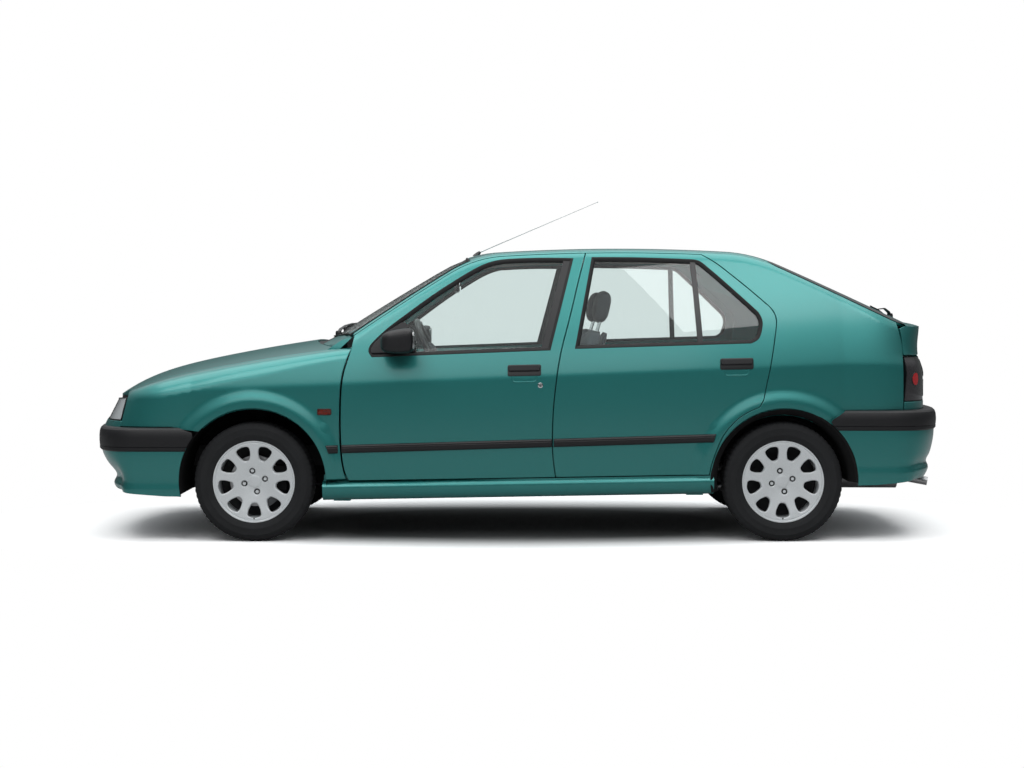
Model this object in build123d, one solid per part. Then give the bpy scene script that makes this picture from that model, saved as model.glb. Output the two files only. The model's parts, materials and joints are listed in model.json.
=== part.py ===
"""Compact five-door hatchback, modelled as an assembly of its real panels and running gear.

Frame: millimetres, +X forward, +Y to the car's left, +Z up. The origin is on the ground, at
mid-length on the centre plane, which is also midway between the two axles.

The outer skin is one set of explicit functions (the first section below). Every panel is a slab
of that skin, lofted through cross-sections, and cut to its own outline. Left-hand pieces are
modelled and mirrored to the right.
"""

import math
import os

from build123d import *

# ----------------------------------------------------------------------------------------------
# Driving dimensions
# ----------------------------------------------------------------------------------------------
LENGTH = 4156.0
WHEELBASE = 2540.0
TRACK = 1430.0
HALF_WIDTH = 834.0
ROOF_HEIGHT = 1423.0

GAP = 5.0  # shut line between two outer panels
DOOR_DEPTH = 60.0
FRAME_DEPTH = 36.0  # door frame above the belt
DOOR_FLANGE = 16.0  # outer flange of a door, at its full outline
DOOR_INSET = 12.0  # how far the inner part of a door stands inside its outline
POCKET_DEPTH = DOOR_DEPTH + 18.0
SIDE_DEPTH = 108.0  # whole thickness of the body side behind the skin
APERTURE_INSET = 34.0  # the door seal's land around each doorway
ROOF_THICKNESS = 22.0
PANEL_THICKNESS = 14.0  # wing, with its folded edges
BONNET_THICKNESS = 20.0
GLASS_THICKNESS = 5.0
GLASS_RECESS = 7.0

TYRE_RADIUS = 287.0
TYRE_WIDTH = 175.0
RIM_RADIUS = 196.0
RIM_WINDOWS = 9
SPINDLE_RADIUS = 17.0
SPINDLE_CLEARANCE = 0.05

ARCH_RADIUS = 350.0
ARCH_RISE = 6.0  # arch centre above the wheel centre
FLARE_HEIGHT = 16.0
FLARE_INNER = 378.0  # radius where the lip starts to blend into the skin
FLARE_OUTER = 446.0

NOSE_START_X = 1564.0  # where the plan view starts to round off towards either end
FRONT_BUMPER_START_X = 1786.0
REAR_BUMPER_START_X = -1725.0
BUMPER_HALF_WIDTH = 838.0
BUMPER_TOP_Z = 545.0
REAR_SKIN_BOTTOM_Z = 560.0  # of the rear quarter and the panel between the lamps
SILL_TOP_Z = 297.0
SILL_BOTTOM_Z = 210.0
BODY_RAKE = 0.0165  # rise of the sill and door bottoms towards the rear, per millimetre

STEER_LIMIT = 34.0
STEERING_RATIO = 17.0
BUFFER_RADIUS = 8.0
BUFFER_GAP = 0.3  # between a buffer and the shut panel
DOOR_BUFFERS = [(-139, 560), (-145, 700), (-700, 343), (-1182, 860)]  # (x, z)
JACK_POINTS = [(850, 192), (-850, 220)]  # (x, z of the pad's underside)
TOW_EYE_RADIUS = 14.0
TOW_EYE_Y = (-416.0, -404.0)  # both faces of each eye's plate
FRONT_TOW_EYE = (1922.0, 206.0)  # (x, z) of the eye's centre
REAR_TOW_EYE = (-1935.0, 238.0)

# Where each edge lies round the cabin's rounded corner: 0 starts on the side, 1 ends on top
DOOR_SHARE = 0.42
ROOF_SHARE = 0.86
SCREEN_SHARE = 0.70
SEAL_GAP = 0.7  # sealed joint between fixed panels
SCREEN_GAP = 0.95  # bonding gap round the windscreen
UPPER_BOTTOM = 862.0  # where a slab that lies wholly above the shoulder line starts
PLAN_STEPS = 14  # sections round each end between the side and the centre plane
VIEW_TILT = 25.0  # of the view in which edges are cut through a rounded corner

TAILGATE_FRONT_X = -1200.0
TAILGATE_BOTTOM_Z = 596.0
BONNET_REAR_X = 868.0
BONNET_CORNER_X = 1886.0
SCREEN_FOOT_X = 945.0
WING_EDGE_INSET = 94.0  # bonnet's side shut line inboard of the widest body side, at x = 900
SILL_INSET = 5.0  # outermost edge of the sill inboard of the widest body side
FLOOR_INSET = 144.0  # edge of the floor inboard of the widest body side
FLOOR_Z = 262.0  # upper face of the cabin floor
FLOOR_THICKNESS = 30.0
TUNNEL_HALF = 130.0
TUNNEL_WALL = 35.0
TUNNEL_TOP_Z = 360.0
HEELBOARD_X = (-800.0, -750.0)
BOOT_FLOOR_Z = (400.0, 425.0)  # both faces of the boot floor
BOOT_WALL_X = (-1955.0, -1930.0)
ARCH_WALL = 14.0
ARCH_INNER_Y = 425.0

LAMP_INNER_Y = 352.0
GRILLE_HALF = 346.0
LEG_Y = 425.0
SEAT_Y = 365.0
MIRROR_OVERHANG = 183.0  # outermost edge of a door mirror beyond the widest body side
STEERING_CENTRE = (432.0, SEAT_Y, 890.0)
STEERING_RADIUS = 180.0
RIM_SIDES = 12  # of the steering wheel rim's section
COLUMN_TILT = 24.0  # of the steering axis above level, pointing at the driver

DOOR_LIMIT = 66.0
TAILGATE_LIMIT = 78.0
BONNET_LIMIT = 55.0

FRONT_X = WHEELBASE / 2
REAR_X = -WHEELBASE / 2
WHEEL_Z = TYRE_RADIUS
WHEEL_Y = TRACK / 2
ARCH_Z = WHEEL_Z + ARCH_RISE
FRONT_BUMPER_REACH = LENGTH / 2 - FRONT_BUMPER_START_X
REAR_BUMPER_REACH = LENGTH / 2 + REAR_BUMPER_START_X
KINGPIN_LOW = (FRONT_X, WHEEL_Y - 55.0, 190.0)
KINGPIN_HIGH = (FRONT_X - 22.0, WHEEL_Y - 175.0, 786.0)
BALL_JOINT_Z = 206.0
VIEW_AXIS = Vector(0, math.cos(math.radians(VIEW_TILT)), math.sin(math.radians(VIEW_TILT)))


# ----------------------------------------------------------------------------------------------
# The outer skin
# ----------------------------------------------------------------------------------------------
def smooth_step(t):
    """0 below t = 0, 1 above t = 1, and a smooth rise between."""
    t = min(1.0, max(0.0, t))
    return t * t * (3 - 2 * t)


def smooth_min(a, b, width):
    """The smaller of two heights, blended where they are closer than width."""
    near = max(width - abs(a - b), 0.0)
    return min(a, b) - near * near / (4 * width)


def body_half_width(x):
    """Greatest half-width of the body at x, before the ends round off."""
    t = min(abs(x), NOSE_START_X) / 2000.0
    return HALF_WIDTH - (70.0 if x > 0 else 75.0) * t**4


def crease_z(x):
    """Height of the shoulder line, which rises towards the rear."""
    x = max(-NOSE_START_X, min(NOSE_START_X, x))
    return 790.0 - 0.04 * x


def tumblehome(x, z):
    """How far the side leans in from its widest line at height z."""
    u = z - crease_z(x)
    h = math.hypot(u, 12.0)
    above, below = (h + u) / 2, (h - u) / 2
    return 0.2126 * above + 2.66e-4 * above**2 + 1.8e-7 * below**3


def flare(x, z):
    """Stand-out of the wheel-arch lips."""
    total = 0.0
    for axle_x in (FRONT_X, REAR_X):
        r = math.hypot(x - axle_x, z - ARCH_Z)
        total += FLARE_HEIGHT * smooth_step((FLARE_OUTER - r) / (FLARE_OUTER - FLARE_INNER))
    return total


def nose_centre_x(z):
    """Front face of the nose on the centre plane: it leans back above the bumper."""
    return 2049.0 - 0.54 * (z - 571.0)


def tail_centre_x(z):
    """Rear face of the tail on the centre plane, as a positive distance behind the origin."""
    upper = smooth_step((z - 800.0) / 110.0) - smooth_step((z - 930.0) / 110.0)
    return 2016.0 - 30.0 * upper - 18.0 * smooth_step((z - 930.0) / 110.0)


def end_reach(x, z):
    """Distance from where the plan starts to round off to the end face, at height z."""
    centre = nose_centre_x(z) if x > 0 else tail_centre_x(z)
    return centre - NOSE_START_X


def side_y(x, z):
    """Half-width of the skin at (x, z), with the plan rounded off at both ends."""
    full = body_half_width(x) - tumblehome(x, z) + flare(x, z)
    beyond = abs(x) - NOSE_START_X
    if beyond <= 0:
        return full
    share = min(1.0, beyond / end_reach(x, z))
    return full * max(0.0, 1 - share**4) ** 0.25


def end_x(y, z, front=True):
    """Distance of the nose or tail face from the origin at (y, z)."""
    sign = 1 if front else -1
    full = body_half_width(sign * NOSE_START_X) - tumblehome(sign * NOSE_START_X, z)
    share = min(0.9999, abs(y) / full)
    return NOSE_START_X + end_reach(sign, z) * (1 - share**4) ** 0.25


def bonnet_z(x, y):
    """Bonnet and wing tops."""
    s = (x - 1050.0) / 950.0
    middle = 955.0 - 140.0 * s - 52.0 * s * s - 74.0 * max(0.0, s) ** 8
    return middle - 1.04e-4 * y * y


def screen_z(x, y):
    """Windscreen plane, bowed forward in the middle."""
    d = 850.0 - x - 2.0e-4 * y * y
    return 1037.0 + 0.635 * d - 6.0e-5 * d * d


def roof_z(x, y):
    """Roof, crowned both ways."""
    return ROOF_HEIGHT - 5.2e-5 * (x + 500.0) ** 2 - 5.5e-5 * y * y


def backlight_z(x, y):
    """Rear window slope, bowed backwards in the middle."""
    d = -1336.0 - x + 2.2e-4 * y * y
    return 1332.0 - 0.44 * d - 3.0e-5 * d * max(0.0, d)


def cabin_z(x, y):
    """Windscreen, roof and rear window as one blended surface."""
    top = smooth_min(roof_z(x, y), screen_z(x, y), 66.0)
    return smooth_min(top, backlight_z(x, y), 50.0)


class Corner:
    """The rounded edge between the side and a top surface, in the section at x.

    It is a parabola from (y0, z0) on the side to (y1, z1) on the top, whose tangents meet at
    the sharp corner (yc, zc).
    """

    def __init__(self, x, top, side_run=42.0, top_run=44.0):
        z = 1000.0
        for _ in range(60):
            z = 0.5 * z + 0.5 * top(x, side_y(x, z))
        self.zc, self.yc = z, side_y(x, z)
        self.z0 = z - side_run
        self.y0 = side_y(x, self.z0)
        self.y1 = self.yc - top_run
        self.z1 = top(x, self.y1)
        self.x, self.top = x, top

    def point(self, t):
        """(y, z) on the rounding, from the side at t = 0 to the top at t = 1."""
        a, b, c = (1 - t) ** 2, 2 * t * (1 - t), t * t
        return a * self.y0 + b * self.yc + c * self.y1, a * self.z0 + b * self.zc + c * self.z1

    def y_at(self, z):
        """Half-width of the rounded skin at height z."""
        if z <= self.z0:
            return side_y(self.x, z)
        a, b, c = self.z0 - 2 * self.zc + self.z1, 2 * (self.zc - self.z0), self.z0 - z
        t = self._root(a, b, c)
        return self.point(t)[0]

    def z_at(self, y):
        """Height of the rounded skin at half-width y."""
        if abs(y) <= self.y1:
            return self.top(self.x, y)
        a, b, c = self.y0 - 2 * self.yc + self.y1, 2 * (self.yc - self.y0), self.y0 - abs(y)
        t = self._root(a, b, c)
        return self.point(t)[1]

    @staticmethod
    def _root(a, b, c):
        if abs(a) < 1e-9:
            return min(1.0, max(0.0, -c / b))
        root = math.sqrt(max(0.0, b * b - 4 * a * c))
        for t in ((-b + root) / (2 * a), (-b - root) / (2 * a)):
            if -1e-6 <= t <= 1 + 1e-6:
                return min(1.0, max(0.0, t))
        return 1.0


def rounded(top):
    """The top surface with its rounded edges, as a height function of (x, y)."""
    corners = {}

    def height(x, y):
        if x not in corners:
            corners[x] = Corner(x, top)
        return corners[x].z_at(y)

    return height


# ----------------------------------------------------------------------------------------------
# Solids from sections and outlines
# ----------------------------------------------------------------------------------------------
def shared_parameters(rows):
    """Spline parameters that suit all the rows: their average shares of the row's length."""
    totals = [0.0] * len(rows[0])
    for row in rows:
        along = [0.0]
        for a, b in zip(row, row[1:]):
            along.append(along[-1] + (b - a).length)
        for k, distance in enumerate(along):
            totals[k] += distance / along[-1]
    return [total / len(rows) for total in totals]


def strip_wire(outer, inner, parameters):
    """A closed section between an outer and an inner row of points."""
    return Wire(
        [
            Edge.make_spline(outer, parameters=parameters),
            Edge.make_line(outer[-1], inner[-1]),
            Edge.make_spline(inner, parameters=parameters),
            Edge.make_line(inner[0], outer[0]),
        ]
    )


def loft_strips(strips):
    """A solid lofted through (outer, inner) sections, whose splines all share their knots."""
    parameters = shared_parameters([outer for outer, _ in strips])
    return Solid.make_loft([strip_wire(outer, inner, parameters) for outer, inner in strips])


def spread(low, high, count):
    """count evenly spaced values from low to high."""
    return [low + (high - low) * k / (count - 1) for k in range(count)]


def station_list(low, high, step):
    """Evenly spaced stations about step apart, ends included."""
    return spread(low, high, max(3, round((high - low) / step) + 1))


def side_slab(low_x, high_x, depth, top=cabin_z, recess=0.0, bottom=280.0, rail_y=26.0):
    """The body side between two stations, from bottom up to rail_y short of the corner's end.

    The slab runs from recess to recess + depth behind the skin, measured across the car.
    """
    strips = []
    for x in station_list(low_x, high_x, 75.0):
        corner = Corner(x, top)
        line = crease_z(x)
        if bottom < UPPER_BOTTOM:
            heights = spread(bottom, line - 26.0, 13) + [line - 11.0, line, line + 11.0]
            heights += spread(line + 26.0, corner.z0, 9)
        else:
            heights = spread(bottom, corner.z0, 13)
        row = [(corner.y_at(z), z) for z in heights]
        row += [corner.point(t) for t in (0.18, 0.36, 0.54, 0.72, 0.86, 0.96)]
        outer = [Vector(x, y - recess, z) for y, z in row]
        inner = [Vector(x, y - recess - depth, z) for y, z in row]
        strips.append((outer, inner))
    return loft_strips(strips)


def top_slab(low_x, high_x, edge_y, top, thickness, step=60.0, recess=0.0):
    """A roof-like slab: edge_y(x) is its half-width, and it is thickness deep, straight down."""
    strips = []
    surface = top if top is bonnet_z else rounded(top)
    for x in station_list(low_x, high_x, step):
        half = edge_y(x)
        ys = [half * math.sin(a) for a in spread(-math.pi / 2, math.pi / 2, 17)]
        row = [(y, surface(x, y) - recess) for y in ys]
        outer = [Vector(x, y, z) for y, z in row]
        inner = [Vector(x, y, z - thickness) for y, z in row]
        strips.append((outer, inner))
    return loft_strips(strips)


def edge_share(x):
    """Share of the rounding where the body side meets the windscreen, then the roof."""
    return SCREEN_SHARE + (ROOF_SHARE - SCREEN_SHARE) * smooth_step((260.0 - x) / 110.0)


def edge_height(x, share):
    """Height of the cabin's rounded edge at x, at this share of the rounding."""
    return Corner(x, cabin_z).point(share)[1]


def edge_curve(high_x, low_x, share):
    """An edge along the rounding, seen from the side, from its front to its rear."""
    return [(x, edge_height(x, share)) for x in station_list(low_x, high_x, 90.0)][::-1]


def seam_y(x):
    """Half-width of the body side's upper edge, at the windscreen, roof and tailgate."""
    return Corner(x, cabin_z).point(edge_share(x))[0]


class Outline:
    """A closed outline in a flat view, made of stretches: two points for a line, more for a curve."""

    def __init__(self, *stretches):
        self.stretches = [list(s) for s in stretches]

    def area(self):
        """Signed area of the polygon through all the points."""
        points = [p for s in self.stretches for p in s]
        total = 0.0
        for (x0, z0), (x1, z1) in zip(points, points[1:] + points[:1]):
            total += x0 * z1 - x1 * z0
        return total / 2

    def grown(self, distance):
        """The outline moved outwards by distance, or inwards if it is negative."""
        side = 1.0 if self.area() > 0 else -1.0
        moved = []
        for stretch in self.stretches:
            row = []
            for k, (x, z) in enumerate(stretch):
                x0, z0 = stretch[max(0, k - 1)]
                x1, z1 = stretch[min(len(stretch) - 1, k + 1)]
                length = math.hypot(x1 - x0, z1 - z0)
                row.append(
                    (
                        x + side * distance * (z1 - z0) / length,
                        z - side * distance * (x1 - x0) / length,
                    )
                )
            moved.append(row)
        for k in range(len(moved)):
            before, after = moved[k - 1], moved[k]
            meet = self._meet(before[-2], before[-1], after[0], after[1])
            before[-1] = after[0] = meet
        return Outline(*moved)

    @staticmethod
    def _meet(a, b, c, d):
        """Where the line a-b crosses the line c-d, or the middle of b-c if they are parallel."""
        ux, uz, vx, vz = b[0] - a[0], b[1] - a[1], d[0] - c[0], d[1] - c[1]
        cross = ux * vz - uz * vx
        if abs(cross) < 0.02 * math.hypot(ux, uz) * math.hypot(vx, vz):
            return (b[0] + c[0]) / 2, (b[1] + c[1]) / 2
        t = ((c[0] - a[0]) * vz - (c[1] - a[1]) * vx) / cross
        return a[0] + t * ux, a[1] + t * uz

    def wire(self, place):
        """The outline as a wire, with place turning each (u, v) into a point in space."""
        edges = []
        for stretch in self.stretches:
            points = [place(u, v) for u, v in stretch]
            if len(points) == 2:
                edges.append(Edge.make_line(*points))
            else:
                edges.append(Edge.make_spline(points))
        return Wire(edges)

    def turned(self, sign):
        """The same outline, run round so that its signed area has this sign."""
        if self.area() * sign > 0:
            return self
        return Outline(*[stretch[::-1] for stretch in self.stretches[::-1]])

    def across(self, low_y=0.0, high_y=1300.0):
        """A prism of this side-view outline, from low_y to high_y."""
        face = Face(self.turned(-1).wire(lambda x, z: Vector(x, low_y, z)))
        return Solid.extrude(face, Vector(0, high_y - low_y, 0))

    def upright(self, low_z=0.0, high_z=1700.0):
        """A prism of this plan-view outline, from low_z to high_z."""
        face = Face(self.turned(1).wire(lambda x, y: Vector(x, y, low_z)))
        return Solid.extrude(face, Vector(0, 0, high_z - low_z))

    def along(self, low_x, high_x):
        """A prism of this end-view outline, from low_x to high_x."""
        face = Face(self.turned(1).wire(lambda y, z: Vector(low_x, y, z)))
        return Solid.extrude(face, Vector(high_x - low_x, 0, 0))


def polygon(*points):
    """An outline of straight lines through the points."""
    return Outline(*[(a, b) for a, b in zip(points, points[1:] + points[:1])])


def block(low_x, high_x, low_y, high_y, low_z, high_z):
    """A box between two corners."""
    box = Solid.make_box(high_x - low_x, high_y - low_y, high_z - low_z)
    return box.moved(Location((low_x, low_y, low_z)))


def skin_prism(outline, top):
    """A prism of an outline drawn on the left skin, seen from the side.

    It runs square to a view from a little above, so one prism trims the side and its rounded
    top edge together.
    """
    corners = {}

    def place(x, z):
        key = round(x, 3)
        if key not in corners:
            corners[key] = Corner(x, top)
        y = corners[key].y_at(z)
        depth = y * VIEW_AXIS.Y + z * VIEW_AXIS.Z
        return Vector(x, y - depth * VIEW_AXIS.Y, z - depth * VIEW_AXIS.Z)

    face = Face(outline.turned(-1).wire(place))
    return Solid.extrude(face, VIEW_AXIS * 2500.0)


def rod(start, end, radius):
    """A round bar between two points."""
    a, b = Vector(*start), Vector(*end)
    plane = Plane(origin=a, z_dir=(b - a).normalized())
    return Solid.make_cylinder(radius, (b - a).length, plane)


def cylinder_y(x, y0, y1, z, radius):
    """A cylinder across the car."""
    return rod((x, y0, z), (x, y1, z), radius)


def other_side(shape):
    """The same piece on the car's right."""
    return shape.mirror(Plane.XZ)


def one_solid(shape):
    """The largest solid of a shape."""
    return max(shape.solids(), key=lambda s: s.volume)


def joined(*shapes):
    """The shapes fused into one."""
    result = shapes[0]
    for shape in shapes[1:]:
        result = result.fuse(shape)
    return result


def group(*solids):
    """Separate solids that share a node."""
    return Compound(children=[s for shape in solids for s in shape.solids()])


# ----------------------------------------------------------------------------------------------
# Outlines of the side
# ----------------------------------------------------------------------------------------------
DOOR_LINE = [(-178, 310), (-164, 420), (-162, 525), (-165, 613), (-177, 744), (-204, 911)]
DOOR_LINE += [(-241, 1052), (-288, 1241), (-327, edge_height(-327, DOOR_SHARE))]
FRONT_SHUT_LINE = [(789, edge_height(789, DOOR_SHARE)), (812, 890), (834, 815), (846, 727)]
FRONT_SHUT_LINE += [(850, 630), (850, 524), (844, 409), (834, 347), (813, 294)]
SCREEN_SHUT_LINE = edge_curve(789, -327, DOOR_SHARE)[::-1]
REAR_TOP = (-889, edge_height(-889, DOOR_SHARE))

FRONT_DOOR = Outline(FRONT_SHUT_LINE, [(813, 294), (-178, 310)], DOOR_LINE, SCREEN_SHUT_LINE)
REAR_DOOR = Outline(
    DOOR_LINE[::-1],
    [(-178, 310), (-913, 322)],
    [(-913, 322), (-924, 377), (-944, 435), (-976, 509), (-1013, 558), (-1063, 604), (-1150, 648)],
    [(-1150, 648), (-1166, 676), (-1182, 739), (-1201, 828), (-1221, 935), (-1236, 1025)],
    [(-1236, 1025), (-1238, 1064), (-1225, 1104), (-1187, 1145)],
    [(-1187, 1145), (-1107, 1216), (-1026, 1284), (-945, 1347), REAR_TOP],
    edge_curve(-327, -889, DOOR_SHARE)[::-1],
)
FRONT_WINDOW = Outline(
    [(700, 887), (-151, 920)],
    [(-151, 920), (-265, 1360)],
    [(-265, 1360), (-120, 1362), (20, 1358), (120, 1346), (197, 1316), (286, 1264), (375, 1207)]
    + [(552, 1079), (640, 1010), (702, 950)],
    [(702, 950), (716, 915), (700, 887)],
)
REAR_WINDOW = Outline(
    [(-272, 927), (-1112, 953)],
    [(-1112, 953), (-1146, 972), (-1164, 1015), (-1168, 1060), (-1150, 1100)],
    [(-1150, 1100), (-1065, 1180), (-952, 1284), (-900, 1330)],
    [(-900, 1330), (-876, 1347), (-845, 1354)],
    [(-845, 1354), (-600, 1363), (-358, 1365)],
    [(-358, 1365), (-272, 927)],
)


def belt_cut(depth_from):
    """The space above the belt, inboard of a door frame: it thins the frame to its own depth."""
    outline = polygon((900, 870), (-1300, 944), (-1300, 1500), (900, 1500))
    slab = side_slab(-1290.0, 930.0, 120.0, recess=depth_from, bottom=UPPER_BOTTOM)
    return slab & outline.across(200.0)


# ----------------------------------------------------------------------------------------------
# Doors and their glass
# ----------------------------------------------------------------------------------------------
def make_door(outline, window, low_x, high_x):
    """A whole left-hand door: full outline at its flange, inset behind, with its window cut."""
    skin = side_slab(low_x, high_x, DOOR_FLANGE)
    inner = side_slab(low_x, high_x, DOOR_DEPTH - DOOR_FLANGE + 1.0, recess=DOOR_FLANGE - 1.0)
    door = (skin & outline.grown(-GAP / 2).across(200.0)).fuse(
        inner & outline.grown(-GAP / 2 - DOOR_INSET).across(200.0)
    )
    door = door - belt_cut(FRAME_DEPTH) - window.across(200.0)
    return one_solid(door)


def make_window(window, low_x, high_x):
    """Door glass, set just inside its opening and behind the skin."""
    pane = side_slab(low_x, high_x, GLASS_THICKNESS, recess=GLASS_RECESS, bottom=UPPER_BOTTOM)
    return one_solid(pane & window.grown(-0.3).across(200.0))


def make_mirror():
    """Left door mirror: a sail plate in the window's front corner, an arm and the housing."""
    sail = Outline(
        [(690, 896), (540, 902)],
        [(540, 902), (570, 1052)],
        [(570, 1052), (640, 1000), (692, 945)],
        [(692, 945), (705, 916), (690, 896)],
    )
    plate = side_slab(480.0, 760.0, 12.0, recess=-5.4, bottom=UPPER_BOTTOM) & sail.across(200.0)
    outer = HALF_WIDTH + MIRROR_OVERHANG
    housing = fillet_all(block(545, 695, outer - 205, outer, 912, 1024), 30.0)
    arm = block(575, 668, outer - 247, outer - 187, 925, 985)
    arm = arm - (side_slab(480.0, 760.0, 80.0, recess=2.0, bottom=UPPER_BOTTOM))
    return one_solid(joined(plate, arm, housing))


def fillet_all(solid, radius):
    """Every edge of a block rounded."""
    return solid.fillet(radius, solid.edges())


# ----------------------------------------------------------------------------------------------
# Fixed body panels
# ----------------------------------------------------------------------------------------------
def arch_arc(axle_x, start, finish):
    """Points round a wheel arch in the side view, between two angles in degrees."""
    points = []
    for angle in station_list(start, finish, 15.0) if start < finish else spread(start, finish, 9):
        a = math.radians(angle)
        x = axle_x + ARCH_RADIUS * math.cos(a)
        points.append((x, ARCH_Z + ARCH_RADIUS * math.sin(a)))
    return points


def arch_angle(height, towards_rear):
    """Angle, in degrees, at which the arch's edge is at this height."""
    angle = math.degrees(math.asin((height - ARCH_Z) / ARCH_RADIUS))
    return 180.0 - angle if towards_rear else angle


def make_body_side():
    """Left body side: sill, pillars, roof rail and rear quarter round the two doorways."""
    skin = side_slab(-1900.0, 880.0, POCKET_DEPTH + 6.0)
    frame = side_slab(-1290.0, 880.0, SIDE_DEPTH - POCKET_DEPTH, recess=POCKET_DEPTH)
    upper = edge_curve(792.0, -1820.0, 0.94)
    arch = arch_arc(REAR_X, arch_angle(530.0, True), arch_angle(302.0, False))
    skin_keep = Outline(
        [(794.0, 302.0), upper[0]],
        upper,
        [upper[-1], (-1826.0, 1020.0), (-1838.0, 972.0), (-1845.0, 895.0)],
        [(-1845.0, 895.0), (-1848.0, 530.0)],
        [(-1848.0, 530.0), arch[0]],
        arch,
        [arch[-1], (794.0, 302.0)],
    )
    frame_upper = edge_curve(770.0, -1240.0, 0.90)
    frame_keep = Outline(
        [(772.0, 306.0), frame_upper[0]],
        frame_upper,
        [frame_upper[-1], (-1240.0, 660.0)],
        [(-1240.0, 660.0), (-1120.0, 625.0), (-1010.0, 540.0), (-930.0, 410.0), (-915.0, 306.0)],
        [(-915.0, 306.0), (772.0, 306.0)],
    )
    skin = skin & skin_prism(skin_keep, cabin_z)
    frame = frame & skin_prism(frame_keep, cabin_z)
    for outline in (FRONT_DOOR, REAR_DOOR):
        skin = skin - outline.grown(GAP / 2).across(200.0)
        frame = frame - outline.grown(-APERTURE_INSET).across(200.0)
    side = joined(frame, *skin.solids()) & outside_of(seam_y, -1950.0, 850.0)
    side = side - block(-1900, -1450, 500, 1000, 400, REAR_SKIN_BOTTOM_Z)
    pads = [block(x - 40, x + 40, 700, 750, z, z + 22) for x, z in JACK_POINTS]
    return one_solid(joined(side, make_sill(), *make_door_buffers(), *pads))


def make_door_buffers():
    """Rubber buffers on the pillars, which the shut doors rest against."""
    depth = POCKET_DEPTH - DOOR_DEPTH + 4.0
    land = side_slab(-1250.0, 860.0, depth, recess=DOOR_DEPTH + BUFFER_GAP)
    return [land & cylinder_y(x, 500, 900, z, BUFFER_RADIUS) for x, z in DOOR_BUFFERS]


def make_sill():
    """Left sill between the arches, stepped out below the doors."""
    out, low, top = HALF_WIDTH - SILL_INSET, SILL_BOTTOM_Z, SILL_TOP_Z
    inner = HALF_WIDTH - FLOOR_INSET
    section = Outline(
        [(inner, top + 30), (inner, low)],
        [(inner, low), (out - 43, low)],
        [(out - 43, low), (out - 17, low + 16), (out - 3, low + 42)],
        [(out - 3, low + 42), (out, low + 60), (out - 5, low + 74)],
        [(out - 5, low + 74), (out - 23, top), (out - 59, top + 3)],
        [(out - 59, top + 3), (out - 93, top + 6)],
        [(out - 93, top + 6), (out - 93, top + 30)],
        [(out - 93, top + 30), (inner, top + 30)],
    )
    start_x, end_x_ = 938.0, -935.0
    face = Face(section.wire(lambda y, z: Vector(start_x, y, z - GAP / 2 - 8)))
    length = start_x - end_x_
    return Solid.extrude(face, Vector(-length, 0, length * BODY_RAKE))


def arch_cut(axle_x, radius=ARCH_RADIUS, inner_y=430.0):
    """Space for a wheel, out through the side."""
    return cylinder_y(axle_x, inner_y, 1200.0, ARCH_Z, radius)


def wing_slab(thickness):
    """The left wing's whole skin, untrimmed."""
    strips = []
    for x in station_list(740.0, 1925.0, 75.0):
        run = wing_run(x)
        corner = Corner(x, bonnet_z, run, run)
        line = crease_z(x)
        top = min(line - 26.0, corner.z0 - 80.0)
        row = [(corner.y_at(z), z) for z in spread(270.0, top, 13)]
        row += [(corner.y_at(z), z) for z in spread(top, corner.z0, 6)[1:]]
        row += [corner.point(t) for t in (0.2, 0.4, 0.6, 0.8, 1.0)]
        edge = min(wing_edge_y(x), corner.y1 - 4.0) - 18.0
        row += [(y, bonnet_z(x, y)) for y in spread(corner.y1, edge, 3)[1:]]
        outer = [Vector(x, y, z) for y, z in row]
        strips.append((outer, inward(outer, thickness)))
    return loft_strips(strips)


def make_front_wing():
    """Left front wing with its crown, from the door back to the headlamp."""
    slab = wing_slab(PANEL_THICKNESS)
    arch = arch_arc(FRONT_X, arch_angle(302.0, True), arch_angle(BUMPER_TOP_Z + 6, False))
    inner = [(x, bonnet_z(x, wing_inner_y(x))) for x in spread(1884.0, 862.0, 12)]
    keep = Outline(
        [(828, 302), arch[0]],
        arch,
        [arch[-1], (1918, BUMPER_TOP_Z + 6)],
        [(1918, BUMPER_TOP_Z + 6), (1908, 584)],
        [(1908, 584), (1884, 690)],
        [(1884, 690), inner[0]],
        inner,
        [inner[-1], (795, 936)],
        [(795, 936), (818, 885), (840, 815), (852, 727), (856, 630), (856, 524), (850, 409)]
        + [(840, 347), (828, 302)],
    )
    return one_solid((slab & wing_prism(keep)) & outside_of(wing_edge_y, 700.0, 1960.0))


def wing_prism(outline):
    """A prism for the wing, whose crown carries on inwards past its rounded edge."""

    def place(x, z):
        run = wing_run(x)
        corner = Corner(x, bonnet_z, run, run)
        y = corner.y_at(z) if z < corner.z1 else wing_inner_y(x)
        depth = y * VIEW_AXIS.Y + z * VIEW_AXIS.Z
        return Vector(x, y - depth * VIEW_AXIS.Y, z - depth * VIEW_AXIS.Z)

    face = Face(outline.turned(-1).wire(place))
    return Solid.extrude(face, VIEW_AXIS * 2500.0)


def wing_inner_y(x):
    """Half-width of the wing before its inner edge is trimmed square."""
    return wing_edge_y(x) - 9.0


def wing_run(x):
    """Size of the wing crown's rounding, which is tightest at the door and the headlamp."""
    rise = 24.0 * smooth_step((x - 850.0) / 450.0) + 8.0 * smooth_step((x - 1300.0) / 300.0)
    return 46.0 + rise - 40.0 * smooth_step((x - 1640.0) / 260.0)


def wing_edge_y(x):
    """Half-width of the bonnet's side shut line."""
    s = (x - 900.0) / 1000.0
    return HALF_WIDTH - WING_EDGE_INSET - 24.0 * s - 76.0 * max(0.0, s) ** 3


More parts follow.
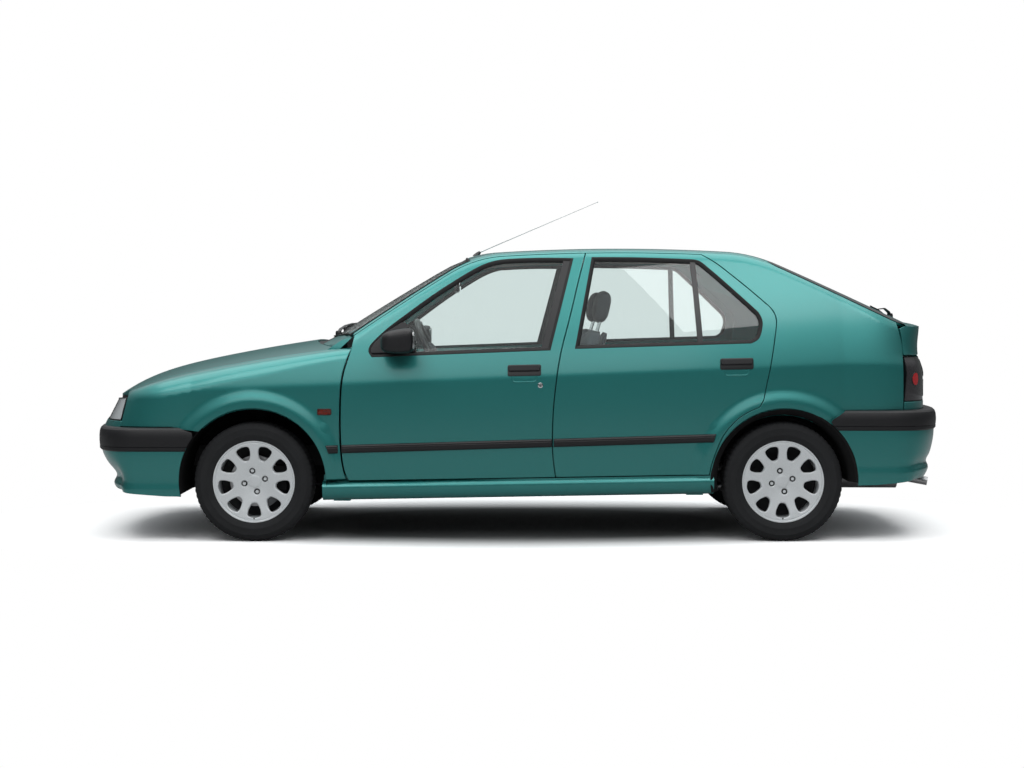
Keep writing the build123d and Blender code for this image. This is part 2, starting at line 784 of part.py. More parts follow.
def inward(points, distance):
    """Section points moved behind the skin by distance, along the section's own normals."""
    moved = []
    for k, p in enumerate(points):
        a, b = points[max(0, k - 1)], points[min(len(points) - 1, k + 1)]
        dy, dz = b.Y - a.Y, b.Z - a.Z
        length = math.hypot(dy, dz)
        moved.append(Vector(p.X, p.Y - distance * dz / length, p.Z + distance * dy / length))
    return moved


def make_bonnet():
    """Bonnet, with its rear corners swept back past the hinges."""
    slab = top_slab(800.0, 2020.0, lambda x: wing_edge_y(x) + 12.0, bonnet_z, BONNET_THICKNESS)
    left = side_curve(lambda x: wing_edge_y(x) - GAP, BONNET_REAR_X, BONNET_CORNER_X)
    edge = left[0][1]
    rear = [(BONNET_REAR_X, -edge), (970, -480), (1026, 0), (970, 480), (BONNET_REAR_X, edge)]
    edge = left[-1][1]
    ys = [0.86 * edge, 0.62 * edge, 0.32 * edge, 0.0]
    front = [(end_x(y, 706.0) - 8.0, y) for y in ys]
    front = [left[-1]] + front + [(x, -y) for x, y in front[-2::-1]] + [(BONNET_CORNER_X, -edge)]
    return one_solid(slab & between(rear, left, front).upright())


def side_curve(half_width, low_x, high_x, step=90.0):
    """A panel's left edge in plan, from low_x to high_x."""
    return [(x, half_width(x)) for x in station_list(low_x, high_x, step)]


def outside_of(half_width, low_x, high_x):
    """All the space on the left, outboard of a panel edge in plan."""
    left = side_curve(half_width, low_x, high_x)
    low, high = (low_x, 1100), (high_x, 1100)
    return Outline(left, [left[-1], high], [high, low], [low, left[0]]).upright()


def between(rear, left, front):
    """A plan outline from its rear edge, left edge and front edge, mirrored to the right."""
    right = [(x, -y) for x, y in left]
    return Outline(rear, left, front, right[::-1])


def make_roof():
    """Roof panel between the roof rails, from the windscreen to the tailgate."""
    slab = top_slab(-1330.0, 420.0, lambda x: seam_y(x) + 8.0, cabin_z, ROOF_THICKNESS)
    rear_x, front_x = TAILGATE_FRONT_X + GAP, 236.0
    left = side_curve(lambda x: seam_y(x) - SEAL_GAP, rear_x, front_x)
    rear = [(rear_x, -left[0][1]), (rear_x, left[0][1])]
    front = [left[-1], (251, 300), (257, 0), (251, -300), (front_x, -left[-1][1])]
    return one_solid(slab & between(rear, left, front).upright())


def make_windscreen():
    """Laminated windscreen, standing off the pillars on its bonding."""
    slab = top_slab(200.0, 970.0, lambda x: screen_edge_y(x) + 8.0, cabin_z, 7.0, 55.0, 3.0)
    left = side_curve(screen_edge_y, 240.0, 806.0)
    edge = left[0][1]
    rear = [(240, -edge), (256, -300), (262, 0), (256, 300), (240, edge)]
    edge = left[-1][1]
    front = [(806, edge), (905, 400), (SCREEN_FOOT_X, 0), (905, -400), (806, -edge)]
    return one_solid(slab & between(rear, left, front).upright())


def screen_edge_y(x):
    """Half-width of the windscreen."""
    return seam_y(x) - SCREEN_GAP


# ----------------------------------------------------------------------------------------------
# Nose, tail and bumpers: sections set round the plan curve
# ----------------------------------------------------------------------------------------------
def plan_stations(start_x, reach, half_width, straight):
    """Points and outward normals round one end in plan, from the left side to the right.

    The end is a fourth-power curve from (start_x, half_width) to (start_x + reach, 0). straight
    is how far the flat side runs back from its start.
    """
    stations = []
    for back in straight:
        stations.append((start_x - back, half_width, 0.0, 1.0))
    for k in range(1, PLAN_STEPS + 1):
        angle = math.pi / 4 * (1 - math.cos(math.pi * k / PLAN_STEPS))
        sine, cosine = math.sin(angle), max(0.0, math.cos(angle))
        x, y = start_x + reach * sine**0.5, half_width * cosine**0.5
        nx, ny = sine**1.5 / reach, cosine**1.5 / half_width
        size = math.hypot(nx, ny)
        stations.append((x, y, nx / size, ny / size))
    mirrored = [(x, -y, nx, -ny) for x, y, nx, ny in stations[:-1]]
    return stations + mirrored[::-1]


def end_loft(profile, start_x, reach, half_width, straight, depth, rear=False):
    """A bumper-like solid: profile(weight) gives (outward, z) points, inner wall depth behind.

    weight is 1 across the end and falls to 0 on the sides.
    """
    strips = []
    for x, y, nx, ny in plan_stations(start_x, reach, half_width, straight):
        weight = smooth_step(abs(nx) * 1.15)
        outer, inner = [], []
        for out, z in profile(weight):
            outer.append(Vector(x + nx * out, y + ny * out, z))
            inner.append(Vector(x + nx * (out - depth), y + ny * (out - depth), z))
        strips.append((outer, inner))
    slab = loft_strips(strips)
    return slab.mirror(Plane.YZ) if rear else slab


def front_bumper_profile(weight):
    """Outer face of the front bumper below its rubbing strip, bottom to top."""
    tuck = 0.12 + 0.88 * weight
    outs = [(-104, 205), (-92, 230), (-70, 250), (-62, 270), (-70, 288), (-76, 304), (-66, 330)]
    outs += [(-40, 362), (-20, 394), (-9, 420), (-5, 440), (-5, 465)]
    return [(out * tuck - 2, z - 18 * (1 - weight)) for out, z in outs]


def strip_profile(top_z, bottom_z):
    """Outer face of a rubbing strip, bottom to top."""
    height = top_z - bottom_z

    def profile(weight):
        steps = [(-12, -0.15), (-5, 0.0), (-1, 0.12), (0, 0.35), (0, 0.6), (-3, 0.82)]
        steps += [(-12, 0.95), (-26, 1.03), (-34, 1.15)]
        return [(out, bottom_z + height * share) for out, share in steps]

    return profile


def rear_bumper_profile(weight):
    """Outer face of the rear bumper below its rubbing strip, bottom to top."""
    tuck = 0.10 + 0.90 * weight
    outs = [(-84, 252), (-72, 276), (-50, 298), (-36, 322), (-30, 346), (-40, 372), (-28, 404)]
    outs += [(-14, 430), (-6, 456), (-4, 470), (-4, 500)]
    return [(out * tuck - 2, z - 12 * (1 - weight)) for out, z in outs]


def make_front_bumper():
    """Front bumper: the painted lower part and the rubbing strip as one moulding."""
    run = (220.0, 150.0, 80.0, 0.0)
    lower = end_loft(
        front_bumper_profile, FRONT_BUMPER_START_X, FRONT_BUMPER_REACH, BUMPER_HALF_WIDTH, run, 38.0
    )
    strip = end_loft(
        strip_profile(BUMPER_TOP_Z, 438.0),
        FRONT_BUMPER_START_X,
        FRONT_BUMPER_REACH,
        BUMPER_HALF_WIDTH,
        run,
        56.0,
    )
    side = polygon((1400, 226), (1690, 226), (1990, 246), (2200, 249), (2200, 442), (1400, 442))
    lower = lower & side.across(-1000.0, 1000.0)
    strip = strip & block(1400, 2300, -1000, 1000, 438, BUMPER_TOP_Z)
    bumper = lower.fuse(strip)
    bumper = bumper - arch_cut(FRONT_X) - other_side(arch_cut(FRONT_X))
    intake = polygon((-330, 300), (330, 300), (360, 352), (-360, 352)).along(1900.0, 2200.0)
    return one_solid(bumper - intake)


def make_rear_bumper():
    """Rear bumper, built like the front one."""
    run = (236.0, 160.0, 80.0, 0.0)
    start = -REAR_BUMPER_START_X
    lower = end_loft(
        rear_bumper_profile, start, REAR_BUMPER_REACH, BUMPER_HALF_WIDTH, run, 38.0, rear=True
    )
    strip = end_loft(
        strip_profile(BUMPER_TOP_Z + 8.0, 466.0),
        start,
        REAR_BUMPER_REACH,
        BUMPER_HALF_WIDTH,
        run,
        56.0,
        rear=True,
    )
    side = polygon(
        (-1400, 284), (-1700, 284), (-1960, 300), (-2200, 303), (-2200, 470), (-1400, 470)
    )
    lower = lower & side.across(-1000.0, 1000.0)
    strip = strip & block(-2300, -1400, -1000, 1000, 466, BUMPER_TOP_Z + 8.0)
    bumper = lower.fuse(strip)
    return one_solid(bumper - arch_cut(REAR_X) - other_side(arch_cut(REAR_X)))


def end_face_slab(low_z, high_z, depth, front, recess=0.0):
    """The nose or tail skin as a wrap-round slab, a little past both heights."""
    sign = 1.0 if front else -1.0
    strips = []
    half = body_half_width(sign * NOSE_START_X)
    for x, y, nx, ny in plan_stations(NOSE_START_X, 480.0, half, (60.0, 0.0)):
        outer, inner = [], []
        for z in station_list(low_z - 20.0, high_z + 20.0, 30.0):
            full = half - tumblehome(sign * NOSE_START_X, z)
            reach = end_reach(sign, z)
            px = x if x <= NOSE_START_X else NOSE_START_X + (x - NOSE_START_X) * reach / 480.0
            py = y * full / half
            outer.append(Vector(px - nx * recess, py - ny * recess, z))
            back = recess + depth
            inner.append(Vector(px - nx * back, py - ny * back, z))
        strips.append((outer, inner))
    slab = loft_strips(strips)
    return slab if front else slab.mirror(Plane.YZ)


# ----------------------------------------------------------------------------------------------
# Lamps, grille and front structure
# ----------------------------------------------------------------------------------------------
def make_headlamps():
    """Both headlamps with their corner lenses, wrapped round the nose."""
    slab = end_face_slab(560.0, 720.0, 70.0, True, 4.0)
    front = polygon((LAMP_INNER_Y, 580), (830, 580), (830, 684), (700, 682), (LAMP_INNER_Y, 666))
    side = polygon((1924, 500), (2100, 500), (2100, 760), (1890, 760), (1891, 686), (1914, 580))
    lamp = one_solid((slab & front.along(1500.0, 2200.0)) & side.across(200.0))
    return group(lamp, other_side(lamp))


def make_grille():
    """Grille between the headlamps, with four slats."""
    slab = end_face_slab(548.0, 720.0, 30.0, True, 2.0)
    edge = GRILLE_HALF
    frame = polygon((-edge, 556), (edge, 556), (edge, 666), (-edge, 666))
    grille = slab & frame.along(1500.0, 2200.0)
    for low in (574.0, 600.0, 626.0):
        for near, far in ((-330, -30), (30, 330)):
            grille = grille - block(1800, 2200, near, far, low, low + 18)
    return one_solid(grille)


def make_front_panel():
    """Front structure: slam panel, radiator support, chassis legs and lamp shelves."""
    shelf = end_face_slab(545.0, 580.0, 60.0, True, 6.0)
    shelf = shelf & block(1919, 2200, -800, 800, BUMPER_TOP_Z + 0.4, 579.6)
    half = GRILLE_HALF + 0.4
    grille_room = block(1800, 2200, -half, half, 500, 760)
    shelf = shelf - grille_room
    cross = block(1780, 1850, -700, 700, 560, 660)
    radiator = block(1800, 1845, -330, 330, 260, 560)
    legs = joined(*[block(912, 1900, s * LEG_Y - 35, s * LEG_Y + 35, 340, 440) for s in (-1, 1)])
    beam = block(1890, 1940, -560, 560, 350, 440)
    panel = joined(cross, radiator, legs, beam)
    ties = joined(*[block(1790, 1840, s * LEG_Y - 35, s * LEG_Y + 35, 430, 570) for s in (-1, 1)])
    outriggers = joined(*[block(1840, 1960, s * 560 - 140, s * 560 + 140, 555, 575) for s in (-1, 1)])
    below = BONNET_THICKNESS + BUFFER_GAP
    under_bonnet = top_slab(1650.0, 1900.0, lambda x: 400.0, bonnet_z, 160.0, recess=below)
    buffers = [rod((1815, y, 650), (1815, y, 850), 12) & under_bonnet for y in (-300, 300)]
    x, z = FRONT_TOW_EYE
    eye = block(1890, x + 24, *TOW_EYE_Y, z - 26, 352) - cylinder_y(x, -500, -300, z, TOW_EYE_RADIUS)
    return one_solid(joined(panel, ties, outriggers, shelf, eye, *buffers))


def make_bulkhead():
    """Bulkhead with the scuttle that carries the windscreen and the bonnet hinges."""
    wall = block(880, 910, -680, 680, 262, 880)
    scuttle = Outline(
        [(882, -725), (925, 0), (882, 725)],
        [(882, 725), (965, 460), (1016, 0), (965, -460), (882, -725)],
    ).upright(868.0, 890.0)
    rear = [(SCREEN_FOOT_X - 25 - 2.0e-4 * y * y, y) for y in spread(-680, 680, 9)]
    front = [(x + 20, y) for x, y in rear[::-1]]
    band = Outline(rear, [rear[-1], front[0]], front, [front[-1], rear[0]]).upright(870.0, 1100.0)
    under_glass = top_slab(600.0, 1010.0, lambda x: seam_y(x) - 20.0, cabin_z, 240.0, 75.0, 10.3)
    top = block(882, 912, -744, 744, 560, 892)
    pieces = [scuttle, top, band & under_glass]
    wall_side = polygon((900, 440), (1779, 440), (1779, 700), (1420, 810), (900, 810))
    rail = top_slab(884.0, 1790.0, lambda x: wing_edge_y(x) + 19.0, bonnet_z, 20.0, recess=11.0)
    rail = rail & outside_of(lambda x: wing_edge_y(x) + 4.0, 800.0, 1850.0)
    rail = one_solid(rail - wing_slab(PANEL_THICKNESS + 0.4))
    for s in (-1, 1):
        low, high = sorted((s * 425, s * 650))
        pieces.append(block(FRONT_X - 110, FRONT_X + 110, low, high, 797, 820))
        low, high = sorted((s * 425, s * 440))
        pieces.append(wall_side.across(low, high))
        brace = block(FRONT_X - 15, FRONT_X + 15, min(s * 640, s * 745), max(s * 640, s * 745), 797, 836)
        pieces.append(brace)
    return one_solid(joined(wall, rail, other_side(rail), *pieces))


def make_floor():
    """Left half of the cabin floor, between the tunnel and the sill."""
    outer = HALF_WIDTH - FLOOR_INSET
    return block(HEELBOARD_X[1], 910, TUNNEL_HALF, outer, FLOOR_Z - FLOOR_THICKNESS, FLOOR_Z)


def make_tunnel():
    """Tunnel for the exhaust, down the middle of the floor."""
    half, room = TUNNEL_HALF, TUNNEL_HALF - TUNNEL_WALL
    shell = block(HEELBOARD_X[1], 880, -half, half, FLOOR_Z - FLOOR_THICKNESS, TUNNEL_TOP_Z)
    return shell - block(-900, 950, -room, room, 200, TUNNEL_TOP_Z - 30)


def make_heelboard():
    """Heelboard: the step in the floor in front of the rear seat, arched over the exhaust."""
    half, room = HALF_WIDTH - FLOOR_INSET, TUNNEL_HALF - TUNNEL_WALL
    board = block(*HEELBOARD_X, -half, half, FLOOR_Z - FLOOR_THICKNESS, 420)
    return board - block(-900, -700, -room, room, 200, TUNNEL_TOP_Z - 30)


def make_boot_floor():
    """Boot floor with its spare wheel well."""
    low, high = BOOT_FLOOR_Z
    tank_top = block(-1560, HEELBOARD_X[0], -640, 640, low, high)
    boot = block(-1850, -1540, -640, 640, low, high)
    boot = boot.fuse(block(BOOT_WALL_X[1], -1840, -560, 560, low, high))
    well = block(-1920, -1620, -330, 330, 268, low + 20) - block(-1895, -1645, -305, 305, 290, 450)
    pan = joined(tank_top, boot, well) - block(-1895, -1645, -305, 305, 290, 450)
    outer = arch_cut(REAR_X, ARCH_RADIUS + ARCH_WALL, ARCH_INNER_Y)
    return one_solid(pan - outer - other_side(outer))


def make_boot_wall():
    """Wall behind the boot floor, with the towing eye below it."""
    low = BOOT_FLOOR_Z[0]
    wall = block(*BOOT_WALL_X, -560, 560, low - 10, BUMPER_TOP_Z + 8.0)
    x, z = REAR_TOW_EYE
    eye = block(x - 26, x + 22, *TOW_EYE_Y, z - 26, low)
    return one_solid(wall.fuse(eye) - cylinder_y(x, -500, -300, z, TOW_EYE_RADIUS))


def make_rear_arch():
    """Left rear wheel housing, which stands on the boot floor."""
    wide = HALF_WIDTH - 129.0
    shell = cylinder_y(REAR_X, ARCH_INNER_Y, wide, ARCH_Z, ARCH_RADIUS + ARCH_WALL)
    shell = shell - cylinder_y(REAR_X, ARCH_INNER_Y + 15.0, wide + 15.0, ARCH_Z, ARCH_RADIUS)
    return one_solid(shell & block(-1800, -700, 0, 800, BOOT_FLOOR_Z[0], 760))


def make_tail_lamps():
    """Both tail lamps, wrapped round the corners."""
    slab = end_face_slab(640.0, 930.0, 60.0, False, 1.0)
    view = polygon((467, 671.5), (830, 671.5), (830, 887), (467, 887)).along(-2200.0, -1500.0)
    side = polygon((-1851, 600), (-1851, 950), (-2100, 950), (-2100, 600)).across(200.0)
    lamp = one_solid(slab & view & side)
    return group(lamp, other_side(lamp))


def make_rear_panel():
    """Rear body panel below the lamps and the tailgate, behind the bumper."""
    slab = end_face_slab(560.0, 672.0, 40.0, False, 0.0)
    corner = polygon((467, 560), (830, 560), (830, 671), (467, 671)).along(-2200.0, -1500.0)
    side = polygon((-1852, 500), (-1852, 760), (-2100, 760), (-2100, 500)).across(200.0)
    left = one_solid(slab & corner & side)
    middle = block(-1985, -1930, -700, 700, BUMPER_TOP_Z + 8.4, 590)
    top = TAILGATE_BOTTOM_Z - BUFFER_GAP
    stops = [block(-1985, -1969, y - 20, y + 20, 589, top) for y in (-200, 200)]
    middle = joined(middle, *stops)
    return left, middle


# ----------------------------------------------------------------------------------------------
# Tailgate
# ----------------------------------------------------------------------------------------------
def make_tailgate():
    """Tailgate: window frame, ledge and rear panel between the lamps."""
    slab = top_slab(-1970.0, -1180.0, lambda x: seam_y(x) + 8.0, cabin_z, 30.0, 55.0)
    left = side_curve(lambda x: seam_y(x) - GAP, -1935.0, TAILGATE_FRONT_X)
    rear = [(-1935, -left[0][1]), (-1935, left[0][1])]
    front = [(TAILGATE_FRONT_X, left[-1][1]), (TAILGATE_FRONT_X, -left[-1][1])]
    top = slab & between(rear, left, front).upright()
    glass = TAILGATE_GLASS.upright()
    top = top - glass
    tail = end_face_slab(574.0, 1040.0, 50.0, False, 0.0)
    view = Outline(
        [(-790, 1036), (-790, 892)],
        [(-790, 892), (-462, 892)],
        [(-462, 892), (-462, TAILGATE_BOTTOM_Z)],
        [(-462, TAILGATE_BOTTOM_Z), (462, TAILGATE_BOTTOM_Z)],
        [(462, TAILGATE_BOTTOM_Z), (462, 892)],
        [(462, 892), (790, 892)],
        [(790, 892), (790, 1036)],
        [(790, 1036), (-790, 1036)],
    )
    side = polygon((-1829, 1060), (-1843, 972), (-1850, 880), (-1850, 560), (-2100, 560), (-2100, 1060))
    tail = tail & view.along(-2200.0, -1500.0)
    tail = tail & side.across(-1000.0, 1000.0)
    return one_solid(joined(top, tail))


TAILGATE_GLASS = Outline(
    [(-1262, -500), (-1262, 500)],
    [(-1262, 500), (-1820, 560)],
    [(-1820, 560), (-1868, 300), (-1878, 0), (-1868, -300), (-1820, -560)],
    [(-1820, -560), (-1262, -500)],
)


def make_rear_window():
    """Heated rear window, in the tailgate."""
    slab = top_slab(-1960.0, -1200.0, lambda x: 600.0, cabin_z, 5.0, 60.0, 4.0)
    return one_solid(slab & TAILGATE_GLASS.grown(-0.3).upright())


# ----------------------------------------------------------------------------------------------
# Wheels and running gear
# ----------------------------------------------------------------------------------------------
def revolve_y(points, centre):
    """A solid of revolution about the axle line through centre; points are (radius, y)."""
    x, y, z = centre
    edges = []
    for (r0, y0), (r1, y1) in zip(points, points[1:] + points[:1]):
        edges.append(Edge.make_line(Vector(x, y + y0, z + r0), Vector(x, y + y1, z + r1)))
    return Solid.revolve(Face(Wire(edges)), 360, Axis((x, y, z), (0, 1, 0)))


def make_tyre(centre):
    """Tyre, with its two main grooves."""
    half = TYRE_WIDTH / 2
    tread = half - 14.0
    profile = [
        (RIM_RADIUS - 12, -62),
        (RIM_RADIUS + 4, -70),
        (RIM_RADIUS + 34, -half),
        (RIM_RADIUS + 62, -half + 2),
        (TYRE_RADIUS - 8, -tread - 4),
        (TYRE_RADIUS, -tread + 10),
        (TYRE_RADIUS, tread - 10),
        (TYRE_RADIUS - 8, tread + 4),
        (RIM_RADIUS + 62, half - 2),
        (RIM_RADIUS + 34, half),
        (RIM_RADIUS + 4, 70),
        (RIM_RADIUS - 12, 62),
    ]
    return revolve_y(profile, centre)


def make_wheel(centre, outward):
    """Road wheel: rim, nine-window face, hub and brake disc."""
    s = outward
    rim = [
        (RIM_RADIUS - 12.4, -62),
        (RIM_RADIUS - 12.4, 62),
        (RIM_RADIUS + 1, 69),
        (RIM_RADIUS, 75),
        (RIM_RADIUS - 14, 76),
        (RIM_RADIUS - 20, 64),
        (RIM_RADIUS - 20, -64),
        (RIM_RADIUS - 14, -75),
        (RIM_RADIUS, -75),
        (RIM_RADIUS + 1, -69),
    ]
    x, y, z = centre
    body = revolve_y([(r, s * t) for r, t in rim], centre)
    face = revolve_y(
        [(0, s * 44), (60, s * 46), (120, s * 56), (RIM_RADIUS - 18, s * 66), (RIM_RADIUS - 18, s * 52)]
        + [(120, s * 42), (60, s * 30), (0, s * 30)],
        centre,
    )
    for k in range(RIM_WINDOWS):
        angle = 2 * math.pi * (k + 0.5) / RIM_WINDOWS
        face = face - rim_window(centre, angle)
    hub = revolve_y([(0, s * 34), (72, s * 34), (72, -s * 2), (0, -s * 2)], centre)
    disc = revolve_y([(60, s * 6), (126, s * 6), (126, -s * 12), (60, -s * 12)], centre)
    wheel = joined(body, face, hub, disc)
    bore = cylinder_y(x, y - s * 40, y + s * 24, z, SPINDLE_RADIUS + SPINDLE_CLEARANCE)
    return one_solid(wheel - bore)


def rim_window(centre, angle):
    """One rounded three-cornered window in the wheel's face."""
    x, y, z = centre
    corners = [(92, 0.0), (164, 0.235), (164, -0.235)]
    points = []
    for radius, turn in corners:
        a = angle + turn
        points.append(Vector(x + radius * math.sin(a), y - 100, z + radius * math.cos(a)))
    wire = Wire.make_polygon(points, close=True)
    wire = wire.fillet_2d(12.0, wire.vertices())
    return Solid.extrude(Face(wire), Vector(0, 200, 0))


def kingpin_point(height):
    """The point on the left steering axis at this height."""
    share = (height - KINGPIN_LOW[2]) / (KINGPIN_HIGH[2] - KINGPIN_LOW[2])
    return tuple(low + share * (high - low) for low, high in zip(KINGPIN_LOW, KINGPIN_HIGH))


def make_knuckle():
    """Left front knuckle with its spindle, brake caliper and suspension strut."""
    x, z = FRONT_X, WHEEL_Z
    spindle = cylinder_y(x, 600.0, WHEEL_Y + 22.0, z, SPINDLE_RADIUS)
    upright = block(x - 45, x + 45, 604, 668, 218, 400)
    joint = rod(kingpin_point(BALL_JOINT_Z + 0.3), kingpin_point(240.0), 15.0)
    strut = rod((x, 633.0, 330.0), KINGPIN_HIGH, 25.0)
    seat = rod((x - 13.5, 578.0, 612.0), (x - 14.0, 575.5, 624.0), 70.0)
    caliper = block(x - 150, x - 84, 668, 732, 240, 360) - cylinder_y(x, 696.0, 726.0, z, 131.0)
    bracket = block(x - 100, x - 30, 640, 690, 262, 330)
    return one_solid(joined(spindle, upright, joint, strut, seat, caliper, bracket))


def make_front_suspension():
    """Subframe, lower arms and anti-roll bar between the front wheels."""
    cross = block(FRONT_X - 190, FRONT_X - 60, -455, 455, 205, 262)
    pieces = [cross]
    for s in (-1, 1):
        ball = (FRONT_X, s * KINGPIN_LOW[1], 176)
        pieces.append(rod((FRONT_X - 150, s * 400, 225), ball, 15))
        pieces.append(rod((FRONT_X + 40, s * 400, 225), ball, 15))
        pieces.append(block(FRONT_X - 190, FRONT_X + 60, s * 390 - 30, s * 390 + 30, 205, 262))
        pieces.append(block(FRONT_X - 190, FRONT_X - 130, s * LEG_Y - 30, s * LEG_Y + 30, 205, 339.6))
        low, high = kingpin_point(166.0), kingpin_point(BALL_JOINT_Z)
        pieces.append(rod((low[0], s * low[1], low[2]), (high[0], s * high[1], high[2]), 15))
    return one_solid(joined(*pieces))


def make_rear_axle():
    """Rear axle: cross tube, trailing arms and stub axles."""
    tube = rod((REAR_X + 200, -560, 300), (REAR_X + 200, 560, 300), 36.0)
    parts = [tube]
    for s in (-1, 1):
        parts.append(rod((REAR_X + 385, s * 565, 300), (REAR_X - 20, s * 596, WHEEL_Z), 28.0))
        parts.append(block(REAR_X + 360, REAR_X + 410, s * 565 - 25, s * 565 + 25, 280, 399.6))
        parts.append(cylinder_y(REAR_X, s * 570, s * (WHEEL_Y + 22.0), WHEEL_Z, SPINDLE_RADIUS))
        parts.append(rod((REAR_X, s * 575, WHEEL_Z), (REAR_X, s * 640, WHEEL_Z), 45.0))
        parts.append(rod((REAR_X - 20, s * 590, 296), (REAR_X - 110, s * 395, 380), 18.0))
        parts.append(rod((REAR_X - 110, s * 395, 366), (REAR_X - 110, s * 395, 399.6), 28.0))
    return one_solid(joined(*parts))


def make_engine():
    """Transverse engine and gearbox as one plain block."""
    unit = block(1040.0, 1560.0, -374.0, 374.0, 300.0, 740.0)
    mounts = [block(1240, 1330, *sides, 350, 430) for sides in ((-389.6, -370), (370, 389.6))]
    return one_solid(joined(unit, *mounts))


def make_exhaust():
    """Exhaust pipe, silencer and tail pipe."""
    route = [(1055, 0, 299.7), (1055, 0, 226), (-700, 0, 226), (-1250, 330, 205), (-1560, 420, 300)]
    pieces = [rod(a, b, 24.0) for a, b in zip(route, route[1:])]
    pieces += [Solid.make_sphere(24.2, Plane(point)) for point in route[1:-1]]
    silencer = rod((-1540, 420, 304), (-1880, 430, 304), 78.0)
    tail = rod((-1870, 430, 290), (-2032, 470, 262), 21.0)
    hanger = rod((-1800, 428, 370), (-1800, 428, 399.6), 9.0)
    return one_solid(joined(*pieces, silencer, tail, hanger))


# ----------------------------------------------------------------------------------------------
# Cabin
# ----------------------------------------------------------------------------------------------
def make_dashboard():
    """Dashboard with the instrument hood and the steering column."""
    section = Outline(
        [(812, 620), (812, 918)],
        [(812, 918), (760, 916), (690, 902), (600, 880)],
        [(600, 880), (560, 840), (565, 800)],
        [(565, 800), (640, 620)],
        [(640, 620), (812, 620)],
    )
    face = Face(section.turned(-1).wire(lambda x, z: Vector(x, -684, z)))
    dash = Solid.extrude(face, Vector(0, 1368, 0))
    hood = fillet_all(block(520, 700, SEAT_Y - 165, SEAT_Y + 165, 840, 945), 24.0)
    console = block(420, 660, -95, 95, 360.3, 700)
    column = rod(column_point(-330.0), column_point(-26.3), 30.0)
    ducts = block(800, 879.6, -300, 300, 640, 850)
    return one_solid(joined(dash, hood, console, column, ducts))


def column_point(distance):
    """A point on the steering axis; positive distances are towards the driver."""
    x, y, z = STEERING_CENTRE
    tilt = math.radians(COLUMN_TILT)
    return x - distance * math.cos(tilt), y, z + distance * math.sin(tilt)


def make_steering_wheel():
    """Steering wheel: rim, two-part spoke and boss."""
    tilt = math.radians(COLUMN_TILT)
    axis = Vector(-math.cos(tilt), 0, math.sin(tilt))
    plane = Plane(origin=STEERING_CENTRE, z_dir=axis, x_dir=(0, 1, 0))
    corners = []
    for k in range(RIM_SIDES):
        angle = 2 * math.pi * k / RIM_SIDES
        out = plane.x_dir * (STEERING_RADIUS + 14.0 * math.cos(angle))
        corners.append(plane.origin + out + plane.z_dir * 14.0 * math.sin(angle))
    section = Face(Wire.make_polygon(corners, close=True))
    rim = Solid.revolve(section, 360, Axis(plane.origin, plane.z_dir))
    boss = Solid.make_cylinder(58.0, 46.0, Plane(origin=column_point(-26.0), z_dir=axis))
    spokes = []
    for angle in (-14.0, 194.0, 270.0):
        turn = math.radians(angle)
        direction = plane.x_dir * math.cos(turn) + plane.y_dir * math.sin(turn)
        end = Vector(*STEERING_CENTRE) + direction * (STEERING_RADIUS - 4.0)
        start = Vector(*STEERING_CENTRE) - axis * 8.0
        spokes.append(rod(tuple(start), tuple(end), 9.0))
    return one_solid(joined(rim, boss, *spokes))


def make_front_seat(side):
    """A front seat: cushion, backrest, head restraint and runners."""
    y = side * SEAT_Y
    cushion = fillet_all(block(-190, 330, y - 245, y + 245, 385, 545), 45.0)
    back = fillet_all(block(-60, 60, -240, 240, 0, 600), 45.0)
    back = back.moved(Location((-190, y, 480), (0, 1, 0), -21))
    head = fillet_all(block(-45, 45, -125, 125, 0, 175), 38.0)
    head = head.moved(Location((-422, y, 1040), (0, 1, 0), -12))
    posts = joined(
        *[rod((-395, y + d, 1010), (-425, y + d, 1110), 7.0) for d in (-60.0, 60.0)]
    )
    runners = joined(*[block(-150, 300, y + d - 18, y + d + 18, 262.3, 400) for d in (-190.0, 190.0)])
    return one_solid(joined(cushion, back, head, posts, runners))


def make_rear_seat():
    """Rear bench: cushion and backrest."""
    cushion = fillet_all(block(-1060, -640, -590, 590, 425.4, 575), 45.0)
    back = fillet_all(block(-60, 60, -590, 590, 0, 520), 42.0)
    back = back.moved(Location((-1060, 0, 490), (0, 1, 0), -22))
    seat = joined(cushion, back)
    for s in (-1, 1):
        seat = seat - cylinder_y(REAR_X, s * 418, s * 900, ARCH_Z, ARCH_RADIUS + 15)
    return one_solid(seat)


def make_parcel_shelf():
    """Parcel shelf behind the rear seat, resting on its two side ledges."""
    left = side_curve(lambda x: side_y(x, 950.0) - POCKET_DEPTH - 6.4, -1780.0, -1330.0)
    rear, front = [(-1780, -left[0][1]), left[0]], [left[-1], (-1330, -left[-1][1])]
    return one_solid(between(rear, left, front).upright(930.0, 950.0))


def make_antenna():
    """Roof aerial, raked back, on a small base."""
    base = rod((218, 0, 1370), (196, 0, 1420), 12.0)
    whip = rod((204, 0, 1408), (-416, 0, 1672), 2.6)
    above = top_slab(100.0, 330.0, lambda x: 60.0, cabin_z, 60.0, 75.0, -0.4)
    return one_solid(joined(base, whip) - above)


